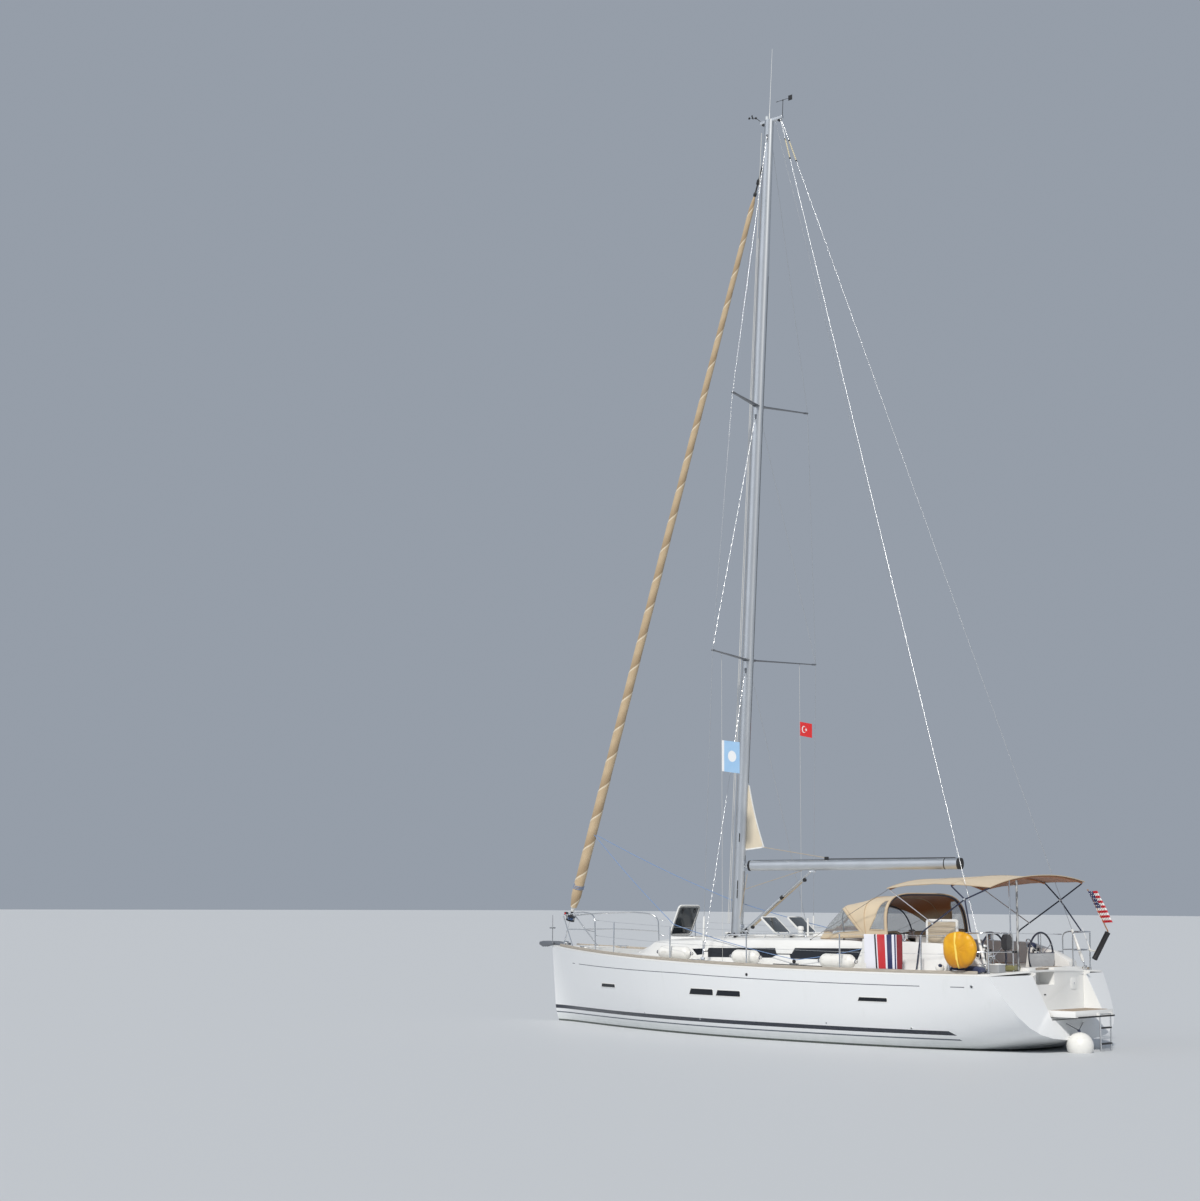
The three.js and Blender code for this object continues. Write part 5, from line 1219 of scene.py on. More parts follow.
def on_mast(z, ahead=0.0, side=0.0):
    """A point beside the mast at height z; ahead and side are shares of its section."""
    k = mast_scale(z)
    return Vector((mast_x(z) + ahead * MAST_FORE * k, side * MAST_SIDE * k, z))


ALONG_MAST = Vector((-MAST_RAKE, 0, 1)).normalized()


def spreader_tip(level, side, out=0.0):
    return Vector((
        mast_x(level["z"]) - level["reach"] * math.sin(SWEEP),
        side * (level["reach"] * math.cos(SWEEP) + out), level["z"] + 0.018,
    ))


def mast():
    bm = bmesh.new()
    heights = [1.79, 2.2, 5, 8, 11, 14.5, 15.3, 16.1, 16.9, 17.25, MAST_TOP]
    add_sweep(bm, [(mast_x(z), 0, z) for z in heights], MAST_FORE, 36,
              widths=[mast_scale(z) for z in heights], squash=(MAST_SIDE / MAST_FORE, 1))
    piece("mast_tube", bm, "spar_aluminium", stands_for=("mast",), crease=40)


def mast_step():
    base = bmesh.new()
    x = mast_x(MAST_FOOT_Z)
    low = min(deck_at(x + dx, dy)[0] for dx in (-0.18, 0.18) for dy in (-0.11, 0.11)) - 0.004
    add_box(base, x - 0.190, x + 0.190, -0.120, 0.120, max(1.681, low), 1.765)
    soften(base, 0.012, 30, 3)
    ring = bmesh.new()
    add_sweep(ring, [(mast_x(z), 0, z) for z in (1.765, 1.78, 1.789)], MAST_FORE * 1.12, 36,
              widths=[1, 1, 0.97], squash=(MAST_SIDE / MAST_FORE * 1.12, 1))
    merge(base, ring)
    for dx in (-0.16, 0.16):
        for dy in (-0.09, 0.09):
            add_lathe(base, [(0, 0), (0.012, 0), (0.012, 0.006), (0, 0.008)], (x + dx, dy, 1.765), UP, 6)
    piece("mast_step", base, "spar_aluminium")


def mast_groove():
    groove = bmesh.new()
    for a, b in ((2.35, 3.25), (4.6, 14.4)):
        back = [on_mast(z, -1.0) for z in (a, b)]
        add_sweep(groove, [back[0] + Vector((0.002, 0, 0)), back[1] + Vector((0.002, 0, 0))], 0.0065, 8,
                  squash=(1, 0.6))
    for z in (2.45, 2.62, 3.5):
        for s in BOTH_SIDES:
            add_sweep(groove, [on_mast(z, -0.2, s * 0.992), on_mast(z + 0.16, -0.2, s * 0.992)], 0.011, 10,
                      squash=(0.3, 1))
    piece("mast_groove", groove, "black_plastic")


def spreaders():
    arms = bmesh.new()
    for level in (LOWER, UPPER):
        for s in BOTH_SIDES:
            root = Vector((mast_x(level["z"]) - 0.02, s * 0.030, level["z"]))
            tip = spreader_tip(level, s)
            steps = 8
            add_sweep(arms, points_between(root, tip, steps), 0.062, 20,
                      widths=[1 - 0.42 * i / steps for i in range(steps + 1)], squash=(1, 0.25))
    piece("spreaders", arms, "spreader_paint", slot="spar_aluminium", crease=45)

    trim = bmesh.new()
    for level in (LOWER, UPPER):
        for s in BOTH_SIDES:
            tip = spreader_tip(level, s)
            back = (Vector((mast_x(level["z"]), 0, level["z"])) - tip).normalized()
            add_sweep(trim, [tip + back * 0.075, tip + back * 0.035, tip + back * 0.004], 0.040, 18,
                      widths=[0.95, 1.05, 0.94], squash=(1, 0.42))
            root = on_mast(level["z"], -0.15, s * 0.9)
            add_sweep(trim, [root, root + (tip - root).normalized() * 0.085], 0.060, 18, widths=[1.1, 1.0],
                      squash=(1, 0.42))
    for z in SHROUD_TANGS:
        for s in BOTH_SIDES:
            spot = on_mast(z, -0.1, s * 0.97)
            add_sweep(trim, [spot - ALONG_MAST * 0.05, spot + ALONG_MAST * 0.045], 0.026, 14,
                      squash=(0.35, 1))
    piece("spreader_fittings", trim, "stainless_dull")


def mast_hinges():
    joints = bmesh.new()
    for z in (BOOM_Z, VANG_Z):
        pivot = pin_x(z)
        at = mast_x(z) - MAST_FORE
        add_box(joints, at - 0.004, at + 0.014, -0.048, 0.048, z - 0.10, z + 0.10)
        soften(joints, 0.003, 30, 2)
        lug = bmesh.new()
        add_lathe(lug, [(0.0086, -0.018), (0.018, -0.018), (0.018, 0.018), (0.0086, 0.018), (0.0086, -0.018)],
                  (pivot, 0, z), ALONG_MAST, 24)
        add_box(lug, pivot + 0.012, at + 0.004, -0.013, 0.013, z - 0.017, z + 0.017)
        merge(joints, lug)
    piece("mast_hinges", joints, "stainless")


def masthead():
    head = bmesh.new()
    top = mast_x(MAST_TOP)
    add_box(head, top - 0.330, top + 0.215, -0.036, 0.036, MAST_TOP - 0.058, MAST_TOP + 0.010)
    soften(head, 0.010, 30, 3)
    for dx in (-0.30, 0.185):
        add_rod(head, (top + dx, -0.038, MAST_TOP - 0.03), (top + dx, 0.038, MAST_TOP - 0.03), 0.010,
                sides=14)
    piece("masthead", head, "spar_aluminium")
    gear = bmesh.new()
    for dx in (-0.25, 0.14):
        add_lathe(gear, [(0, -0.014), (0.040, -0.014), (0.034, 0), (0.040, 0.014), (0, 0.014)],
                  (top + dx, 0, MAST_TOP - 0.058), (0, 1, 0), 22)
    add_sweep(gear, rounded([(top + 0.20, 0, MAST_TOP + 0.004), (top + 0.33, 0, MAST_TOP + 0.12),
                             (top + 0.42, 0, MAST_TOP + 0.128)], 0.05), 0.006, 12)
    add_sweep(gear, [(top - 0.325, 0, MAST_TOP), (top - 0.34, 0, MAST_TOP + 0.30)], 0.006, 12)
    piece("masthead_arms", gear, "black_plastic")
    lamp = bmesh.new()
    add_lathe(lamp, [(0, 0), (0.034, 0), (0.034, 0.012), (0.029, 0.014), (0.029, 0.062), (0.034, 0.064),
                     (0.026, 0.076), (0, 0.078)], (top + 0.06, 0, MAST_TOP + 0.010), UP, 26)
    piece("masthead_lamp", lamp, "clear_lens", slot="hatch_acrylic")
    whip = bmesh.new()
    tip = Vector((top - 0.085, 0, 19.0))
    start = Vector((top, 0, MAST_TOP + 0.005))
    add_sweep(whip, [start.lerp(tip, t) for t in (0, 0.08, 0.1, 0.4, 0.7, 1)], 0.009, 14,
              widths=[1, 1, 0.6, 0.5, 0.4, 0.3])
    piece("mast_aerial", whip, "white_plastic", slot="black_plastic")


def wind_instruments():
    top = mast_x(MAST_TOP)
    cups = bmesh.new()
    centre = Vector((top + 0.42, 0, MAST_TOP + 0.1455))
    add_lathe(cups, [(0, -0.010), (0.015, -0.008), (0.016, 0.004), (0.010, 0.022), (0.006, 0.029),
                     (0, 0.030)], centre, UP, 22)
    for i in range(3):
        a = i * math.tau / 3
        out = Vector((math.cos(a), math.sin(a), 0))
        at = centre + out * 0.075 + UP * 0.012
        add_rod(cups, centre + UP * 0.012, at, 0.0028, sides=8)
        round_way = Vector((-math.sin(a), math.cos(a), 0))
        shell = [(0.0235 * math.sin(t), 0.0235 * (1 - math.cos(t)) * 0.95)
                 for t in (0, 0.35, 0.7, 1.05, 1.35, 1.57)]
        inner = [(r * 0.9, h + 0.0018) for r, h in reversed(shell)]
        add_lathe(cups, shell + inner, at - round_way * 0.012, round_way, 20)
    piece("wind_cups", cups, "black_plastic", "anemometer", "black_plastic", ("anemometer",))
    vane = bmesh.new()
    centre = Vector((top - 0.34, 0, MAST_TOP + 0.3106))
    add_lathe(vane, [(0, -0.010), (0.011, -0.009), (0.012, 0.004), (0.008, 0.018), (0, 0.022)], centre, UP,
              20)
    add_rod(vane, centre + Vector((0.17, 0, 0.008)), centre + Vector((-0.15, 0, 0.008)), 0.0042, sides=10)
    add_rod(vane, centre + Vector((0.17, 0, 0.008)), centre + Vector((0.135, 0, 0.008)), 0.0015, 0.009, 12)
    add_block(vane, centre.x - 0.228, centre.x - 0.132, -0.0022, 0.0022, centre.z - 0.043, centre.z + 0.060,
              0.0015)
    piece("wind_arrow", vane, "black_plastic", "wind_vane", "black_plastic", ("wind_vane",))


def add_wire(bm, a, b, radius=WIRE * 0.92, parts=1, sides=10):
    add_sweep(bm, points_between(Vector(a), Vector(b), parts), radius, sides)


def add_turnbuckle(bm, start, along, long=0.33, radius=0.013):
    """Fork, open body with two lock nuts, and the swaged end of the wire."""
    add_lathe(bm, [(0, 0), (0.011, 0), (0.011, 0.035), (0.0065, 0.04), (0.0065, 0.075), (radius, 0.08),
                   (radius, 0.095), (radius * 0.78, 0.10), (radius * 0.78, long * 0.62),
                   (radius, long * 0.63), (radius, long * 0.68), (0.0065, long * 0.7), (0.0065, long * 0.78),
                   (0.0095, long * 0.79), (0.0095, long * 0.97), (WIRE, long), (0, long)], start, along, 18)
    for t in (0.068, long * 0.70):
        add_lathe(bm, [(0, 0), (0.0125, 0), (0.0125, 0.010), (0, 0.010)], start + along * t, along, 6)


CHAINPLATE_X, CHAINPLATE_Y = 0.64, 1.64
SHROUD_TANGS = (6.74, 11.64, 17.2)  # heights where the wires meet the mast
HEAD_SCALE = 0.84  # the mast's section there, beside its foot


def shrouds(side):
    name = side_name(side)
    s = side
    z = deck_at(CHAINPLATE_X, s * CHAINPLATE_Y)[0]
    foot = Vector((CHAINPLATE_X, s * CHAINPLATE_Y, z + 0.075))
    lower, middle, upper = SHROUD_TANGS
    low = spreader_tip(LOWER, s, WIRE + LOWER["clear"])
    high = spreader_tip(UPPER, s, WIRE + UPPER["clear"])

    def tang(height, k=1.0):
        return Vector((mast_x(height) - 0.012, s * (MAST_SIDE * k + WIRE + 0.0008), height))

    wires = bmesh.new()
    add_sweep(wires, [foot.lerp(low, 0.05), low, high, tang(upper, HEAD_SCALE)], WIRE * 0.92, 10)
    add_wire(wires, foot, tang(lower))
    add_wire(wires, low.lerp(high, 0.004), tang(middle))
    piece("shroud_wires_" + name, wires, "rigging_wire", stands_for=("shrouds_" + name,))
    ends = bmesh.new()
    for target in (low, tang(lower)):
        add_turnbuckle(ends, foot.copy(), (target - foot).normalized())
    for a, b in ((tang(lower), foot), (tang(middle), low), (tang(upper, HEAD_SCALE), high)):
        down = (b - a).normalized()
        add_lathe(ends, [(0, 0), (0.0095, 0), (0.0095, 0.11), (WIRE, 0.13), (0, 0.13)], a, down, 14)
    piece("shroud_screws_" + name, ends, "stainless")
    plate = bmesh.new()
    low_z = max(deck_at(CHAINPLATE_X + dx, s * CHAINPLATE_Y + dy)[0] for dx in (-0.044, 0.044)
                for dy in (-0.013, 0.013))
    add_box(plate, 0.595, 0.685, s * 1.626, s * 1.654, low_z + 0.001, z + 0.090)
    soften(plate, 0.008, 30, 3)
    add_block(plate, 0.57, 0.71, s * 1.604, s * 1.676, low_z + 0.001, low_z + 0.008, 0.003)
    piece("chainplate_" + name, plate, "stainless")
    boots = bmesh.new()
    along = (low - foot).normalized()
    add_lathe(boots, [(0.0055, 0), (0.0165, 0.01), (0.0185, 0.06), (0.0185, 0.40), (0.012, 0.44),
                      (0.0055, 0.445)],
              foot + along * 0.30, along, 18)
    piece("shroud_boot_" + name, boots, "white_plastic", slot="sailcloth")


STAY_X = 5.683
STAY_FOOT, STAY_HEAD = Vector((STAY_X, 0, 1.552)), Vector((0.424, 0, 16.768))
STAY_WAY = (STAY_HEAD - STAY_FOOT).normalized()
SPIRAL = 0.62  # rise of the rolled sail's edge in one turn


def on_stay(z):
    return STAY_FOOT.lerp(STAY_HEAD, (z - STAY_FOOT.z) / (STAY_HEAD.z - STAY_FOOT.z))


def furled_sail():
    low, high = on_stay(2.26), on_stay(16.08)
    run = (high - low).length
    rings = 260
    bm = bmesh.new()
    sides = 30
    widths = []
    path = []
    for i in range(rings + 1):
        t = i / rings
        body = 0.112 - 0.060 * t
        taper = min(1.0, 0.62 + t * 22, (1 - t) * 34 + 0.42)
        widths.append(body * taper)
        path.append(low + STAY_WAY * run * t)
    add_sweep(bm, path, 1.0, sides, widths=widths)
    across = UP.cross(STAY_WAY).normalized()
    ahead = STAY_WAY.cross(across)
    for v in bm.verts:
        off = v.co - STAY_FOOT
        s = off.dot(STAY_WAY)
        out = off - STAY_WAY * s
        angle = math.atan2(out.dot(across), out.dot(ahead))
        wind = (angle / math.tau + s / SPIRAL) % 1.0
        creases = uneven(angle * 1.5, s * 1.4, 0) * 0.020 + uneven(angle * 3, s * 6, 5) * 0.010
        v.co -= out * (0.055 + 0.075 * (1 - wind) - creases) * 0.8
    piece("rolled_headsail", bm, "sail_cover", stands_for=("genoa_furled",), crease=80)

    tack = bmesh.new()
    add_lathe(tack, [(0.0125, -0.10), (0.030, -0.09), (0.045, -0.02), (0.066, 0.02), (0.05, 0.06)], low,
              STAY_WAY, 24)
    piece("headsail_tack", tack, "sail_tape", slot="sailcloth")
    wraps = bmesh.new()
    base = on_stay(2.62)
    line = []
    for i in range(150):
        a = i / 150 * 3.5 * math.tau
        r = 0.1085
        line.append(base + STAY_WAY * (i / 150 * 0.10) + (across * math.cos(a) + ahead * math.sin(a)) * r)
    add_sweep(wraps, line, 0.0055, 8)
    add_ball(wraps, base + STAY_WAY * 0.09 + across * 0.108, 0.016, (1, 1, 1.5), 8)
    piece("sheet_wraps", wraps, "rope_blue", slot="rigging_wire")


def forestay():
    foot = on_stay(1.99)
    top = on_stay(16.082)
    drum = bmesh.new()
    add_lathe(drum, [(0, 0), (0.086, 0), (0.092, 0.004), (0.092, 0.010), (0.050, 0.018), (0.048, 0.022),
                     (0.048, 0.074), (0.050, 0.078), (0.092, 0.086), (0.092, 0.094), (0.084, 0.098),
                     (0.034, 0.104), (0.028, 0.112), (0.026, 0.236), (0.020, 0.240), (0, 0.240)], foot,
                     STAY_WAY, 40)
    for i in range(6):
        a = i * math.tau / 6
        out = Vector((math.cos(a), math.sin(a), 0))
        out = (out - STAY_WAY * out.dot(STAY_WAY)).normalized()
        add_rod(drum, foot + out * 0.084 + STAY_WAY * 0.008, foot + out * 0.084 + STAY_WAY * 0.09, 0.005,
                sides=10)
    piece("furler_drum", drum, "furler_plastic", stands_for=("forestay",))
    line = bmesh.new()
    for k in range(7):
        add_lathe(line, [(0.047, 0), (0.055, 0.002), (0.055, 0.005), (0.047, 0.007)],
                  foot + STAY_WAY * (0.023 + 0.007 * k), STAY_WAY, 26)
    piece("furler_line_coil", line, "rope_blue", slot="rigging_wire")
    foil = bmesh.new()
    add_sweep(foil, [foot + STAY_WAY * 0.23, on_stay(5), on_stay(10), top], 0.0115, 16, squash=(0.8, 1))
    piece("stay_foil", foil, "foil", slot="spar_aluminium")
    metal = bmesh.new()
    z = deck_at(STAY_X, 0)[0]
    start = Vector((STAY_X, 0, z + 0.06))
    add_rod(metal, start, foot + STAY_WAY * 0.01, 0.0078, sides=14)
    add_turnbuckle(metal, start, STAY_WAY, 0.36, 0.016)
    add_block(metal, 5.642, 5.724, -0.009, 0.009, deck_at(5.64, 0)[0] + 0.0175, z + 0.070, 0.006, 3)
    add_rod(metal, (STAY_X, -0.020, z + 0.052), (STAY_X, 0.020, z + 0.052), 0.0065, sides=12)
    piece("stem_fitting", metal, "stainless")
    swivel = bmesh.new()
    add_lathe(swivel, [(0, 0), (0.027, 0.002), (0.034, 0.03), (0.034, 0.06), (0.018, 0.09), (0.015, 0.11),
                       (0.015, 0.23), (0.030, 0.245), (0.034, 0.26), (0.034, 0.33), (0.020, 0.345),
                       (0.0115, 0.36), (0.0115, (STAY_HEAD - top).length - 0.09),
                       (0, (STAY_HEAD - top).length - 0.09)], top, STAY_WAY, 28)
    piece("halyard_swivel", swivel, "black_plastic")


BACK_TOP = Vector((mast_x(MAST_TOP) - 0.292, 0, MAST_TOP - 0.0606))
BACKSTAY_X, BACKSTAY_Y = -5.255, 1.56


def backstay_foot(side):
    return Vector((BACKSTAY_X, side * BACKSTAY_Y, deck_at(BACKSTAY_X, side * BACKSTAY_Y)[0] + 0.062))


def backstay_top(side):
    return BACK_TOP + Vector((0, side * 0.016, -0.010))


def backstays():
    wires, metal, tubes, pale, dark = (bmesh.new() for _ in range(5))
    for s in BOTH_SIDES:
        foot = backstay_foot(s)
        top = backstay_top(s)
        along = (top - foot).normalized()
        run = (top - foot).length
        add_wire(wires, foot, top, WIRE * 0.9, 4)
        add_turnbuckle(metal, foot - along * 0.02, along, 0.11, 0.012)
        add_lathe(tubes, [(0, 0.090), (0.024, 0.091), (0.027, 0.097), (0.027, 0.38), (0.0235, 0.385),
                          (0.0235, 0.62), (0.026, 0.625), (0.026, 0.65), (0.012, 0.658), (0, 0.66)], foot,
                          along, 24)
        for a in (0.42, 0.50):
            add_lathe(tubes, [(0.023, a), (0.0265, a + 0.003), (0.0265, a + 0.02), (0.023, a + 0.023)], foot,
                      along, 24)
        base = foot + along * (run - 0.95)
        for k in range(11):
            add_lathe(pale, [(0.008, 0.03 + k * 0.04), (0.0135, 0.036 + k * 0.04), (0.0135, 0.052 + k * 0.04),
                             (0.008, 0.066 + k * 0.04)], base, along, 18)
        for h in (0.0, 0.455):
            add_lathe(dark, [(0, h), (0.0125, h), (0.014, h + 0.008), (0.014, h + 0.036), (0, h + 0.042)],
                      base, along, 18)
        add_block(metal, -5.290, -5.220, s * 1.553, s * 1.567, foot.z - 0.058, foot.z + 0.012, 0.004)
        add_block(metal, -5.310, -5.200, s * BACKSTAY_Y - 0.03, s * BACKSTAY_Y + 0.03, foot.z - 0.0615,
                  foot.z - 0.055, 0.002)
        add_rod(metal, (BACKSTAY_X, s * 1.538, foot.z), (BACKSTAY_X, s * 1.582, foot.z), 0.006, sides=12)
    add_block(metal, BACK_TOP.x - 0.013, BACK_TOP.x + 0.013, -0.023, 0.023, BACK_TOP.z - 0.020, BACK_TOP.z,
              0.004)
    piece("backstay_wires", wires, "rigging_wire", stands_for=("backstays",))
    piece("backstay_metal", metal, "stainless")
    piece("backstay_adjusters", tubes, "white_plastic", slot="black_plastic")
    piece("aerial_insulators", pale, "insulator", slot="sailcloth")
    piece("insulator_ends", dark, "black_plastic")


def boom_front():
    return mast_x(BOOM_Z) - BOOM_REACH


def boom():
    bm = bmesh.new()
    front = boom_front()
    path = [(x, 0, BOOM_Z) for x in (front, front - 0.012, front - 0.03, -1.0, -2.5, BOOM_END + 0.05,
                                     BOOM_END + 0.012, BOOM_END)]
    add_sweep(bm, path, BOOM_HALF, 30, widths=[0.94, 0.985, 1, 1, 1, 1, 0.985, 0.93], squash=(0.667, 1))
    piece("boom_tube", bm, "spar_aluminium", "boom", "spar_aluminium", ("boom",), 40)
    trim = bmesh.new()
    for a, b in ((front + 0.002, front - 0.05), (BOOM_END + 0.075, BOOM_END - 0.0005),
                 (BOOM_END + 0.345, BOOM_END + 0.325)):
        add_sweep(trim, [(a, 0, BOOM_Z), (b, 0, BOOM_Z)], BOOM_HALF + 0.0007, 30, squash=(0.669, 1))
    for y in (-0.02, 0.02):
        add_rod(trim, (BOOM_END + 0.06, y - 0.008, BOOM_Z + 0.045),
                (BOOM_END + 0.06, y + 0.008, BOOM_Z + 0.045), 0.040, sides=22)
    add_sweep(trim, [(front - 0.10, 0, BOOM_Z + 0.0955), (BOOM_END + 0.1, 0, BOOM_Z + 0.0955)], 0.0065, 8)
    piece("boom_caps", trim, "black_plastic", "boom")
    jaw = bmesh.new()
    pivot = pin_x(BOOM_Z)
    for z in (0.028, -0.028):
        add_box(jaw, front - 0.058, pivot + 0.020, -0.030, 0.030, BOOM_Z + z - 0.0065, BOOM_Z + z + 0.0065)
    soften(jaw, 0.004, 30, 2)
    low, high = BOOM_Z - 0.034, BOOM_Z + 0.034
    add_rod(jaw, (pin_x(low), 0, low), (pin_x(high), 0, high), 0.0079, sides=18)
    piece("gooseneck", jaw, "stainless", "boom")
    lines = bmesh.new()
    add_sweep(lines, [(-0.95, -0.012, BOOM_Z + 0.112), (-2.0, -0.010, BOOM_Z + 0.1105),
                      (BOOM_END + 0.14, -0.008, BOOM_Z + 0.106)],
              0.0055, 8)
    piece("outhaul_on_boom", lines, "rope_black", "boom", "rigging_wire")


def vang():
    top = Vector((-0.590, 0, BOOM_Z - 0.0954))
    foot = Vector((pin_x(VANG_Z) - 0.044, 0, VANG_Z))
    along = (top - foot).normalized()
    run = (top - foot).length
    tube = bmesh.new()
    add_lathe(tube, [(0, 0.002), (0.030, 0.004), (0.032, 0.01), (0.032, run * 0.55 - 0.01),
                     (0.028, run * 0.55), (0.0225, run * 0.55), (0.022, run - 0.040), (0.018, run - 0.036),
                     (0, run - 0.036)], foot, along, 28)
    piece("vang_tube", tube, "spar_aluminium", "boom", "spar_aluminium", ("vang",))
    dark = bmesh.new()
    add_lathe(dark, [(0.0215, run * 0.53), (0.035, run * 0.535), (0.035, run * 0.565), (0.0215, run * 0.575)],
              foot, along, 28)
    add_lathe(dark, [(0, -0.006), (0.0335, 0), (0.0335, 0.05), (0.030, 0.056)], foot, along, 28)
    piece("vang_collar", dark, "black_plastic", "boom")
    metal = bmesh.new()
    z = VANG_Z
    pivot = pin_x(z)
    for dz in (0.027, -0.027):
        add_box(metal, foot.x - 0.058, pivot + 0.018, -0.026, 0.026, z + dz - 0.0055, z + dz + 0.0055)
    add_box(metal, foot.x - 0.060, foot.x - 0.022, -0.023, 0.023, z - 0.033, z + 0.033)
    add_box(metal, top.x - 0.088, top.x + 0.088, -0.015, 0.015, top.z - 0.038, top.z - 0.001)
    soften(metal, 0.004, 30, 2)
    add_rod(metal, (pin_x(z - 0.033), 0, z - 0.033), (pin_x(z + 0.033), 0, z + 0.033), 0.0079, sides=18)
    piece("vang_joint", metal, "stainless", "boom")
    tackle = bmesh.new()
    under = Vector((along.z, 0, -along.x))
    for k, (a, b) in enumerate(((0.10, 0.86), (0.13, 0.83), (0.10, 0.84))):
        side = (k - 1) * 0.020
        add_wire(tackle, foot + along * run * a - under * 0.047 + Vector((0, side, 0)),
                 foot + along * run * b - under * 0.043 + Vector((0, side * 0.8, 0)), 0.0042)
    piece("vang_tackle", tackle, "rope_tan", "boom", "rigging_wire")
    blocks = bmesh.new()
    for t in (0.085, 0.875):
        spot = foot + along * run * t - under * 0.046
        add_lathe(blocks, [(0, -0.026), (0.030, -0.024), (0.034, -0.018), (0.034, 0.018), (0.030, 0.024),
                           (0, 0.026)], spot, (0, 1, 0), 22)
    piece("vang_blocks", blocks, "black_plastic", "boom")


def sail_corner():
    """The part of the mainsail that stays out of the mast, with its clew and outhaul."""
    def luff(z):
        return mast_x(z) - MAST_FORE - 0.002

    head, tack = 4.56, 3.345
    point = Vector((0.525, 0, 3.392))
    cloth = grid(14, 26)
    for v in cloth.verts:
        t, s = v.co.y + 0.5, v.co.x + 0.5
        leech = Vector((point.x, 0, point.z)).lerp(Vector((luff(head) - 0.019, 0, head)), t)
        leech.x += 0.030 * math.sin(math.pi * t)
        z = tack + (head - tack) * t
        fore = Vector((luff(z), 0, z))
        spot = fore.lerp(leech, s)
        spot.y = 0.0022 * math.sin(s * 9 + t * 3) * s
        v.co = spot
    bmesh.ops.remove_doubles(cloth, verts=cloth.verts, dist=0.0004)
    thicken(cloth, 0.002)
    piece("mainsail_corner", cloth, "sailcloth", stands_for=("mainsail_clew",), crease=60)
    tape = bmesh.new()
    top = Vector((luff(head) - 0.020, 0, head))
    band = [Vector((point.x, 0, point.z)).lerp(top, i / 16)
            + Vector((0.030 * math.sin(math.pi * i / 16), 0, 0)) for i in range(17)]
    add_sweep(tape, band, 0.020, 12, squash=(1, 0.16))
    add_sweep(tape, [Vector((luff(tack), 0, tack + 0.012)), Vector((0.78, 0, 3.372)),
                     point + Vector((0.03, 0, 0.004))], 0.014, 12,
              squash=(0.24, 1))
    piece("sail_tapes", tape, "sail_tape", slot="sailcloth")
    ring = bmesh.new()
    add_lathe(ring, [(0.012, -0.004), (0.024, -0.004), (0.026, 0), (0.024, 0.004), (0.012, 0.004),
                     (0.012, -0.004)],
              point + Vector((0.028, 0, 0.012)), (0, 1, 0), 26)
    end = Vector((-0.92, 0, BOOM_Z + 0.0967 + 0.030))
    block = bmesh.new()
    add_box(block, -0.970, -0.882, -0.015, 0.015, BOOM_Z + 0.0975, end.z + 0.022)
    soften(block, 0.009, 30, 3)
    piece("outhaul_block", block, "black_plastic")
    piece("clew_ring", ring, "stainless")
    ropes = bmesh.new()
    for dy in (-0.006, 0.006):
        add_wire(ropes, point + Vector((0.020, dy, 0.004)), end + Vector((0.02, dy, 0.004)), 0.0044)
    piece("outhaul", ropes, "rope_tan", slot="rigging_wire")


# Canopies

BIMINI = (
    # x, crown, drop to both edges, droop of the port side
    (-3.300, 2.792, 0.170, 0.0), (-3.700, 2.828, 0.145, 0.010), (-4.250, 2.850, 0.130, 0.020),
    (-4.800, 2.856, 0.135, 0.040), (-5.330, 2.850, 0.150, 0.060),
)
BIMINI_HALF = 1.5
BIMINI_HOOPS = (-3.330, -4.560, -5.300)
BIMINI_SEAM = -3.94
BIMINI_UNDER = 0.010 + TUBE + 0.00025  # from the cloth to the middle of a hoop's tube
BIMINI_SCALLOP = 0.018  # how far the side edges are drawn in


def bimini_z(x, share):
    i = 0
    while i < len(BIMINI) - 2 and x < BIMINI[i + 1][0]:
        i += 1
    a, b = BIMINI[i], BIMINI[i + 1]
    t = (x - a[0]) / (b[0] - a[0])
    levels = [row[1] - row[2] * abs(share) ** 2.2 - row[3] * share for row in (a, b)]
    return levels[0] * (1 - t) + levels[1] * t


def bimini():
    front, back = BIMINI[0][0], BIMINI[-1][0]
    cloth = grid(74, 100)
    for v in cloth.verts:
        t, k = v.co.x + 0.5, v.co.y * 2
        x = back + (front - back) * t
        sag = 0.0
        for a, b in zip(BIMINI_HOOPS, BIMINI_HOOPS[1:]):
            if b < x < a:
                sag = 0.022 * math.sin(math.pi * (a - x) / (a - b))
        pull = 0.5 + 0.5 * math.cos(math.pi * k)
        ripple = uneven(x * 3.1, k * 5.3, 2) * 0.005 + uneven(x * 1.1, k * 11, 7) * 0.003
        edge = BIMINI_SCALLOP * math.sin(math.pi * max(0, min(1, (x - back) / (front - back)))) ** 0.7
        y = k * (BIMINI_HALF - (edge if abs(k) > 0.97 else edge * abs(k) ** 12))
        v.co = Vector((x, y, bimini_z(x, k) - 0.003 - sag * (0.4 + 0.6 * pull) - abs(ripple)))
    for s in BOTH_SIDES:
        foot = backstay_foot(s)
        top = backstay_top(s)
        near = foot.lerp(top, (2.72 - foot.z) / (top.z - foot.z))
        # the backstays pass through openings in the cloth
        hole = [f for f in cloth.faces if (f.calc_center_median() - near).length < 0.036]
        bmesh.ops.delete(cloth, geom=hole, context="FACES")
    thicken(cloth, 0.0022)
    sheet = piece("bimini_cloth", cloth, "canvas", stands_for=("bimini_canopy",), crease=70)
    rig.sheet(sheet, flat=(BIMINI_HALF * 2.02, front - back + 0.03), held="stretched",
             rests_on=["bimini_frame"])


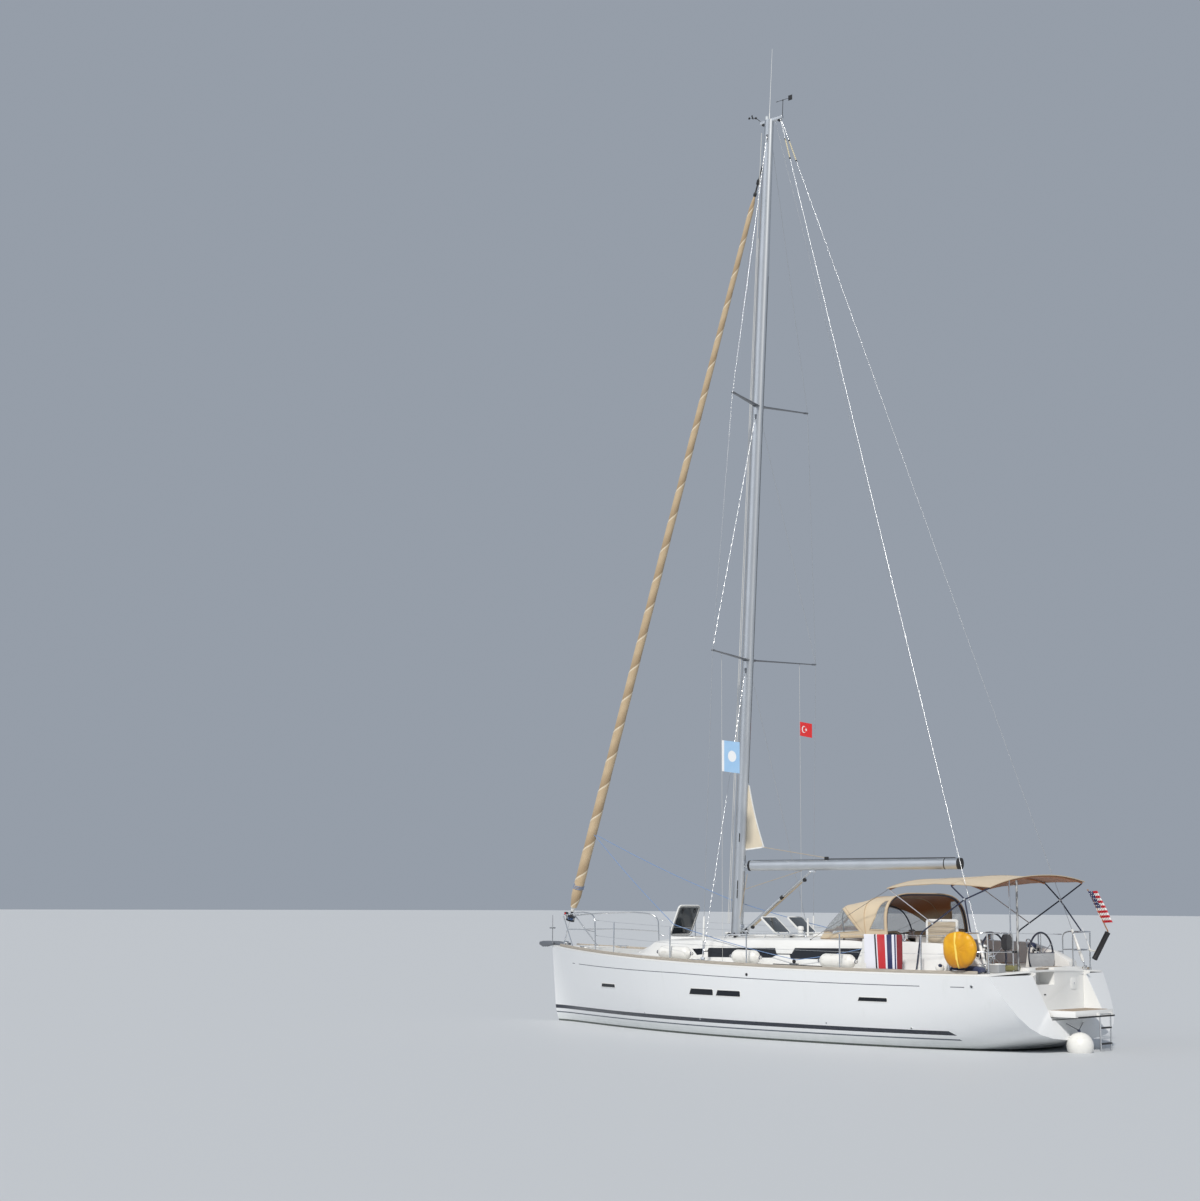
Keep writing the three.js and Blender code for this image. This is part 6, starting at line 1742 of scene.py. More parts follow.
def bimini_binding():
    front, back = BIMINI[0][0], BIMINI[-1][0]
    trim = bmesh.new()
    across = shares(48)
    for x in (front - 0.004, back + 0.004):
        add_sweep(trim, [(x, k * BIMINI_HALF * 0.998, bimini_z(x, k) - 0.0045) for k in across], 0.0085, 10,
                  squash=(0.8, 1))
    for s in BOTH_SIDES:
        line = []
        for i in range(31):
            x = front + (back - front) * i / 30
            t = (x - back) / (front - back)
            edge = BIMINI_SCALLOP * math.sin(math.pi * t) ** 0.7 if 0 < i < 30 else 0
            line.append((x, s * (BIMINI_HALF - 0.003 - edge), bimini_z(x, s) - 0.006))
        add_sweep(trim, line, 0.0085, 10, squash=(1, 0.8))
    for x in (BIMINI_HOOPS[1], BIMINI_SEAM):
        add_sweep(trim, [(x, k * BIMINI_HALF * 0.985, bimini_z(x, k) - 0.0025
                          - (0.012 if x == BIMINI_SEAM else 0)) for k in across],
                  0.016, 8, squash=(1, 0.12))
    piece("bimini_binding", trim, "canvas_trim", slot="canvas", crease=60)
    pockets = bmesh.new()
    for x in BIMINI_HOOPS:
        add_sweep(pockets, [(x, k * (BIMINI_HALF - 0.05), bimini_z(x, k) - BIMINI_UNDER) for k in across],
                  TUBE + 0.0028, 12)
    # the hoop pockets under the canopy take its painted shade tone
    piece("bimini_pockets", pockets, "canvas_under", slot="canvas", crease=60)


def bimini_frame():
    tubes, metal, light = bmesh.new(), bmesh.new(), bmesh.new()
    knee, bend, low_end = Vector((-4.84, 1.5, 2.44)), Vector((-3.97, 1.5, 1.885)), Vector((-3.88, 1.515, 0))
    pivot = bend.lerp(knee, 0.28)
    rail = Vector((PUSHPIT_CORNER, corner_y(PORT), RAIL_TOP))

    def hoop(bm, x, start, radius):
        across = [(x, k * (BIMINI_HALF - 0.016), bimini_z(x, k) - BIMINI_UNDER) for k in shares(20)]
        add_sweep(bm, rounded([(start.x, -start.y, start.z), *across, tuple(start)], 0.05), radius, 14)

    hoop(light, BIMINI_HOOPS[0], pivot, 0.0095)
    hoop(tubes, BIMINI_HOOPS[1], knee, TUBE)
    hoop(tubes, BIMINI_HOOPS[2], knee, TUBE)
    for s in BOTH_SIDES:
        foot = deck_at(low_end.x, s * low_end.y)[0]
        add_sweep(tubes, rounded([(low_end.x, s * low_end.y, foot + 0.02), (bend.x, s * bend.y, bend.z),
                                  (knee.x - 0.012, s * knee.y, knee.z + 0.008)], 0.09), TUBE, 14)
        add_sweep(tubes, [(knee.x, s * knee.y, knee.z), (rail.x, s * rail.y, rail.z)], TUBE, 14)
        add_lathe(metal, [(0, 0), (0.026, 0), (0.026, 0.005), (0.017, 0.010), (0.0155, 0.036), (0, 0.036)],
                  (low_end.x, s * low_end.y, foot + 0.001), UP, 24)
        for spot in (pivot, knee, rail):
            add_lathe(metal, [(0, -0.022), (0.0165, -0.020), (0.018, 0), (0.0165, 0.020), (0, 0.022)],
                      (spot.x, s * spot.y, spot.z), (0, 1, 0), 22)
            add_rod(metal, (spot.x, s * spot.y - 0.027, spot.z), (spot.x, s * spot.y + 0.027, spot.z), 0.005,
                    sides=10)
    piece("bimini_tubes", tubes, "frame_tube", stands_for=("bimini_frame",))
    piece("bimini_front_hoop", light, "stainless")
    top = bimini_z(BIMINI_HOOPS[2], 0.6) - BIMINI_UNDER - 0.004
    x, y = PUSHPIT_AFT, 1.012  # where the struts of the aft hoop stand on the rail
    add_sweep(metal, rounded([(x, y, 1.900), (x + 0.001, 1.010, 1.960), (-5.308, 0.900, top)], 0.2), TUBE, 14)
    add_lathe(metal, [(0, -0.014), (0.020, -0.012), (0.020, 0.012), (0, 0.014)], (x, y, 1.8965), (0, 1, 0),
              22)
    add_lathe(metal, [(TUBE, 0), (0.017, 0.002), (0.017, 0.030), (TUBE, 0.032)], (x, y, 1.906), UP, 22)
    add_lathe(metal, [(0, -0.016), (0.017, -0.014), (0.017, 0.014), (0, 0.016)], (-5.301, 0.900, top + 0.004),
              (0, 1, 0), 22)
    piece("bimini_joints", metal, "stainless")


HOOD = (
    # x, foot x, half-width, foot z, top z
    (-1.340, -1.700, 0.985, 1.762, 1.818), (-1.560, -1.850, 1.025, 1.762, 2.070),
    (-1.880, -2.060, 1.055, 1.765, 2.360), (-2.500, -2.620, 1.170, 1.785, 2.480),
    (-3.060, -3.130, 1.245, 1.800, 2.545),
)
HOOD_FRONT = 1.882  # height of the cloth's front edge on the coachroof


def arch_shares(steps):
    """Steps from -1 to 1 that lie closer together near the feet."""
    return [math.sin(i / steps * math.pi - math.pi / 2) for i in range(steps + 1)]


def hood_arch(row, grow, steps):
    """One arch of the hood from starboard to port, taken in by grow."""
    x0, foot_x, half, foot, top = row
    line = []
    for k in arch_shares(steps):
        share = (1 - abs(k) ** 4.44) ** 0.3
        x = foot_x + (x0 - foot_x) * share
        y = k * (half - grow)
        if row is HOOD[0]:
            blend = min(1, max(0, (abs(y) - 0.40) / 0.06))
            level = deck_at(max(x, -2.6), y)[0] + 0.011
            z = HOOD_FRONT * (1 - blend) + level * blend - grow
        else:
            z = foot + (top - grow - foot) * share
        line.append(Vector((x, y, z)))
    return line


def even(points, count):
    """The run of points set out again at even steps along its length."""
    lengths = [0.0]
    for a, b in zip(points, points[1:]):
        lengths.append(lengths[-1] + (b - a).length)
    out = []
    j = 0
    for i in range(count + 1):
        want = lengths[-1] * i / count
        while j < len(points) - 2 and lengths[j + 1] < want:
            j += 1
        span = lengths[j + 1] - lengths[j]
        out.append(points[j].lerp(points[j + 1], (want - lengths[j]) / span if span else 0))
    return out


HOOD_ARCS = None
HOOD_STEPS = 120
HOOD_MARKS = (0, 0.12, 0.30, 0.65, 1.0)  # where the arches stand, as shares from front to back


def hood_arcs():
    global HOOD_ARCS
    if HOOD_ARCS is None:
        HOOD_ARCS = [even(hood_arch(row, 0.0015, 200), HOOD_STEPS) for row in HOOD]
    return HOOD_ARCS


def smooth_between(a, b, c, d, t):
    """Catmull-Rom between b and c."""
    bend, twist = 2 * a - 5 * b + 4 * c - d, 3 * b - a - 3 * c + d
    return 0.5 * ((2 * b) + (c - a) * t + bend * t * t + twist * t ** 3)


def on_hood(s, v, inset=0.0):
    """Point of the hood at arc share s (0 starboard foot, 1 port foot) and share v from front to back."""
    arcs = hood_arcs()
    place = min(max(s, 0), 1) * HOOD_STEPS
    j = min(int(place), HOOD_STEPS - 1)
    ring = [arc[j].lerp(arc[j + 1], place - j) for arc in arcs]
    v = min(max(v, 0), 1)
    i = 0
    while i < len(HOOD) - 2 and v > HOOD_MARKS[i + 1]:
        i += 1
    t = (v - HOOD_MARKS[i]) / (HOOD_MARKS[i + 1] - HOOD_MARKS[i])
    straight = ring[i].lerp(ring[i + 1], t)
    ring = [ring[0] * 2 - ring[1]] + ring + [ring[-1] * 2 - ring[-2]]
    curved = smooth_between(ring[i], ring[i + 1], ring[i + 2], ring[i + 3], t)
    point = straight.lerp(curved, 0.25)
    if inset:
        middle = Vector((point.x - 0.1, 0, 1.9))
        point += (middle - point).normalized() * inset
    return point


# Windows of the hood in shares (s, v): the middle one, then those of the port side, mirrored to starboard
HOOD_MIDDLE = ((0.40, 0.05), (0.60, 0.05), (0.60, 0.262), (0.40, 0.262))
HOOD_SIDE = (
    ((0.63, 0.05), (0.90, 0.06), (0.965, 0.14), (0.965, 0.57), (0.79, 0.29), (0.63, 0.265)),
    ((0.96, 0.72), (0.90, 0.815), (0.825, 0.865), (0.80, 0.90), (0.80, 0.955), (0.965, 0.955)),
)


def hood_windows():
    mirrored = [tuple((1 - s, v) for s, v in reversed(window)) for window in HOOD_SIDE]
    return [HOOD_MIDDLE, *HOOD_SIDE, *mirrored]


def inside(spot, outline):
    """Whether a point lies in the outline: a ray from it then crosses the edges an odd number of times."""
    crossings = 0
    for (x0, y0), (x1, y1) in zip(outline, outline[1:] + outline[:1]):
        if (y0 > spot[1]) != (y1 > spot[1]) and spot[0] < x0 + (x1 - x0) * (spot[1] - y0) / (y1 - y0):
            crossings += 1
    return crossings % 2 == 1


def hood_sheet(keep, wide=96, deep=56):
    """The part of the hood's surface where keep(s, v) is true, cut cleanly along the window edges."""
    bm = grid(wide, deep)
    bmesh.ops.translate(bm, verts=bm.verts, vec=(0.5, 0.5, 0))
    for window in hood_windows():
        for (x0, y0), (x1, y1) in zip(window, window[1:] + window[:1]):
            low, high = min(x0, x1) - 0.03, max(x0, x1) + 0.03
            down, top = min(y0, y1) - 0.03, max(y0, y1) + 0.03
            middles = {f: f.calc_center_median() for f in bm.faces}
            faces = [f for f, spot in middles.items() if low < spot.x < high and down < spot.y < top]
            geom = list({v for f in faces for v in f.verts} | {e for f in faces for e in f.edges}) + faces
            bmesh.ops.bisect_plane(bm, geom=geom, plane_co=(x0, y0, 0), plane_no=(y1 - y0, x0 - x1, 0))
    gone = [f for f in bm.faces if not keep(tuple(f.calc_center_median()[:2]))]
    bmesh.ops.delete(bm, geom=gone, context="FACES")
    return bm


def hood_wave(s, v):
    """How far the cloth sags inward at a place on the hood: between the bows most, at them least."""
    soft = uneven(s * 9, v * 4, 1) * 0.006 + uneven(s * 21, v * 13, 4) * 0.003
    fore_bow, aft_span = HOOD_MARKS[2], HOOD_MARKS[3]
    if v < aft_span:
        between = math.sin(math.pi * min(1, max(0, (v - fore_bow) / 0.35)))
    else:
        between = math.sin(math.pi * (v - aft_span) / 0.35)
    return abs(soft) * (0.4 + 0.6 * abs(between)) + 0.012 * max(0, between) * (1 - abs(2 * s - 1) ** 3)


def sprayhood():
    panes = hood_windows()
    cloth = hood_sheet(lambda c: not any(inside(c, w) for w in panes))
    for v in cloth.verts:
        s, t = v.co.x, v.co.y
        v.co = on_hood(s, t, hood_wave(s, t))
    thicken(cloth, 0.0016)
    hood = piece("sprayhood_cloth", cloth, "canvas", stands_for=("sprayhood",), crease=70)
    wide = sum((a - b).length for a, b in zip(hood_arcs()[2], hood_arcs()[2][1:]))
    deep = sum((on_hood(0.5, i / 20) - on_hood(0.5, (i + 1) / 20)).length for i in range(20))
    glass = hood_sheet(lambda c: any(inside(c, w) for w in panes), 60, 40)
    for v in glass.verts:
        s, t = v.co.x, v.co.y
        v.co = on_hood(s, t, hood_wave(s, t) + 0.0004)
    cut_out = sum(f.calc_area() for f in glass.faces)
    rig.sheet(hood, flat=(wide, deep), held="stretched", rests_on=["deck_moulding", "sprayhood_bow_fore",
                                                                  "sprayhood_bow_aft"],
             area=wide * deep - cut_out)
    thicken(glass, 0.0008)
    piece("sprayhood_windows", glass, "vinyl_window", slot="canvas", crease=60)


def sprayhood_trim():
    trim = bmesh.new()
    for window in hood_windows():
        line = []
        for (x0, y0), (x1, y1) in zip(window, window[1:] + window[:1]):
            for i in range(9):
                t = i / 9
                line.append(on_hood(x0 + (x1 - x0) * t, y0 + (y1 - y0) * t, hood_wave(x0, y0) - 0.0002))
        add_sweep(trim, line, 0.011, 8, closed=True, squash=(0.32, 0.9))
    for v in (0.006, 0.994):
        line = [on_hood(i / 90, v, 0.0015) for i in range(91)]
        add_sweep(trim, line, 0.0085 if v < 0.9 else 0.012, 8, squash=(1, 0.55))
    seam = even([Vector(p) for p in ((0.03, 0.62, 0), (0.23, 0.30, 0), (0.77, 0.30, 0), (0.97, 0.62, 0))], 60)
    add_sweep(trim, [on_hood(p.x, p.y, 0.0015) for p in seam], 0.007, 8, squash=(1, 0.4))
    add_sweep(trim, [on_hood(i / 90, 0.655, 0.0015) for i in range(91)], 0.016, 8, squash=(1, 0.15))
    for s in (0.006, 0.994):
        add_sweep(trim, [on_hood(s, 0.02 + i / 30 * 0.96, 0.001) for i in range(31)], 0.009, 8,
                  squash=(1, 0.6))
    piece("sprayhood_binding", trim, "canvas_trim", slot="canvas", crease=60)
    studs = bmesh.new()
    for s in (0.012, 0.988):
        for i in range(9):
            spot = on_hood(s, 0.08 + i * 0.105, -0.002)
            add_ball(studs, spot, 0.0065, (1, 0.5, 1), 6)
    piece("sprayhood_studs", studs, "stainless")


def sprayhood_frame():
    for name, row, dx in (("sprayhood_bow_fore", HOOD[2], -0.04), ("sprayhood_bow_aft", HOOD[4], 0.02)):
        bm = bmesh.new()
        ring = [p + Vector((dx, 0, 0)) for p in hood_arch(row, 0.0265, 40)]
        low = min(v.co.z for v in frame["nodes"][name].data.vertices)
        ring = [p for p in ring if p.z > low + 0.06]
        ends = [Vector((ring[0].x, ring[0].y, low + 0.006)), Vector((ring[-1].x, ring[-1].y, low + 0.006))]
        add_sweep(bm, [ends[0], *ring, ends[1]], TUBE, 14)
        for end in ends:
            add_lathe(bm, [(0, 0), (0.024, 0), (0.024, 0.005), (0.017, 0.010), (0.015, 0.03), (0, 0.03)],
                      (end.x, end.y, low), UP, 22)
        piece(name + "_tube", bm, "frame_tube", stands_for=(name,))


# Loose gear on deck and over the side

FENDERS = ((1.490, 0.850, 1.430), (-0.225, 0.700, 1.480),
           (-2.270, 0.820, 1.520))  # middle, length, distance out
FENDER_RADIUS = 0.122


def fenders():
    for n, (x, long, y) in enumerate(FENDERS, 1):
        r, h = FENDER_RADIUS, long / 2
        a = Vector((x - h, y, deck_at(x - h, y)[0] + r + 0.0003))
        b = Vector((x + h, y, deck_at(x + h, y)[0] + r + 0.0003))
        along = (b - a).normalized()
        rows = [(0, 0.0), (0.026, 0.0), (0.030, 0.006), (0.031, 0.034), (0.036, 0.050), (0.060, 0.066),
                (0.090, 0.092), (0.110, 0.122), (0.1195, 0.150), (r, 0.178)]
        body = bmesh.new()
        ribs = []
        for i in range(1, 24):
            t = 0.178 + (long - 0.356) * i / 24
            ribs.append((r - (0.0016 if i % 2 else 0), t))
        profile = rows + ribs + [(p, long - q) for p, q in reversed(rows)]
        add_lathe(body, profile, a, along, 40)
        piece(f"fender_{n}_body", body, "fender_vinyl", stands_for=(f"fender_{n}",), crease=60)
        ends = bmesh.new()
        for t, way in ((0.0, 1), (long, -1)):
            add_lathe(ends, [(0.0155, 0.004), (0.0155, 0.0), (0.024, -0.0004), (0.0275, 0.006),
                             (0.0275, 0.012), (0.0315, 0.014), (0.0315, 0.030), (0.033, 0.034)],
                      a + along * t, along * way, 24)
        piece(f"fender_{n}_ends", ends, "navy_vinyl", slot="fender_vinyl")


TRANSOM_EYES, EYES_HEIGHT = ((-5.886, 0.260), (-5.866, -0.420)), 0.470


def ball_fender():
    body = bmesh.new()
    centre = Vector((-6.195, 0.300, 0.104))
    r = 0.218
    profile = [(0, -r)]
    for i in range(1, 34):
        t = -math.pi / 2 + i * math.pi / 34
        if r * math.cos(t) < 0.042 and t > 0:
            break
        profile.append((r * math.cos(t), r * math.sin(t)))
    profile += [(0.034, 0.214), (0.026, 0.220), (0, 0.220)]
    add_lathe(body, profile, centre, UP, 48)
    piece("round_fender", body, "fender_vinyl", stands_for=("ball_fender",), crease=60)
    neck = bmesh.new()
    top = Vector((-6.180, 0.300, 0.350))
    low = Vector((-6.192, 0.300, 0.312))
    add_rod(neck, low, top, 0.026, 0.020, 24)
    add_lathe(neck, [(0.007, -0.010), (0.021, -0.012), (0.024, 0), (0.021, 0.012), (0.007, 0.010),
                     (0.007, -0.010)],
              (-6.181, 0.300, 0.346), (0, 1, 0), 24)
    piece("round_fender_neck", neck, "navy_vinyl", slot="fender_vinyl")
    lines = bmesh.new()
    for x, y in TRANSOM_EYES:
        add_wire(lines, top, (x, y, EYES_HEIGHT), 0.0055, 6)
    add_ball(lines, (-6.176, 0.299, 0.353), 0.014, (1, 1, 1), 8)
    piece("round_fender_lines", lines, "rope_black", slot="rigging_wire")
    eyes = bmesh.new()
    for x, y in TRANSOM_EYES:
        add_lathe(eyes, [(0, 0), (0.018, 0), (0.018, 0.003), (0.006, 0.006), (0.006, 0.020), (0.010, 0.024),
                         (0, 0.026)],
                  (x + 0.019, y, EYES_HEIGHT + 0.003), (-1, 0, 0), 18)
    piece("transom_eyes", eyes, "stainless")


TOWEL_FRONT, TOWEL_BACK, TOWEL_OUT, TOWEL_IN = -3.090, -3.830, 0.555, 0.470
TOWEL_BEND = 0.0077  # radius of its turn over the wire


def towel():
    """A striped towel over the upper lifeline, its short side inboard."""
    ax, bx = STANCHIONS[3], STANCHIONS[4]
    ay, by = rail_y(ax, PORT), rail_y(bx, PORT)
    az, bz = deck_at(ax, ay)[0] + WIRE_HEIGHTS[1], deck_at(bx, by)[0] + WIRE_HEIGHTS[1]
    cloth = grid(46, 70)
    layer = cloth.verts.layers.float.new("stripe")
    over = math.pi * TOWEL_BEND
    total = TOWEL_OUT + over + TOWEL_IN
    for v in cloth.verts:
        u, w = v.co.x + 0.5, v.co.y + 0.5
        run = w * total
        v[layer] = u
        skew = 0.0
        if run < TOWEL_OUT:
            level = -(TOWEL_OUT - run)
            out = TOWEL_BEND
            skew = -0.045 * (TOWEL_OUT - run) / TOWEL_OUT * (1 - u)
        elif run < TOWEL_OUT + over:
            turn = (run - TOWEL_OUT) / TOWEL_BEND
            level = TOWEL_BEND * math.sin(turn)
            out = TOWEL_BEND * math.cos(turn)
        else:
            level = -(run - TOWEL_OUT - over)
            out = -TOWEL_BEND
        x = TOWEL_FRONT + (TOWEL_BACK - TOWEL_FRONT) * u
        t = (x - ax) / (bx - ax)
        hang = min(1, abs(level) / 0.12) if level < 0 else 0
        fold = (math.sin(u * 17 + 0.6) * 0.45 + uneven(u * 6, run * 2.2, 3)) * 0.0026 * hang
        v.co = Vector((x + skew, ay + (by - ay) * t + out + fold, az + (bz - az) * t + level))
    thicken(cloth, 0.0024)
    obj = piece("striped_towel", cloth, "towel_cloth", stands_for=("towel",), crease=70)
    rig.sheet(obj, flat=(abs(TOWEL_BACK - TOWEL_FRONT), total), held="draped", rests_on=["lifelines_port"])


def finish_towel_cloth():
    f = Finish((0.8, 0.8, 0.85), 0.92, Sheen_Weight=0.35)
    u = f.attribute("stripe")
    white, black, red = (0.78, 0.78, 0.84), (0.012, 0.012, 0.018), (0.54, 0.022, 0.030)
    navy, deep = (0.016, 0.024, 0.10), (0.22, 0.012, 0.020)
    colour = white
    for low, high, tone in ((0.27, 0.315, black), (0.345, 0.55, red), (0.60, 0.735, navy), (0.80, 0.84, navy),
                            (0.86, 2.0, deep)):
        colour = f.mix(u.between(low, high), colour, tone)
    fade = f.grain(3, 5)
    f.paint(f.mix(fade.rise(0.4, 0.8) * 0.12, colour, (0.6, 0.58, 0.6)))
    f.bump(f.cells(300) * 0.5 + f.grain(60, 2), 0.0008, 0.6)
    return f


def yellow_cover():
    """A soft round cover strapped to the port rail, its cloth drawn in and pleated towards the foot."""
    a = Vector((PUSHPIT_FOOT, abs(rail_y(PUSHPIT_FOOT, PORT)), 1.590))
    b = Vector((PUSHPIT_CORNER, corner_y(PORT), 1.600))
    outward = Vector((a.y - b.y, b.x - a.x, 0)).normalized() * -1
    base = a.lerp(b, 0.66) + outward * (TUBE * 0.8 * 0.866) + UP * 0.036
    rows = [(0, 0.006), (0.10, 0.004), (0.20, 0.006), (0.262, 0.022), (0.292, 0.050), (0.307, 0.085),
            (0.309, 0.115), (0.294, 0.148), (0.258, 0.174), (0.20, 0.190), (0.10, 0.196), (0, 0.197)]
    fine = []
    for (r0, h0), (r1, h1) in zip(rows, rows[1:]):
        fine += [(r0 + (r1 - r0) * i / 3, h0 + (h1 - h0) * i / 3) for i in range(3)]
    fine.append(rows[-1])
    bm = bmesh.new()
    add_lathe(bm, fine, base, outward, 84)
    across = outward.cross(UP).normalized()
    for v in bm.verts:
        off = v.co - base
        h = off.dot(outward)
        out = off - outward * h
        r = out.length
        if r < 1e-5:
            continue
        angle = math.atan2(out.z, out.dot(across))
        low = max(0.0, -math.sin(angle))
        c, w = abs(math.cos(angle)), abs(math.sin(angle))
        n = 2.9 if math.cos(angle) > 0 else 2.25
        grow = (c ** n + w ** n) ** (-1 / n) * 0.965
        rim = min(1.0, r / 0.26)
        out.z *= 1 + (grow - 1) * rim
        gather = 1 - 0.15 * low * low * rim
        v.co = base + outward * h + across * (out.dot(across) * (1 + (grow - 1) * rim) * gather) + UP * out.z
        crumple = uneven(off.dot(across) * 9, out.z * 5, 3.0) * 0.016 * (h > 0.10)
        fold = math.sin(angle * 13 + math.sin(angle * 4) * 1.5)
        pleat = fold * 0.010 * (0.12 + low * low) * rim ** 3 + crumple
        v.co += outward * (pleat * (h > 0.10)) + UP * (pleat * 0.4)
        out = v.co - base - outward * h
        fold = uneven(math.cos(angle) * 2.2, math.sin(angle) * 2.2, h * 4) * 0.010
        fold += abs(uneven(math.cos(angle) * 6, math.sin(angle) * 6, h * 9 + 3)) * -0.009
        belt = math.exp(-((h - 0.10) / 0.012) ** 2) * 0.010
        shrink = min(0.0, fold) * (r / 0.31) - belt * (r > 0.25)
        v.co += out.normalized() * (shrink - 0.004) + UP * (-0.004 * low)
        v.co -= outward * (abs(fold) * 0.6 if h > 0.15 else 0)
    skin = BVHTree.FromBMesh(bm)
    obj = piece("yellow_bag", bm, "yellow_vinyl", stands_for=("yellow_cover",), crease=75)
    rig.padded(obj, 0.8)
    strap = bmesh.new()
    line = []
    for i in range(41):
        t = i / 40
        high, wide = 0.292 - 0.584 * t, 0.055 - 0.05 * t
        start, end = base + UP * high + across * wide + outward * 0.5, -outward
        hit = skin.ray_cast(start, end, 0.6)
        if hit[0] is not None:
            line.append(hit[0] + outward * 0.0012)
    add_sweep(strap, line, 0.017, 8, squash=(1, 0.10))
    piece("yellow_bag_strap", strap, "yellow_strap", slot="yellow_vinyl")


def flag_grid(columns, rows, at):
    """A sheet shaped by at(u, w); it keeps u, out to the fly, and w, down the hoist, for its colours."""
    cloth = grid(columns, rows)
    fly = cloth.verts.layers.float.new("fly")
    hoist = cloth.verts.layers.float.new("hoist")
    for v in cloth.verts:
        u, w = v.co.x + 0.5, v.co.y + 0.5
        v[fly], v[hoist] = u, w
        v.co = at(u, w)
    thicken(cloth, 0.0008)
    return cloth


def flag_cloth(name, top, along, drop, look, stands_for):
    """A flag hanging from its hoist."""
    bulge, twist = 0.0032, 7.0
    top, along, drop = Vector(top), Vector(along), Vector(drop)
    side = along.cross(drop).normalized()

    def at(u, w):
        wave = math.sin(u * twist + w * 1.3 + 0.5) * bulge * min(1, u * 3)
        small = uneven(u * 4, w * 3, len(name)) * bulge * 0.5 * min(1, u * 3)
        return top + along * u + drop * w + side * (wave + small)

    obj = piece(name, flag_grid(34, 26, at), look, slot="flag_cloth", stands_for=stands_for, crease=80)
    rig.sheet(obj, flat=(along.length * 1.02, drop.length * 1.02), held="hung")


FLAG_OUT = 1.18  # distance of the flag lines off the centreline


def flags():
    for side, low, high, wide, look in (
        (PORT, 4.760, 5.330, 0.420, "burgee"), (STARBOARD, 5.560, 5.830, 0.290, "red_flag"),
    ):
        name = side_name(side)
        tip = spreader_tip(LOWER, side, WIRE + LOWER["clear"])
        t = (FLAG_OUT - 0.03) / (abs(tip.y) - 0.03)
        root_x = mast_x(LOWER["z"]) - 0.02
        x = root_x + (tip.x - root_x) * t
        y = side * FLAG_OUT
        under = LOWER["z"] + 0.018 * t - (0.017 - 0.006 * t) - 0.0006
        foot = deck_at(x, y)[0] + 0.0008
        flag_cloth(look + "_flag", (x + 0.0005, y, high), (-wide, 0, -0.06), (0, 0, low - high), look,
                   ("flag_" + name,))
        line = bmesh.new()
        add_wire(line, (x, y, foot), (x, y, under), 0.0024, 4, 8)
        piece("flag_line_" + name, line, "rope_white", slot="rigging_wire")
        small = bmesh.new()
        add_lathe(small, [(0, 0), (0.011, 0), (0.011, 0.003), (0.005, 0.005), (0.005, 0.018), (0, 0.019)],
                  (x, y, foot), UP, 16)
        add_ball(small, (x, y, under - 0.012), 0.011, (0.7, 0.7, 1.1), 8)
        piece("flag_line_ends_" + name, small, "stainless")


ENSIGN_HOIST = 0.590  # length of its inner edge


def ensign():
    foot = HOLDER_TOP + (HOLDER_TOP - HOLDER_FOOT).normalized() * 0.0096
    head = Vector((-5.375, -1.512, 2.620))
    along = (head - foot).normalized()
    staff = bmesh.new()
    add_rod(staff, foot, head, 0.0108, 0.0075, 20)
    add_ball(staff, head - along * 0.004, 0.0155, (1, 1, 0.8), 10)
    piece("ensign_staff", staff, "varnish", slot="teak")
    top = head - along * 0.030 + Vector((0.006, 0, 0))

    def at(u, w):
        spread = Vector((-0.172, 0, 0.010)) * u
        fold = math.sin(u * 35 + w * 2.0) * 0.0175
        sway = Vector((0.004 * math.sin(w * 9), 0, 0)) * u
        return top + spread - along * ENSIGN_HOIST * w + Vector((0, fold, 0)) + sway

    obj = piece("ensign_cloth", flag_grid(110, 34, at), "ensign_cloth", slot="flag_cloth",
                stands_for=("ensign",), crease=80)
    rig.sheet(obj, flat=(0.42, 0.60), held="gathered", rests_on=["ensign"])


def finish_burgee():
    """A pale blue club flag with a white hoist and a plain white disc."""
    f = Finish((0.32, 0.52, 0.75), 0.85, Sheen_Weight=0.15)
    u, w = f.attribute("fly"), f.attribute("hoist")
    blue = f.mix(f.grain(6, 4), (0.28, 0.49, 0.74), (0.38, 0.58, 0.80))
    disc = ((u - 0.58) * (u - 0.58) * 0.62 + (w - 0.48) * (w - 0.48)).below(0.032)
    colour = f.mix(u.below(0.13), blue, (0.80, 0.80, 0.80))
    f.paint(f.mix(disc, colour, (0.80, 0.81, 0.82)))
    f.bump(f.grain(20, 4), 0.0006, 0.5)
    return f


def finish_red_flag():
    """A red national flag with a white crescent and a five-pointed star."""
    f = Finish((0.66, 0.015, 0.020), 0.82, Sheen_Weight=0.15)
    u, w = f.attribute("fly"), f.attribute("hoist")
    x, y = u * 1.5, w

    def disc(cx, cy, r):
        return ((x - cx) * (x - cx) + (y - cy) * (y - cy)).below(r * r)

    crescent = disc(0.50, 0.5, 0.25) * (1 - disc(0.5625, 0.5, 0.20))
    counts = None
    for i in range(5):
        a = i * math.tau / 5 + math.pi
        side = (x - 0.79) * math.cos(a) + (y - 0.5) * math.sin(a)
        hit = side.below(0.0475)
        counts = hit if counts is None else counts + hit
    star = counts.above(3.5) * disc(0.79, 0.5, 0.125)
    red = f.mix(f.grain(7, 4), (0.62, 0.012, 0.018), (0.72, 0.030, 0.030))
    f.paint(f.mix(crescent.either(star), red, (0.82, 0.80, 0.80)))
    f.bump(f.grain(30, 4), 0.001, 0.6)
    return f


FLY_LENGTH, STRIPES = 1.3, 13  # lengths as shares of the hoist
CANTON_WIDE, CANTON_HIGH = 0.76, 7 / 13
STAR_COLUMNS, STAR_ROWS, STAR_SIZE = 12, 10, 0.030


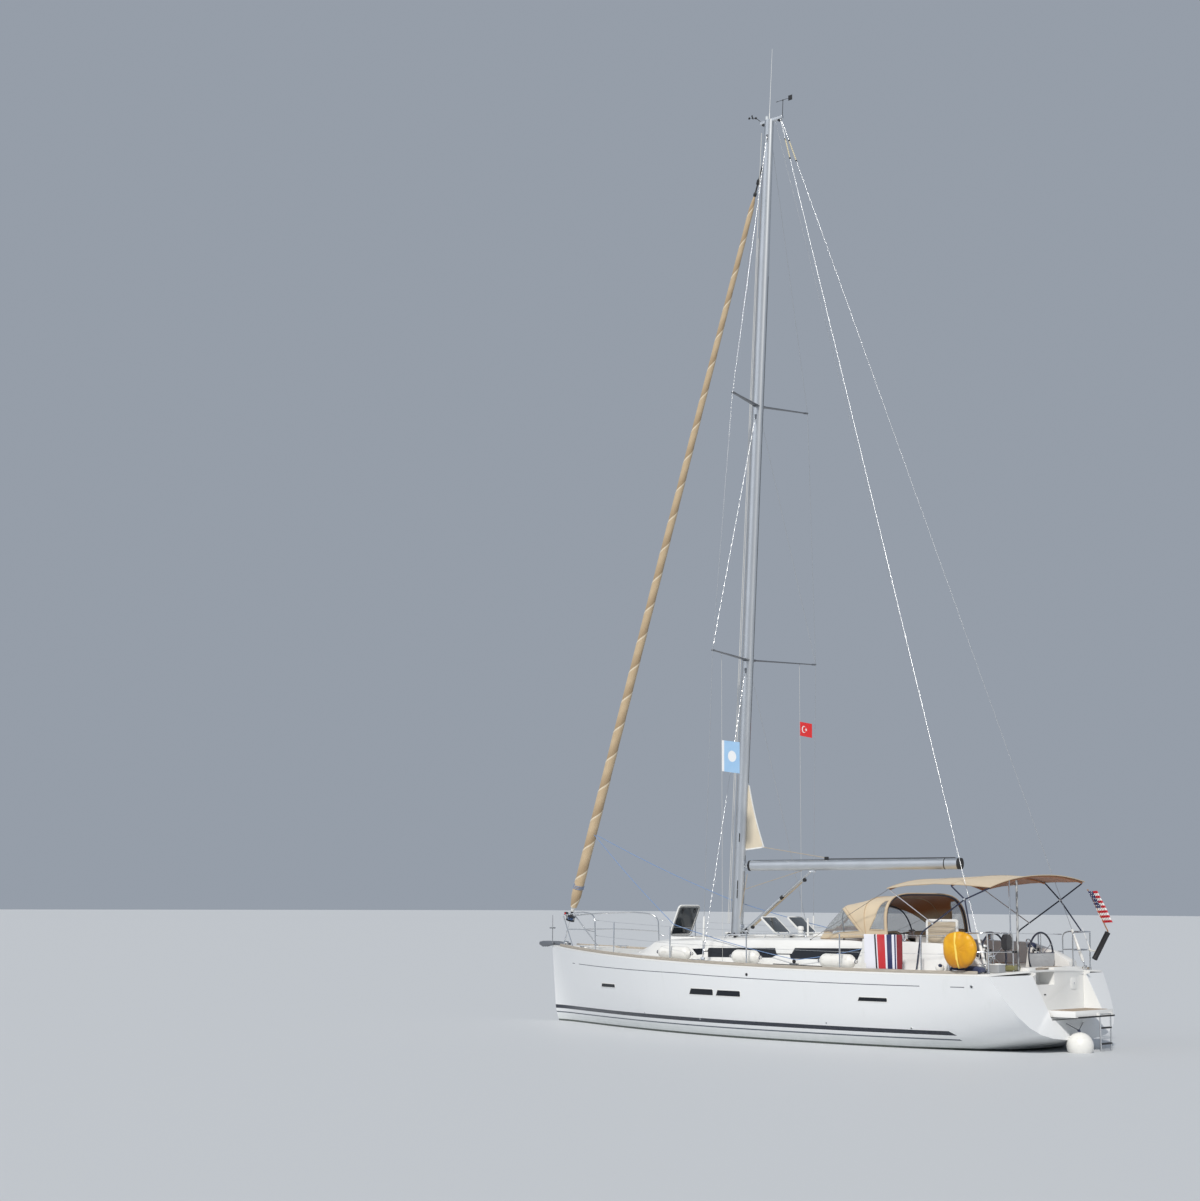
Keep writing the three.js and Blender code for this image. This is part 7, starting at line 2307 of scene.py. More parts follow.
def finish_ensign_cloth():
    """Thirteen stripes with a blue canton of fifty stars."""
    f = Finish((0.8, 0.8, 0.8), 0.85, Sheen_Weight=0.15)
    u, w = f.attribute("fly"), f.attribute("hoist")
    x = u * FLY_LENGTH
    odd = (w * (STRIPES / 2)).part().below(0.5)
    white = f.mix(f.grain(8, 4), (0.76, 0.75, 0.74), (0.82, 0.82, 0.81))
    stripes = f.mix(odd, white, (0.55, 0.018, 0.030))
    canton = x.below(CANTON_WIDE) * w.below(CANTON_HIGH)
    column, row = x * (STAR_COLUMNS / CANTON_WIDE), w * (STAR_ROWS / CANTON_HIGH)

    def star_grid(shift):
        across, down = ((((line + shift) * 0.5).part() - 0.5).size() for line in (column, row))
        return (across * across + down * down).below(STAR_SIZE)

    stars = star_grid(-0.5).either(star_grid(0.5))
    blue = f.mix(stars, (0.020, 0.030, 0.13), (0.80, 0.80, 0.80))
    f.paint(f.mix(canton, stripes, blue))
    f.bump(f.grain(40, 4), 0.0012, 0.6)
    return f


def finish_varnish():
    f = Finish((0.36, 0.17, 0.07), 0.25, Coat_Weight=0.6)
    fibre = f.grain(3, 5, f.stretched((14, 14, 2)))
    f.paint(f.mix(fibre.rise(0.3, 0.75), (0.28, 0.12, 0.045), (0.48, 0.26, 0.12)))
    return f


def finish_worn_pole():
    """Grey paint worn through to pale metal in patches."""
    f = Finish((0.30, 0.31, 0.32), 0.5, Metallic=0.35)
    wear = f.grain(16, 5, f.stretched((1, 1, 0.6)))
    f.paint(f.mix(wear.rise(0.44, 0.56), (0.15, 0.155, 0.165), (0.52, 0.52, 0.51)))
    f.rough(0.38 + wear * 0.3)
    f.bump(wear, 0.001, 0.5)
    return f


# Shapes shared by the deck gear


def round_path(x0, x1, y0, y1, z, bend, steps=5):
    """A closed run round a rectangle with rounded corners."""
    points = []
    for cx, cy, start in ((x1 - bend, y1 - bend, 0), (x0 + bend, y1 - bend, 90), (x0 + bend, y0 + bend, 180),
                          (x1 - bend, y0 + bend, 270)):
        for i in range(steps + 1):
            a = math.radians(start + 90 * i / steps)
            points.append(Vector((cx + bend * math.cos(a), cy + bend * math.sin(a), z)))
    return points


def add_slab(bm, x0, x1, y0, y1, z0, z1, bend, edge=0.003, band=None):
    """A flat piece with rounded corners and soft rims; band leaves only a frame of that width."""
    part = bmesh.new()
    add_box(part, x0, x1, y0, y1, z0, z1)
    upright = [e for e in part.edges if abs(e.verts[0].co.z - e.verts[1].co.z) > abs(z1 - z0) * 0.5]
    bmesh.ops.bevel(part, geom=upright, offset=bend, offset_type="OFFSET", segments=5, profile=0.5,
                    affect="EDGES")
    if band:
        part.normal_update()
        flats = [f for f in part.faces if abs(f.normal.z) > 0.9]
        bmesh.ops.inset_individual(part, faces=flats, thickness=band)
        loops = [e for f in flats for e in f.edges]
        bmesh.ops.delete(part, geom=flats, context="FACES_ONLY")
        bmesh.ops.bridge_loops(part, edges=loops)
    soften(part, edge, 45, 2)
    merge(bm, part)


def add_column(bm, rows, y, edge):
    """A four-sided column through rows of (z, x, half length, half width)."""
    part = bmesh.new()
    z, x, long, wide = rows[0]
    bmesh.ops.create_grid(part, x_segments=1, y_segments=1, size=1,
                          matrix=Matrix.Translation((x, y, z)) @ Matrix.Diagonal((long, wide, 1, 1)))
    face = part.faces[:]
    for (z0, x0, long0, wide0), (z1, x1, long1, wide1) in zip(rows, rows[1:]):
        made = bmesh.ops.extrude_face_region(part, geom=face)["geom"]
        verts = verts_of(made)
        face = [g for g in made if isinstance(g, bmesh.types.BMFace)]
        grow = Matrix.Translation((x1, y, z1)) @ Matrix.Diagonal((long1 / long0, wide1 / wide0, 1, 1))
        bmesh.ops.transform(part, matrix=grow @ Matrix.Translation((-x0, -y, -z0)), verts=verts)
    bmesh.ops.recalc_face_normals(part, faces=part.faces)
    soften(part, edge, 35, 4)
    merge(bm, part)


def flat_shape(outline, step):
    """A sheet of small squares in the shape of a convex outline of (u, v) points."""
    us, vs = zip(*outline)
    wide, high = max(us) - min(us), max(vs) - min(vs)
    bm = grid(max(1, round(wide / step)), max(1, round(high / step)))
    centre = Matrix.Translation((min(us) + wide / 2, min(vs) + high / 2, 0))
    move(bm, centre @ Matrix.Diagonal((wide, high, 1, 1)))
    middle = Vector((sum(us) / len(us), sum(vs) / len(vs), 0))
    for a, b in zip(outline, outline[1:] + outline[:1]):
        a, b = Vector((*a, 0)), Vector((*b, 0))
        out = (b - a).cross(UP)
        if out.length < 1e-6:
            continue
        if out.dot(middle - a) > 0:
            out = -out
        cut_off(bm, a, out)
    return bm


def laid(outline, onto, lift, thick, step):
    """A thin plate of that outline on the surface: its top is lift above it, its underside just inside it."""
    top = flat_shape(outline, step)
    spots = {v: onto(v.co.x, v.co.y) for v in top.verts}
    for v, (point, normal) in spots.items():
        v.co = point + normal * lift
    bmesh.ops.recalc_face_normals(top, faces=top.faces)
    top.normal_update()
    average = sum((n for _, n in spots.values()), Vector())
    facing = sum((f.normal * f.calc_area() for f in top.faces), Vector())
    if facing.dot(average) < 0:
        bmesh.ops.reverse_faces(top, faces=top.faces[:])
    made = bmesh.ops.extrude_face_region(top, geom=top.faces[:])["geom"]
    bmesh.ops.translate(top, verts=verts_of(made), vec=-average.normalized() * thick)
    bmesh.ops.recalc_face_normals(top, faces=top.faces)
    return top


def on_deck(x, y):
    z, normal = deck_at(x, y)
    return Vector((x, y, z)), normal


def on_hull(side):
    def onto(x, z):
        return side_at(x, z, side)
    return onto


def corners(x0, x1, y0, y1, bend):
    return [tuple(p[:2]) for p in round_path(min(x0, x1), max(x0, x1), min(y0, y1), max(y0, y1), 0, bend, 4)]


# Grip and teak on the deck

def deck_edge(x):
    """Half-width of the deck at x."""
    return side_at(x, sheer_height(x) - 0.05, PORT)[0].y


def roof_side(x):
    """Where the side deck meets the coachroof or the coaming, outboard of it."""
    y = deck_edge(x) - 0.14
    level = deck_at(x, y)[0]
    while y > 0.30:
        z = deck_at(x, y - 0.015)[0]
        if z > level + 0.012:
            return y + 0.03
        level = z
        y -= 0.015
    return 0.0


def strip_along(x0, x1, inner, outer, lift, thick):
    """A thin panel on the deck between two lines, given as functions of x."""
    bm = grid(36, 6)
    for v in bm.verts:
        x = x0 + (x1 - x0) * (v.co.x + 0.5)
        low, high = inner(x), outer(x)
        y = low + (high - low) * (v.co.y + 0.5)
        z, normal = deck_at(x, y)
        v.co = Vector((x, y, z)) + normal * lift
    bmesh.ops.recalc_face_normals(bm, faces=bm.faces)
    bm.normal_update()
    if sum(f.normal.z for f in bm.faces) < 0:
        bmesh.ops.reverse_faces(bm, faces=bm.faces[:])
    made = bmesh.ops.extrude_face_region(bm, geom=bm.faces[:])["geom"]
    bmesh.ops.translate(bm, verts=verts_of(made), vec=(0, 0, -thick))
    bmesh.ops.recalc_face_normals(bm, faces=bm.faces)
    return bm


SIDE_PANELS = ((2.60, 0.86), (0.44, -0.66), (-0.72, -1.86), (-1.92, -2.98))
ROOF_PANELS = (
    (1.78, 1.36, 0.60), (0.98, 0.34, 0.62), (-0.32, -0.84, 0.62), (2.95, 2.66, 0.34),
)


def deck_grip():
    grip = bmesh.new()
    for s in BOTH_SIDES:
        for front, aft in SIDE_PANELS:
            marks = [front + (aft - front) * i / 12 for i in range(13)]
            inner = [roof_side(x) + 0.035 for x in marks]
            outer = [deck_edge(x) - 0.155 for x in marks]

            def at_mark(row, x, front=front, aft=aft):
                t = max(0.0, min(0.9999, (x - front) / (aft - front))) * 12
                i = int(t)
                return row[i] + (row[i + 1] - row[i]) * (t - i)

            merge(grip, strip_along(front, aft, lambda x: s * at_mark(inner, x),
                                    lambda x: s * at_mark(outer, x), 0.0022, 0.003))
        for front, aft, wide in ROOF_PANELS:
            merge(grip, laid(corners(aft, front, s * 0.09, s * wide, 0.04), on_deck, 0.0020, 0.003, 0.09))
        merge(grip, laid([(4.58, s * 0.03), (4.58, s * 0.50), (3.62, s * 1.02), (3.24, s * 1.02),
                          (3.24, s * 0.03)],
                         on_deck, 0.0022, 0.003, 0.09))
    piece("deck_grip", grip, "nonslip", slot=SLOT_OF["deck_moulding"], crease=30)


def teak_deck():
    """Planked seats, cockpit sole and helm floor."""
    seats = bmesh.new()
    for s in BOTH_SIDES:
        merge(seats, laid(corners(-2.76, -3.795, s * 0.400, s * 1.145, 0.03), on_deck, 0.006, 0.007, 0.2))
    piece("teak_seats", seats, "teak", crease=25)
    sole = bmesh.new()
    merge(sole, laid(corners(-2.74, -5.10, -0.315, 0.315, 0.03), on_deck, 0.006, 0.007, 0.3))
    for s in BOTH_SIDES:
        merge(sole, laid(corners(-4.58, -5.10, s * 0.35, s * 1.225, 0.03), on_deck, 0.006, 0.007, 0.3))
    merge(sole, laid(corners(-5.19, -5.385, -0.59, 0.39, 0.02), on_deck, 0.006, 0.007, 0.3))
    piece("teak_sole_planks", sole, "teak_sole", slot="teak", crease=25)


# Hatches and lids

HATCHES = {
    # centre, half-size, which way the hinge lies and how far the lid stands open
    "hatch_fore": (2.260, 0.0, 0.310, 1, 66), "hatch_port": (0.020, 0.390, 0.225, -1, 40),
    "hatch_starboard": (0.020, -0.390, 0.225, -1, 40),
}


def roof_hatch(node):
    x, y, half, way, opened = HATCHES[node]
    seat = deck_at(x + half - 0.012, y)[0]
    size, wide = 2 * half + 0.0246, half + 0.010
    place = Matrix.Translation((x + way * (half + 0.0123), y, seat + 0.0006))
    place = place @ Matrix.Rotation(math.radians(way * opened), 4, "Y")
    low, high = sorted((0.0, -way * size))
    bend, band = half * 0.26, half * 0.135

    def done(name, bm, look, slot, stands_for=()):
        move(bm, place)
        piece(f"{node}_{name}", bm, look, node, slot, stands_for)

    ring = bmesh.new()
    add_slab(ring, low + 0.001, high - 0.001, -wide + 0.001, wide - 0.001, 0.004, 0.0335, bend, 0.005, band)
    done("lid", ring, "white_plastic", "hatch_acrylic", (node,))
    pane = bmesh.new()
    inset = band - 0.012
    add_slab(pane, low + inset, high - inset, -wide + inset, wide - inset, 0.012, 0.0305, bend * 0.8, 0.002)
    done("pane", pane, "hatch_acrylic", "hatch_acrylic")
    seal = bmesh.new()
    add_sweep(seal, round_path(low + band * 0.5, high - band * 0.5, -wide + band * 0.5, wide - band * 0.5,
                               0.0046, bend * 0.8),
              0.0042, 8, closed=True)
    for s in BOTH_SIDES:
        free = -way * (size - band - 0.045)
        add_lathe(seal, [(0, -0.004), (0.017, -0.003), (0.019, 0.004), (0.019, 0.013), (0, 0.014)],
                  (free, s * wide * 0.55, 0.0), (0, 0, 1), 20)
        add_slab(seal, min(free, free + way * 0.075), max(free, free + way * 0.075), s * wide * 0.55 - 0.0085,
                 s * wide * 0.55 + 0.0085, -0.016, -0.004, 0.006, 0.003)
    done("seal", seal, "black_plastic", "hatch_acrylic")
    metal = bmesh.new()
    for s in BOTH_SIDES:
        add_rod(metal, (0.0, s * wide * 0.62 - 0.024, 0.010), (0.0, s * wide * 0.62 + 0.024, 0.010), 0.0085,
                sides=16)
        start = -way * 0.002
        add_slab(metal, min(start, -way * 0.050), max(start, -way * 0.050), s * wide * 0.62 - 0.020,
                 s * wide * 0.62 + 0.020, 0.030, 0.0352, 0.006, 0.0015)
    done("hinges", metal, "stainless", "stainless")
    base = bmesh.new()
    hole = half - 0.042
    add_slab(base, x - half - 0.004, x + half + 0.004, y - half - 0.004, y + half + 0.004, seat - 0.010,
             seat + 0.0004, bend, 0.002, band * 0.9)
    piece(node + "_base", base, "spar_aluminium")
    gasket = bmesh.new()
    add_sweep(gasket, round_path(x - hole - 0.006, x + hole + 0.006, y - hole - 0.006, y + hole + 0.006,
                                 seat - 0.002, bend * 0.7),
              0.005, 8, closed=True)
    piece(node + "_gasket", gasket, "black_plastic", slot="hatch_acrylic")


LID_HINGE_Y, LID_SEAT, LID_WIDE = 1.145, 1.3308, 0.783


def locker_lid(side, opened):
    node = "cockpit_locker_lid_" + side_name(side)
    body = BODY_OF[node]
    hinge = Matrix.Translation((0, side * LID_HINGE_Y, LID_SEAT))
    place = hinge @ Matrix.Rotation(math.radians(-side * opened), 4, "X")
    wide = LID_WIDE
    low, high = sorted((0.0, -side * wide))
    frame_part = bmesh.new()
    add_slab(frame_part, -4.4795, -3.8505, low + 0.0005, high - 0.0005, 0.0005, 0.0315, 0.050, 0.005, 0.042)
    add_slab(frame_part, -4.445, -3.885, low + 0.036, high - 0.036, 0.003, 0.020, 0.02, 0.002)
    slats = bmesh.new()
    count = 8
    pitch = (wide - 0.094) / count
    for i in range(count):
        start = low + 0.047 + pitch * i
        add_slab(slats, -4.434, -3.896, start + 0.0028, start + pitch - 0.0028, 0.015, 0.0312, 0.010, 0.002)
    for bm, name, look, slot, stands_for in (
        (frame_part, "_frame", "white_plastic", SLOT_OF[node], (node,)),
        # an opened lid's slats take the paler slat teak, painted light for boards standing up into the sun
        (slats, "_slats", "teak_slat_up" if opened else "teak_slat", SLOT_OF[node], ()),
    ):
        move(bm, place)
        piece(node + name, bm, look, body, slot, stands_for)
    metal = bmesh.new()
    for x in (-4.33, -4.00):
        add_rod(metal, (x - 0.03, 0, 0.006), (x + 0.03, 0, 0.006), 0.0058, sides=14)
    latch = -side * (wide - 0.022)
    add_lathe(metal, [(0, 0.0310), (0.013, 0.0312), (0.013, 0.0330), (0.009, 0.0335), (0, 0.0335)],
              (-4.165, latch, 0), UP, 22)
    move(metal, place)
    piece(node + "_metal", metal, "stainless", body)


def finish_teak_slat_up():
    """Slats seen upright: the fibre runs fore and aft, and the board is paler as painted light, a lit copy of the slat
    teak.
    """
    f = Finish((0.50, 0.43, 0.33), 0.7)
    fibre = f.grain(3.0, 6, f.stretched((1.2, 14, 26)))
    stain = f.grain(5, 4)
    # painted light: paler fibre tones than the flat slats
    dry = f.mix(fibre.rise(0.28, 0.74), (0.40, 0.33, 0.24), (0.60, 0.53, 0.42))
    f.paint(f.mix(stain.rise(0.5, 0.8) * 0.3, dry, (0.36, 0.27, 0.18)))
    f.rough(0.60 + fibre * 0.25)
    f.bump(fibre, 0.001, 0.7)
    return f


# Cockpit

def cockpit_table():
    front, aft, top = -3.120, -3.980, 1.560
    middle = bmesh.new()
    add_slab(middle, aft + 0.001, front - 0.001, -0.0695, 0.0695, top - 0.060, top - 0.010, 0.012, 0.004)
    for x in (front - 0.12, aft + 0.12):
        add_lathe(middle, [(0, 0.0008), (0.040, 0.0008), (0.040, 0.008), (0.034, 0.016), (0.031, 0.03),
                           (0.031, 0.60), (0.040, 0.622), (0, 0.622)], (x, 0, 0.880), UP, 28)
    piece("table_middle", middle, "white_plastic", slot=SLOT_OF["cockpit_table"],
          stands_for=("cockpit_table",))
    lid = bmesh.new()
    for i in range(3):
        y = -0.0655 + i * 0.0437
        add_slab(lid, aft + 0.004, front - 0.004, y + 0.0008, y + 0.0429, top - 0.012, top, 0.004, 0.002)
    piece("table_top", lid, "teak_slat", slot="teak")
    for s in BOTH_SIDES:
        node = "table_leaf_" + side_name(s)
        leaf = bmesh.new()
        start, end = sorted((s * 0.0712, s * 0.0886))
        part = bmesh.new()
        add_box(part, aft + 0.0045, front - 0.0045, start, end, top - 0.2995, top - 0.0005)
        long = [e for e in part.edges if abs(e.verts[0].co.y - e.verts[1].co.y) > 0.005
                and min(v.co.z for v in e.verts) < top - 0.2]
        bmesh.ops.bevel(part, geom=long, offset=0.07, offset_type="OFFSET", segments=8, profile=0.5,
                        affect="EDGES")
        soften(part, 0.003, 40, 2)
        merge(leaf, part)
        # the upright leaf takes the paler slat teak, painted light
        piece(node + "_board", leaf, "teak_slat_up", BODY_OF[node], SLOT_OF[node], (node,))
        batten = bmesh.new()
        for x in (front - 0.16, aft + 0.16):
            add_slab(batten, x - 0.020, x + 0.020, min(s * 0.0692, s * 0.0716), max(s * 0.0692, s * 0.0716),
                     top - 0.055, top - 0.020, 0.0008, 0.0003)
            add_rod(batten, (x - 0.022, s * 0.0712, top - 0.012), (x + 0.022, s * 0.0712, top - 0.012),
                    0.0035, sides=10)
        piece(node + "_hinges", batten, "stainless", BODY_OF[node])


WHEEL = Vector((-4.885, 0.750, 1.500))
RIM_RADIUS, SEAM_RADIUS = 0.389, 0.3728
COMPASS_X = -4.715
COMPASS_COVER_FOOT = 1.612


def pedestal(side):
    y = side * WHEEL.y
    node = "pedestal_" + side_name(side)
    column = bmesh.new()
    add_column(column, [(0.8808, -4.660, 0.1195, 0.1345), (1.250, -4.700, 0.0915, 0.1045),
                        (1.560, -4.730, 0.0715, 0.0945), (1.640, -4.715, 0.0515, 0.0795)], y, 0.020)
    add_slab(column, -4.790, -4.535, y - 0.145, y + 0.145, 0.8805, 0.896, 0.03, 0.004)
    piece(node + "_column", column, "white_plastic", slot=SLOT_OF[node], stands_for=(node,))
    dark = bmesh.new()
    add_lathe(dark, [(0, 1.610), (0.061, 1.612), (0.0635, 1.640), (0.063, 1.652), (0.056, 1.660), (0, 1.660)],
              (COMPASS_X, y, 0), UP, 32)
    add_lathe(dark, [(0, 0), (0.044, 0), (0.046, 0.010), (0, 0.012)], (-4.790, y, 1.500), (-1, 0, 0), 26)
    tilt = Matrix.Rotation(math.radians(-8), 3, "Y")
    for dy in (-0.047, 0.047):
        add_box(dark, -4.8045, -4.7985, y + dy - 0.036, y + dy + 0.036, 1.575, 1.628, tilt)
    soften(dark, 0.002, 40, 2)
    piece(node + "_instruments", dark, "black_plastic")
    glass = bmesh.new()
    add_ball(glass, (COMPASS_X, y, 1.657), 0.052, (1, 1, 0.92), 14)
    piece(node + "_compass", glass, "clear_lens", slot="hatch_acrylic")
    steel = bmesh.new()
    add_sweep(steel, rounded([(-4.668, y - 0.066, 1.590), (-4.640, y - 0.070, 1.770),
                              (-4.640, y + 0.070, 1.770), (-4.668, y + 0.066, 1.590)], 0.055, 8), TUBE, 14)
    add_lathe(steel, [(0, 0), (0.036, 0), (0.037, 0.012), (0.030, 0.022), (0.028, 0.075), (0, 0.075)],
              (-4.762, y, 1.500), (-1, 0, 0), 28)
    if side < 0:
        add_lathe(steel, [(0, 0), (0.026, 0), (0.026, 0.010), (0, 0.014)], (-4.700, y - 0.103, 1.300),
                  (0, -1, 0), 22)
        add_sweep(steel, [(-4.700, y - 0.122, 1.300), (-4.712, y - 0.128, 1.385), (-4.716, y - 0.129, 1.432)],
                  0.0065, 10)
    piece(node + "_steel", steel, "stainless")
    if side < 0:
        knob = bmesh.new()
        add_ball(knob, (-4.717, y - 0.129, 1.446), 0.017, (1, 1, 1.2), 10)
        piece("throttle_knob", knob, "black_plastic")
        hood = bmesh.new()
        add_ball(hood, (COMPASS_X, y, 1.664), 0.069, (1.05, 1.12, 0.86), 20)
        cut_off(hood, (0, 0, COMPASS_COVER_FOOT), (0, 0, -1))
        for v in hood.verts:
            fold = uneven(v.co.x * 40, v.co.y * 40, v.co.z * 14) * 0.004
            v.co += Vector((v.co.x - COMPASS_X, v.co.y - y, 0)).normalized() * fold * (1.68 - v.co.z) * 12
        thicken(hood, 0.0015)
        cover = piece("compass_cover", hood, "navy_cloth", slot="canvas")
        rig.sheet(cover, flat=(0.20, 0.19), held="draped", rests_on=[node])


def steering_wheel(side):
    y = side * WHEEL.y
    node = "steering_wheel_" + side_name(side)
    body = BODY_OF[node]
    centre = Vector((WHEEL.x, y, WHEEL.z))

    def at(angle, radius, ahead=0.0):
        return centre + Vector((ahead, radius * math.sin(angle), radius * math.cos(angle)))

    rim = bmesh.new()
    add_sweep(rim, [at(i * math.tau / 96, RIM_RADIUS) for i in range(96)], 0.0158, 16, closed=True)
    piece(node + "_rim", rim, "wheel_leather", body, SLOT_OF[node], (node,), 60)
    stitch = bmesh.new()
    for i in range(150):
        a = i * math.tau / 150
        add_sweep(stitch, [at(a, SEAM_RADIUS, 0.0026), at(a + 0.017, SEAM_RADIUS, -0.0026)], 0.0009, 6)
    piece(node + "_stitching", stitch, "rope_white", body, "rigging_wire")
    spokes = bmesh.new()
    for i in range(6):
        a = i * math.tau / 6
        add_sweep(spokes, [at(a, 0.030), at(a, 0.10), at(a, 0.375)], 0.0082, 14, widths=[1.25, 1.0, 0.92])
        add_lathe(spokes, [(0.0145, 0), (0.0145, 0.004), (0.0095, 0.014), (0, 0.014)], at(a, 0.3745),
                  centre - at(a, 1), 18)
    add_lathe(spokes, [(0, -0.0155), (0.036, -0.0155), (0.0415, -0.011), (0.0415, 0.040), (0.037, 0.045),
                       (0, 0.045)], centre, (1, 0, 0), 36)
    add_lathe(spokes, [(0, 0), (0.017, 0), (0.017, 0.008), (0.012, 0.011), (0, 0.012)],
              centre - Vector((0.0155, 0, 0)), (-1, 0, 0), 6)
    piece(node + "_spokes", spokes, "stainless", body)


def wheel_cover():
    """Pale cloth buttoned over the starboard wheel below its hub, gathered at the foot."""
    centre = Vector((WHEEL.x, -WHEEL.y, WHEEL.z))
    cloth = grid(48, 44)
    for v in cloth.verts:
        u, w = v.co.x * 2, v.co.y + 0.5
        drop = 0.050 - 0.452 * w
        half = math.sqrt(max(0.0, 0.404 ** 2 - drop ** 2)) * (1.0 if w < 0.35 else 1.0 - 0.28 * (w - 0.35))
        bulge = 0.010 * (1 - u * u) * math.sin(math.pi * min(1, w * 1.1))
        crease = math.sin(u * 9 + w * 4) * 0.0028 * w + uneven(u * 3, w * 5, 2) * 0.003
        v.co = centre + Vector((-0.0205 - abs(crease) - bulge, u * half, drop))
    bmesh.ops.remove_doubles(cloth, verts=cloth.verts, dist=0.0004)
    thicken(cloth, 0.0016)
    obj = piece("wheel_cover", cloth, "grey_cloth", "wheel_starboard", "canvas", crease=70)
    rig.sheet(obj, flat=(0.78, 0.45), held="stretched", rests_on=["steering_wheel_starboard"])
    hem = bmesh.new()
    add_sweep(hem, [centre + Vector((-0.0225, u * 0.399, 0.050)) for u in shares(32)], 0.006, 8,
              squash=(1, 0.5))
    for u in (-0.88, -0.3, 0.3, 0.88):
        add_sweep(hem, [centre + Vector((-0.021, u * 0.395, 0.048)), centre + Vector((0.0, u * 0.395, 0.062)),
                        centre + Vector((0.016, u * 0.395, 0.046))], 0.004, 8)
    piece("wheel_cover_hem", hem, "navy_cloth", "wheel_starboard", "canvas")


# Fittings of the hull

PORTLIGHTS = ((3.735, 3.22, 0.764, 0.818), (0.86, 0.24, 0.738, 0.835), (0.158, -0.43, 0.738, 0.828),
              (-2.98, -3.54, 0.760, 0.816))


def slanted(front, aft, low, high, out):
    lean = (high - low) * 0.55
    return [(front + out * 1.6, low - out), (front - lean + out, high + out),
            (aft + lean * 0.3 - out, high + out), (aft - out, high - 0.012 + out),
            (aft - out, low + 0.012 - out), (aft + 0.012 - out, low - out)]


def portlights():
    rims, panes, seals = bmesh.new(), bmesh.new(), bmesh.new()
    for s in BOTH_SIDES:
        for front, aft, low, high in PORTLIGHTS:
            merge(rims, laid(slanted(front, aft, low, high, 0.014), on_hull(s), 0.0045, 0.006, 0.05))
            merge(seals, laid(slanted(front, aft, low, high, 0.003), on_hull(s), 0.0052, 0.004, 0.05))
            merge(panes, laid(slanted(front, aft, low, high, -0.003), on_hull(s), 0.0064, 0.004, 0.05))
    piece("portlight_rims", rims, "white_plastic", slot=SLOT_OF["deck_moulding"], crease=25)
    piece("portlight_seals", seals, "rubber", slot="black_plastic", crease=25)
    piece("portlight_panes", panes, "window_glass", slot=SLOT_OF["windows_port"], crease=25)


def hull_fittings():
    steel, dark = bmesh.new(), bmesh.new()
    for s in BOTH_SIDES:
        for x, z, r in ((-5.12, 1.05, 0.030), (-3.90, 0.34, 0.019), (-2.25, 0.36, 0.016), (0.70, 0.30, 0.019),
                        (2.35, 0.33, 0.016)):
            spot, normal = side_at(x, z, s)
            add_lathe(steel, [(r * 0.55, -0.004), (r, -0.004), (r, 0.002), (r * 0.86, 0.0055),
                              (r * 0.6, 0.004), (r * 0.55, -0.004)],
                      spot, normal, 28)
            add_lathe(dark, [(0, 0.0), (r * 0.56, 0.0), (r * 0.56, 0.0018), (0, 0.0018)], spot, normal, 24)
        spot, normal = side_at(-0.62, 1.125, s)
        add_lathe(dark, [(0, -0.002), (0.026, -0.002), (0.026, 0.006), (0.018, 0.010), (0, 0.010)], spot,
                  normal, 24)
    piece("hull_outlets", steel, "stainless")
    piece("hull_outlet_holes", dark, "rubber", slot="black_plastic")


# Deck gear

WINCHES = ((-3.520, 1.300, 1.0), (-2.350, 0.600, 0.85))


def winches():
    steel, dark = bmesh.new(), bmesh.new()
    for s in BOTH_SIDES:
        for x, y, size in WINCHES:
            top = deck_at(x, s * y)[0]
            base = Vector((x, s * y, top - 0.152 * size))
            grooves = []
            for i in range(7):
                t = i / 6
                r, h = 0.0478 + 0.0100 * t, 0.054 + 0.062 * t
                grooves += [(r * size, h * size), ((r - 0.0006) * size, (h + 0.003) * size)]
            add_lathe(steel, [(0.0, 0.0), (0.0796 * size, 0.0), (0.0800 * size, 0.010 * size),
                              (0.0796 * size, 0.0235 * size), (0.060 * size, 0.040 * size), *grooves,
                              (0.0676 * size, 0.1355 * size), (0.0676 * size, 0.139 * size),
                              (0.0, 0.1415 * size)], base, UP, 40)
            add_lathe(dark, [(0.0, 0.1405 * size), (0.0700 * size, 0.1405 * size),
                             (0.0720 * size, 0.1435 * size), (0.0640 * size, 0.1475 * size),
                             (0.0715 * size, 0.1515 * size), (0.0700 * size, 0.1560 * size),
                             (0.030 * size, 0.1600 * size), (0.017 * size, 0.1600 * size),
                             (0.015 * size, 0.1480 * size), (0.0, 0.1480 * size)], base, UP, 36)
            add_block(steel, x - 0.010 * size, x + 0.010 * size, s * y, s * (y + 0.080 * size), top + 0.004,
                      top + 0.0125, 0.003)
    piece("winch_drums", steel, "stainless", crease=28)
    piece("winch_jaws", dark, "black_plastic", crease=28)


def add_cleat(bm, x, y, along):
    long = 0.24
    z = deck_at(x, y)[0]
    along = Vector(along).normalized()
    low = Vector((x, y, z))
    for t in (-0.055, 0.055):
        foot = low + along * t
        add_lathe(bm, [(0, 0), (0.020, 0), (0.020, 0.004), (0.0125, 0.010), (0.0115, 0.040), (0, 0.042)],
                  foot, UP, 18)
    bar = [low + along * (long * k) + UP * (0.044 + 0.014 * abs(k * 2) ** 2)
           for k in (-0.5, -0.42, -0.28, 0, 0.28, 0.42, 0.5)]
    add_sweep(bm, bar, 0.0115, 12, widths=[0.45, 0.8, 1, 1, 1, 0.8, 0.45])


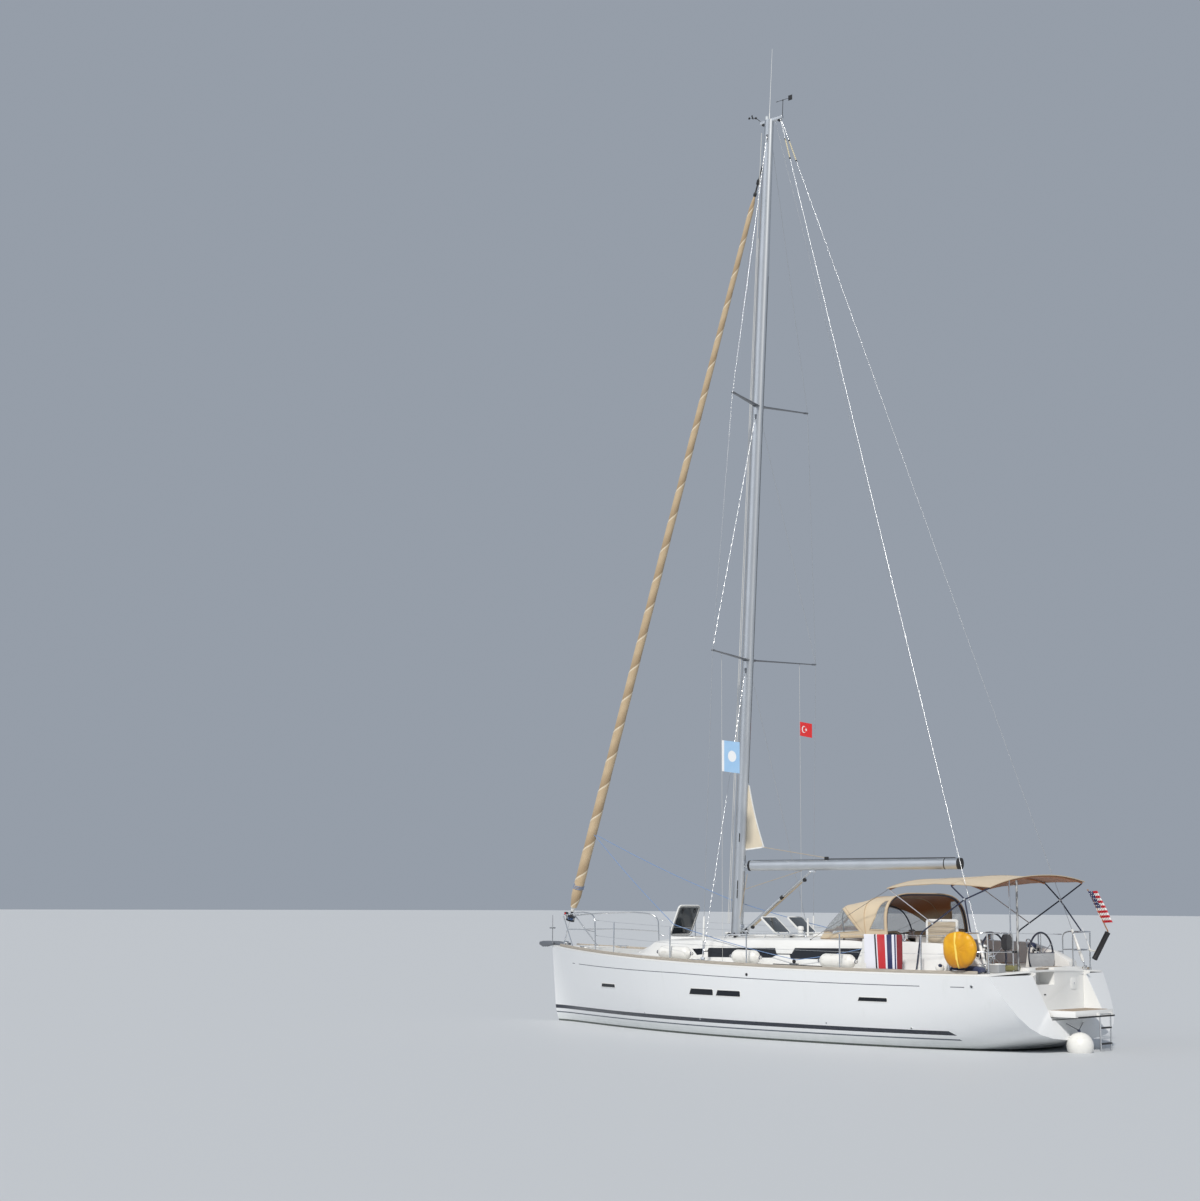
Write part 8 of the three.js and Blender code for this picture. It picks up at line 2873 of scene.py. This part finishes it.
def cleats():
    bm = bmesh.new()
    for s in BOTH_SIDES:
        for x, inward in ((4.62, 0.13), (0.72, 0.085), (-4.86, 0.10)):
            y = s * (deck_edge(x) - inward)
            ahead = Vector((1, s * (deck_edge(x + 0.2) - deck_edge(x - 0.2)) / 0.4, 0))
            add_cleat(bm, x, y, ahead)
    piece("mooring_cleats", bm, "stainless")


GRAB_RAIL_FRONT, GRAB_RAIL_LONG = 0.81, 1.77
TRACK_FRONT, TRACK_LONG = -0.70, 1.35


def roof_rails():
    """Grab rails on the coachroof's edge."""
    bm, base = bmesh.new(), bmesh.new()
    for s in BOTH_SIDES:
        marks = [GRAB_RAIL_FRONT - GRAB_RAIL_LONG * i / 12 for i in range(13)]
        y = s * 0.735
        line = [Vector((x, y, deck_at(x, y)[0] + 0.062)) for x in marks]
        first, last = line[0] + Vector((0.05, 0, -0.058)), line[-1] + Vector((-0.05, 0, -0.058))
        add_sweep(bm, rounded([first, *line, last], 0.03), 0.0125, 14)
        for i in (3, 6, 9):
            spot = line[i]
            add_rod(bm, (spot.x, spot.y, spot.z), (spot.x, spot.y, spot.z - 0.061), 0.009, sides=14)
        for spot in (first, line[3] - UP * 0.058, line[6] - UP * 0.058, line[9] - UP * 0.058, last):
            add_lathe(base, [(0, -0.006), (0.022, -0.006), (0.022, 0.002), (0.014, 0.008), (0, 0.008)], spot,
                      UP, 20)
    piece("roof_grab_rails", bm, "stainless")
    piece("grab_rail_feet", base, "stainless")


def sheet_tracks():
    """Tracks beside the coachroof, with the cars and blocks of the headsail's sheets."""
    track, cars, sheaves = bmesh.new(), bmesh.new(), bmesh.new()
    for s in BOTH_SIDES:
        row = []
        for i in range(19):
            x = TRACK_FRONT - TRACK_LONG * i / 18
            y = s * (roof_side(x) + 0.055)
            z, normal = deck_at(x, y)
            row.append(Vector((x, y, z)) + normal * 0.0075)
        row = even(row, 20)
        add_sweep(track, row, 0.016, 8, squash=(1, 0.55))
        for i in range(1, 20, 2):
            add_lathe(track, [(0, 0), (0.0045, 0), (0.004, 0.0022), (0, 0.0025)], row[i] + UP * 0.0082, UP,
                      10)
        spot = row[7]
        add_block(cars, spot.x - 0.055, spot.x + 0.055, spot.y - 0.023, spot.y + 0.023, spot.z + 0.002,
                  spot.z + 0.032, 0.006, 3)
        for k in (-0.058, 0.058):
            add_lathe(cars, [(0, 0), (0.012, 0), (0.013, 0.004), (0.013, 0.020), (0.008, 0.027), (0, 0.027)],
                      (spot.x + k * 1.5, spot.y, spot.z + 0.003), UP, 16)
        add_lathe(sheaves, [(0, -0.014), (0.032, -0.012), (0.035, -0.006), (0.028, 0), (0.035, 0.006),
                            (0.032, 0.012), (0, 0.014)],
                  (spot.x, spot.y, spot.z + 0.062), (0, 1, 0), 26)
    piece("sheet_tracks", track, "black_plastic", crease=28)
    piece("sheet_cars", cars, "stainless_dull", slot="stainless", crease=28)
    piece("sheet_car_blocks", sheaves, "black_plastic", crease=28)


def halyards_on_roof():
    """Lines from the mast's foot over two organisers to the clutches in front of the winches."""
    lines = {"rope_white": bmesh.new(), "rope_blue": bmesh.new(), "rope_tan": bmesh.new()}
    gear, levers, metal = bmesh.new(), bmesh.new(), bmesh.new()
    looks = ("rope_white", "rope_blue", "rope_tan", "rope_white")
    for s in BOTH_SIDES:
        for n, look in enumerate(looks):
            offset = 0.024 * n
            way = [(1.12 - 0.02 * n, 0.11 + offset), (0.88, 0.40 + offset), (0.62, 0.640 + offset * 0.9),
                   (-0.60, 0.655 + offset * 0.9), (-1.10, 0.610 + offset * 0.8), (-1.86, 0.505 + offset),
                   (-2.12, 0.505 + offset)]
            line = []
            for (xa, ya), (xb, yb) in zip(way, way[1:]):
                steps = max(2, int(abs(xa - xb) / 0.12))
                for i in range(steps):
                    x, y = xa + (xb - xa) * i / steps, ya + (yb - ya) * i / steps
                    line.append(Vector((x, s * y, deck_at(x, s * y)[0] + 0.012)))
            line.append(Vector((way[-1][0], s * way[-1][1], deck_at(way[-1][0], s * way[-1][1])[0] + 0.026)))
            line[0].z += 0.018
            add_sweep(lines[look], line, 0.0052, 8)
            x, y = -1.99, s * (0.505 + offset)
            z = deck_at(x, y)[0]
            add_block(gear, x - 0.085, x + 0.085, y - 0.0105, y + 0.0105, z + 0.0005, z + 0.046, 0.005, 3)
            add_block(levers, x - 0.045, x + 0.078, y - 0.0085, y + 0.0085, z + 0.047, z + 0.058, 0.004, 3)
        for x, y in ((0.68, 0.655), (-0.66, 0.690)):
            z = deck_at(x, s * y)[0]
            plate = bmesh.new()
            add_box(plate, x - 0.035, x + 0.035, s * y - 0.062, s * y + 0.062, z + 0.0275, z + 0.031)
            add_box(plate, x - 0.035, x + 0.035, s * y - 0.062, s * y + 0.062, z + 0.0005, z + 0.004)
            soften(plate, 0.0012, 30, 2)
            merge(metal, plate)
            for k in range(4):
                add_lathe(gear, [(0, 0.004), (0.0125, 0.004), (0.009, 0.014), (0.0125, 0.0275), (0, 0.0275)],
                          (x, s * y + (k - 1.5) * 0.030, z), UP, 18)
        for k, turn in enumerate((20, 62, 104, 146)):
            a = math.radians(turn)
            x, y = mast_x(1.87) - 0.015 + 0.185 * math.cos(a), s * 0.165 * math.sin(a)
            z = deck_at(x, y)[0]
            add_lathe(gear, [(0, -0.012), (0.026, -0.011), (0.028, -0.006), (0.022, 0), (0.028, 0.006),
                             (0.026, 0.011), (0, 0.012)],
                      (x, y, z + 0.040), (math.sin(a), -s * math.cos(a), 0), 22)
            add_rod(metal, (x, y, z + 0.0005), (x, y, z + 0.018), 0.009, sides=14)
    for look, bm in lines.items():
        piece("deck_lines_" + look[5:], bm, look, slot="rigging_wire")
    piece("clutches_and_blocks", gear, "black_plastic", crease=28)
    piece("clutch_levers", levers, "grey_plastic", slot="black_plastic", crease=28)
    piece("organiser_plates", metal, "stainless_dull", slot="stainless", crease=28)


def roof_vents():
    white, steel = bmesh.new(), bmesh.new()
    z = deck_at(-0.83, 0.45)[0]
    add_lathe(white, [(0, 0), (0.036, 0), (0.036, 0.006), (0.020, 0.014), (0.0175, 0.020),
                      (0.0165, 2.070 - z), (0.0185, 2.072 - z), (0.0185, 2.087 - z), (0.010, 2.094 - z),
                      (0, 2.094 - z)], (-0.83, 0.45, z), UP, 28)
    z = deck_at(-0.665, 0.45)[0]
    add_lathe(white, [(0, 0), (0.058, 0), (0.060, 0.006), (0.052, 0.014), (0.048, 0.100), (0.056, 0.108),
                      (0.060, 0.140), (0.054, 0.166), (0.030, 0.178), (0, 0.180)], (-0.665, 0.45, z), UP, 32)
    for x, y in ((-0.665, -0.45), (1.62, -0.30), (3.18, 0.0)):
        z = deck_at(x, y)[0]
        add_lathe(white, [(0, 0), (0.078, 0), (0.078, 0.008), (0.055, 0.016), (0.050, 0.055), (0.076, 0.058),
                          (0.084, 0.070), (0.078, 0.084), (0.050, 0.094), (0, 0.097)], (x, y, z), UP, 36)
        add_lathe(steel, [(0.0775, 0.0), (0.081, 0.0), (0.081, 0.004), (0.0775, 0.005)], (x, y, z), UP, 36)
        add_lathe(steel, [(0, 0.094), (0.011, 0.0945), (0.011, 0.101), (0, 0.103)], (x, y, z), UP, 18)
    piece("roof_vents", white, "white_plastic", slot=SLOT_OF["deck_moulding"], crease=30)
    piece("vent_rings", steel, "stainless", crease=30)


def foredeck_gear():
    """Windlass, its chain to the roller and its two foot switches."""
    metal, dark, chain = bmesh.new(), bmesh.new(), bmesh.new()
    x = 5.56
    z = deck_at(x, 0)[0]
    add_lathe(metal, [(0, 0), (0.060, 0), (0.060, 0.010), (0.046, 0.022), (0.046, 0.040), (0.062, 0.050),
                      (0.046, 0.062), (0.062, 0.074), (0.050, 0.086), (0.020, 0.094), (0, 0.094)],
                      (x, 0.075, z), UP, 32)
    start, end = Vector((5.62, 0.036, z + 0.048)), Vector((6.16, 0.0, deck_at(5.9, 0.0)[0] + 0.028))
    links = 26
    for i in range(links):
        spot = start.lerp(end, (i + 0.5) / links)
        along = (end - start).normalized()
        wide = along.cross(UP).normalized() if i % 2 else UP.cross(along).cross(along).normalized()
        ring = [spot + along * (0.0155 * math.cos(t)) + wide * (0.0085 * math.sin(t))
                for t in [k * math.tau / 12 for k in range(12)]]
        add_sweep(chain, ring, 0.0034, 6, closed=True)
    for s in BOTH_SIDES:
        add_lathe(dark, [(0, 0), (0.030, 0), (0.030, 0.005), (0.022, 0.012), (0, 0.012)],
                  (5.50, s * 0.155, deck_at(5.50, s * 0.155)[0]), UP, 24)
    piece("windlass", metal, "stainless", crease=28)
    piece("anchor_chain", chain, "stainless_dull", slot="stainless", crease=28)
    piece("windlass_switches", dark, "rubber", slot="black_plastic", crease=28)


def shroud_plates():
    steel = bmesh.new()
    for s in BOTH_SIDES:
        y = deck_edge(0.30) - 0.075
        z = deck_at(0.30, s * y)[0]
        add_block(steel, 0.05, 0.56, s * (y - 0.032), s * (y + 0.032), z - 0.002, z + 0.006, 0.002)
    piece("shroud_plates", steel, "stainless_dull", slot="stainless", crease=28)


# The stern

def platform_wood():
    """Teak laid on the bathing platform, its brown lower edge and the hinge leaves."""
    low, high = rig.box("swim_platform")
    wood, edge, steel = bmesh.new(), bmesh.new(), bmesh.new()
    top = high[2]
    for y0, y1 in ((-0.555, -0.500), (-0.100, 0.555), (-0.490, -0.110)):
        add_slab(wood, -6.235, -5.815, y0, y1, top - 0.001, top + 0.0045, 0.018, 0.0012)
    piece("platform_teak", wood, "teak_across", "swim_platform", "teak")
    add_block(edge, low[0] - 0.0005, low[0] + 0.004, -0.585, 0.585, low[2] + 0.008, low[2] + 0.034, 0.0015)
    piece("platform_edge_strip", edge, "rubber", "swim_platform", "teak")
    for y in (-0.42, 0.42):
        add_slab(steel, -5.865, -5.800, y - 0.030, y + 0.030, top - 0.001, top + 0.0035, 0.008, 0.0008)
        for dx in (0.018, 0.046):
            for dy in (-0.015, 0.015):
                add_lathe(steel, [(0, 0), (0.0048, 0), (0.004, 0.0016), (0, 0.002)],
                          (-5.865 + dx, y + dy, top + 0.0034), UP, 10)
    piece("platform_hinges", steel, "stainless", "swim_platform")


LADDER_X = -6.326
LADDER_SIDES = (-0.470, -0.130)


def ladder():
    steel, black = bmesh.new(), bmesh.new()
    treads = (-0.400, -0.145, 0.110, 0.365)
    for y in LADDER_SIDES:
        add_sweep(steel, rounded([(LADDER_X, y, 0.612), (LADDER_X, y, -0.405),
                                  (LADDER_X, y + (0.012 if y < -0.3 else -0.012), -0.428)], 0.01),
                  0.0127, 14)
    for z in treads:
        add_slab(black, -6.353, -6.300, -0.461, -0.139, z - 0.001, z + 0.0235, 0.006, 0.003)
        for k in range(9):
            y = -0.440 + k * 0.035
            add_block(black, -6.348, -6.305, y, y + 0.014, z + 0.022, z + 0.0255, 0.001, 1)
        for y in LADDER_SIDES:
            add_lathe(steel, [(0.0127, -0.004), (0.0165, -0.003), (0.0165, 0.024), (0.0127, 0.026),
                              (0.0127, -0.004)],
                      (LADDER_X, y, z - 0.001), UP, 18)
    add_rod(steel, (LADDER_X, -0.485, 0.598), (LADDER_X, -0.115, 0.598), 0.0062, sides=14)
    piece("ladder_tubes", steel, "stainless", "boarding_ladder", "stainless", ("boarding_ladder",), 28)
    piece("ladder_treads", black, "black_plastic", "boarding_ladder", "black_plastic", (), 28)


RECESS_LOW, RECESS_HIGH, RECESS_X = 0.575, 1.262, -5.475


def recess_walls():
    """The side walls of the stern's recess, from the apron to the edge of the transom."""
    walls = bmesh.new()
    for y, look_y in ((-1.108, -1.150), (0.628, 0.668)):
        plate = grid(8, 20)
        for v in plate.verts:
            z = RECESS_LOW + (RECESS_HIGH - RECESS_LOW) * (v.co.y + 0.5)
            aft = HULL.ray_cast(Vector((BEHIND_STERN, look_y, z)), Vector((1, 0, 0)), 6.0)[0]
            aft = aft.x + 0.006 if aft is not None else -5.60
            v.co = Vector((RECESS_X + (min(aft, RECESS_X - 0.001) - RECESS_X) * (v.co.x + 0.5), y, z))
        thicken(plate, 0.012)
        merge(walls, plate)
    piece("recess_walls", walls, "deck_gelcoat", crease=30)


def transom_fittings():
    steel, dark, white = bmesh.new(), bmesh.new(), bmesh.new()
    for y, z in ((0.372, 0.898), (0.150, 0.892)):
        spot = stern_at(y, z)
        add_slab_at(dark, spot, 0.060, 0.018)
    spot = stern_at(-0.78, 1.05)
    add_slab_at(white, spot, 0.200, 0.200)
    add_slab_at(steel, (spot[0] + spot[1] * 0.006, spot[1]), 0.018, 0.046)
    piece("transom_slots", dark, "rubber", slot="black_plastic")
    piece("shower_lid", white, "white_plastic", slot=SLOT_OF["deck_moulding"], crease=28)
    piece("shower_latch", steel, "stainless")


def stern_at(y, z):
    """The aft-facing skin of the stern at that height, with its normal."""
    best = None
    for tree in (DECK, HULL):
        hit = tree.ray_cast(Vector((BEHIND_STERN, y, z)), Vector((1, 0, 0)), 6.0)
        if hit[0] is not None and (best is None or hit[0].x < best[0].x):
            best = (hit[0], hit[1])
    point, normal = best
    return point, (normal if normal.x < 0 else -normal)


def add_slab_at(bm, spot, wide, high, thick=0.006):
    point, normal = spot
    part = bmesh.new()
    add_slab(part, -high / 2, high / 2, -wide / 2, wide / 2, -thick / 2, thick, min(wide, high) * 0.22,
             0.0015)
    move(part, Matrix.Translation(point) @ pointing(normal) @ Matrix.Rotation(math.pi / 2, 4, "Z"))
    merge(bm, part)


# Loose gear

def cushion(name, centre, size, look, turn=0.0, fill=0.6, plump=0.35):
    """A stuffed cushion: a rounded block, swollen in the middle."""
    bm = bmesh.new()
    bmesh.ops.create_cube(bm, size=1.0)
    bmesh.ops.subdivide_edges(bm, edges=bm.edges[:], cuts=13, use_grid_fill=True)
    a, b, c = (d / 2 for d in size)
    place = Matrix.Translation(centre) @ Matrix.Rotation(turn, 4, "Z")
    for v in bm.verts:
        u, w, h = v.co * 2
        edge = (1 - abs(u) ** 5) * (1 - abs(w) ** 5)
        swell = 1 - plump + plump * math.sqrt(max(0.0, edge))
        pull = 1 - 0.05 * abs(h) ** 4 * (abs(u) ** 4 + abs(w) ** 4) / 2
        soft = uneven(u * 2.1, w * 2.1, h + len(name)) * 0.010 + uneven(u * 6, w * 6, h * 3) * 0.004
        v.co = Vector((u * a * pull, w * b * pull, h * c * swell + soft * (0.3 + edge)))
    bmesh.ops.smooth_vert(bm, verts=bm.verts, factor=0.5, use_axis_x=True, use_axis_y=True, use_axis_z=True)
    move(bm, place)
    obj = piece(name, bm, look, slot="canvas", crease=70)
    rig.padded(obj, fill)


def loose_gear():
    seat = 1.330
    cushion("cushion_navy_aft", Vector((-3.62, 1.02, seat + 0.075)), (0.44, 0.40, 0.14), "navy_cloth", 0.10)
    cushion("cushion_navy_fore", Vector((-3.10, 0.99, seat + 0.078)), (0.42, 0.42, 0.145), "navy_cloth",
            -0.16)
    cushion("cushion_starboard", Vector((-3.25, -0.99, seat + 0.078)), (0.42, 0.42, 0.145), "navy_cloth",
            0.22)
    box, lid = bmesh.new(), bmesh.new()
    low = deck_at(-5.31, 1.30)[0]
    top = low + 0.125
    add_slab(box, -5.40, -5.22, 1.20, 1.42, low + 0.001, top, 0.022, 0.004)
    add_slab(lid, -5.407, -5.213, 1.193, 1.427, top - 0.002, top + 0.016, 0.026, 0.004)
    add_slab(lid, -5.330, -5.290, 1.22, 1.36, top + 0.015, top + 0.026, 0.012, 0.003)
    piece("stowage_box", box, "grey_plastic", slot="black_plastic", crease=28)
    piece("stowage_box_lid", lid, "white_plastic", slot="black_plastic", crease=28)


def quarter_gear():
    """What lies and hangs about the helm: two bags, a small round buoy and a folded cover."""
    bag_x, bag_y = -4.97, 1.655
    cushion("navy_bag", Vector((bag_x, bag_y, deck_at(bag_x, bag_y)[0] + 0.062)), (0.60, 0.17, 0.115),
            "navy_cloth", -0.05, 0.7, 0.5)
    cushion("rail_bag", Vector((PUSHPIT_AFT, 1.135, 1.752)), (0.105, 0.17, 0.255), "black_cloth", 0.0, 0.6,
            0.4)
    deck = deck_at(-5.34, 0.83)[0]
    cushion("folded_cover", Vector((-5.30, 0.86, deck + 0.052)), (0.20, 0.27, 0.095), "olive_cloth", 0.15,
            0.5, 0.4)
    buoy, cap = bmesh.new(), bmesh.new()
    x, y, radius = -4.42, 1.63, 0.074
    spot = Vector((x, y, deck_at(x, y)[0] + radius))
    add_ball(buoy, spot, radius, (1, 1, 1), 22)
    add_lathe(cap, [(0.030, 0.068), (0.034, 0.0665), (0.026, 0.078), (0.014, 0.086), (0.010, 0.098),
                    (0, 0.100), (0, 0.060), (0.030, 0.068)],
              spot, (-0.5, 0.6, 0.62), 24)
    piece("round_buoy", buoy, "fender_vinyl", crease=60)
    piece("round_buoy_end", cap, "navy_vinyl", slot="fender_vinyl")


# Running rigging

def sheets_and_straps():
    blue, grey, dark = bmesh.new(), bmesh.new(), bmesh.new()
    for s, mid in ((PORT, Vector((1.973, 0.900, 1.957))), (STARBOARD, Vector((1.452, -0.135, 2.427)))):
        clew = on_stay(3.70) + Vector((-0.10, s * 0.03, 0))
        y = s * (roof_side(-1.22) + 0.055)
        car = Vector((-1.22, y, deck_at(-1.22, s * (abs(y) + 0.05))[0] + 0.100))
        hit = DECK.ray_cast(Vector((-1.60, s * 1.265, 1.600)), Vector((-1, 0, 0)), 3.0)
        stops = [clew, mid, Vector((-0.427, -0.9, 1.885)), car] if s < 0 else [clew, mid, car]
        if hit[0] is not None:
            stops.append(hit[0] + Vector((0.004, 0, 0)))
            add_lathe(dark, [(0.007, -0.002), (0.024, -0.002), (0.024, 0.006), (0.010, 0.012), (0.007, 0.006),
                             (0.007, -0.002)],
                      hit[0], hit[1], 22)
        line = []
        for a, b in zip(stops, stops[1:]):
            count = max(3, int((b - a).length / 0.12))
            for i in range(count):
                t = i / count
                line.append(a.lerp(b, t) - UP * (0.05 * math.sin(math.pi * t) * min(1, (b - a).length / 4)))
        line.append(stops[-1])
        add_sweep(blue, line, 0.0062, 8)
        top = Vector((BIMINI_HOOPS[0] + 0.012, s * (BIMINI_HALF - 0.02), bimini_z(BIMINI_HOOPS[0], 1)
                      - 0.022))
        foot = Vector((-1.346, s * 1.05, deck_at(-1.346, s * 1.05)[0] + 0.010))
        add_sweep(grey, points_between(top, foot, 12), 0.0075, 8, squash=(1, 0.35))
        add_lathe(dark, [(0, -0.012), (0.012, -0.012), (0.012, 0.004), (0.006, 0.010), (0, 0.010)], foot, UP,
                  18)
    piece("headsail_sheets", blue, "rope_blue", slot="rigging_wire")
    piece("canopy_straps", grey, "grey_strap", slot="canvas")
    piece("fairleads", dark, "black_plastic", crease=28)
    tail = bmesh.new()
    add_wire(tail, Vector((1.097, 0.05, 1.96)), Vector((0.885, 0.05, 2.90)), 0.0048)
    piece("mast_tail_line", tail, "rope_tan", slot="rigging_wire")
    cross = bmesh.new()
    start, end = Vector((1.030, 0.0, 2.605)), Vector((-0.358, 0.0, 2.955))
    add_sweep(cross, points_between(start, end, 16), 0.0045, 8)
    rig.blend(piece("vang_line", cross, "rope_tan", None, "rigging_wire"), "yacht", "boom", start=start,
             end=end)


def running_rigging():
    white, tan = bmesh.new(), bmesh.new()
    low = 1.98
    for y, top in ((0.058, MAST_TOP - 0.25), (-0.058, MAST_TOP - 0.32), (0.030, 15.20)):
        ahead = 0.135
        a = Vector((mast_x(top) + ahead, y, top))
        b = Vector((mast_x(low) + ahead + 0.02, y * 1.6, low))
        add_wire(white if y > 0 else tan, b, a, 0.0052)
    end = Vector((BOOM_END + 0.05, 0.0, BOOM_Z + 0.100))
    lift_top = Vector((mast_x(MAST_TOP) - 0.16, 0.02, MAST_TOP - 0.06))
    piece("halyards_white", white, "rope_white", slot="rigging_wire")
    piece("halyards_tan", tan, "rope_tan", slot="rigging_wire")
    rope = bmesh.new()
    add_sweep(rope, points_between(end, lift_top, 40), 0.0034, 8)
    obj = piece("topping_lift", rope, "rigging_wire", None, "rigging_wire")
    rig.blend(obj, "yacht", "boom", start=lift_top, end=end)


for work in (make_camera, floor, studio, main_shapes, pulpit):
    work()
for side in BOTH_SIDES:
    lifelines(side)
    pushpit(side)
    if side == PORT:
        grey_pole()
    else:
        staff_holder()
    shrouds(side)
for work in (
    mast, mast_step, mast_groove, spreaders, mast_hinges, masthead, wind_instruments, furled_sail, forestay,
    backstays, boom, vang, sail_corner, bimini, bimini_binding, bimini_frame, sprayhood, sprayhood_trim,
    sprayhood_frame, fenders, ball_fender, towel, yellow_cover, flags, ensign, deck_grip, teak_deck,
):
    work()
for node in HATCHES:
    roof_hatch(node)
locker_lid(PORT, 90)
locker_lid(STARBOARD, 0)
cockpit_table()
for side in BOTH_SIDES:
    pedestal(side)
    steering_wheel(side)
wheel_cover()
for work in (
    portlights, hull_fittings, winches, cleats, roof_rails, sheet_tracks, halyards_on_roof, roof_vents,
    foredeck_gear, shroud_plates, platform_wood, ladder, recess_walls, transom_fittings, loose_gear,
    quarter_gear, running_rigging, sheets_and_straps,
):
    work()

visual_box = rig.bounds()
json.dump({
    "cad": [list(corner) for corner in cad_box],
    "visual": [list(corner) for corner in visual_box],
}, open("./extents.json", "w"))
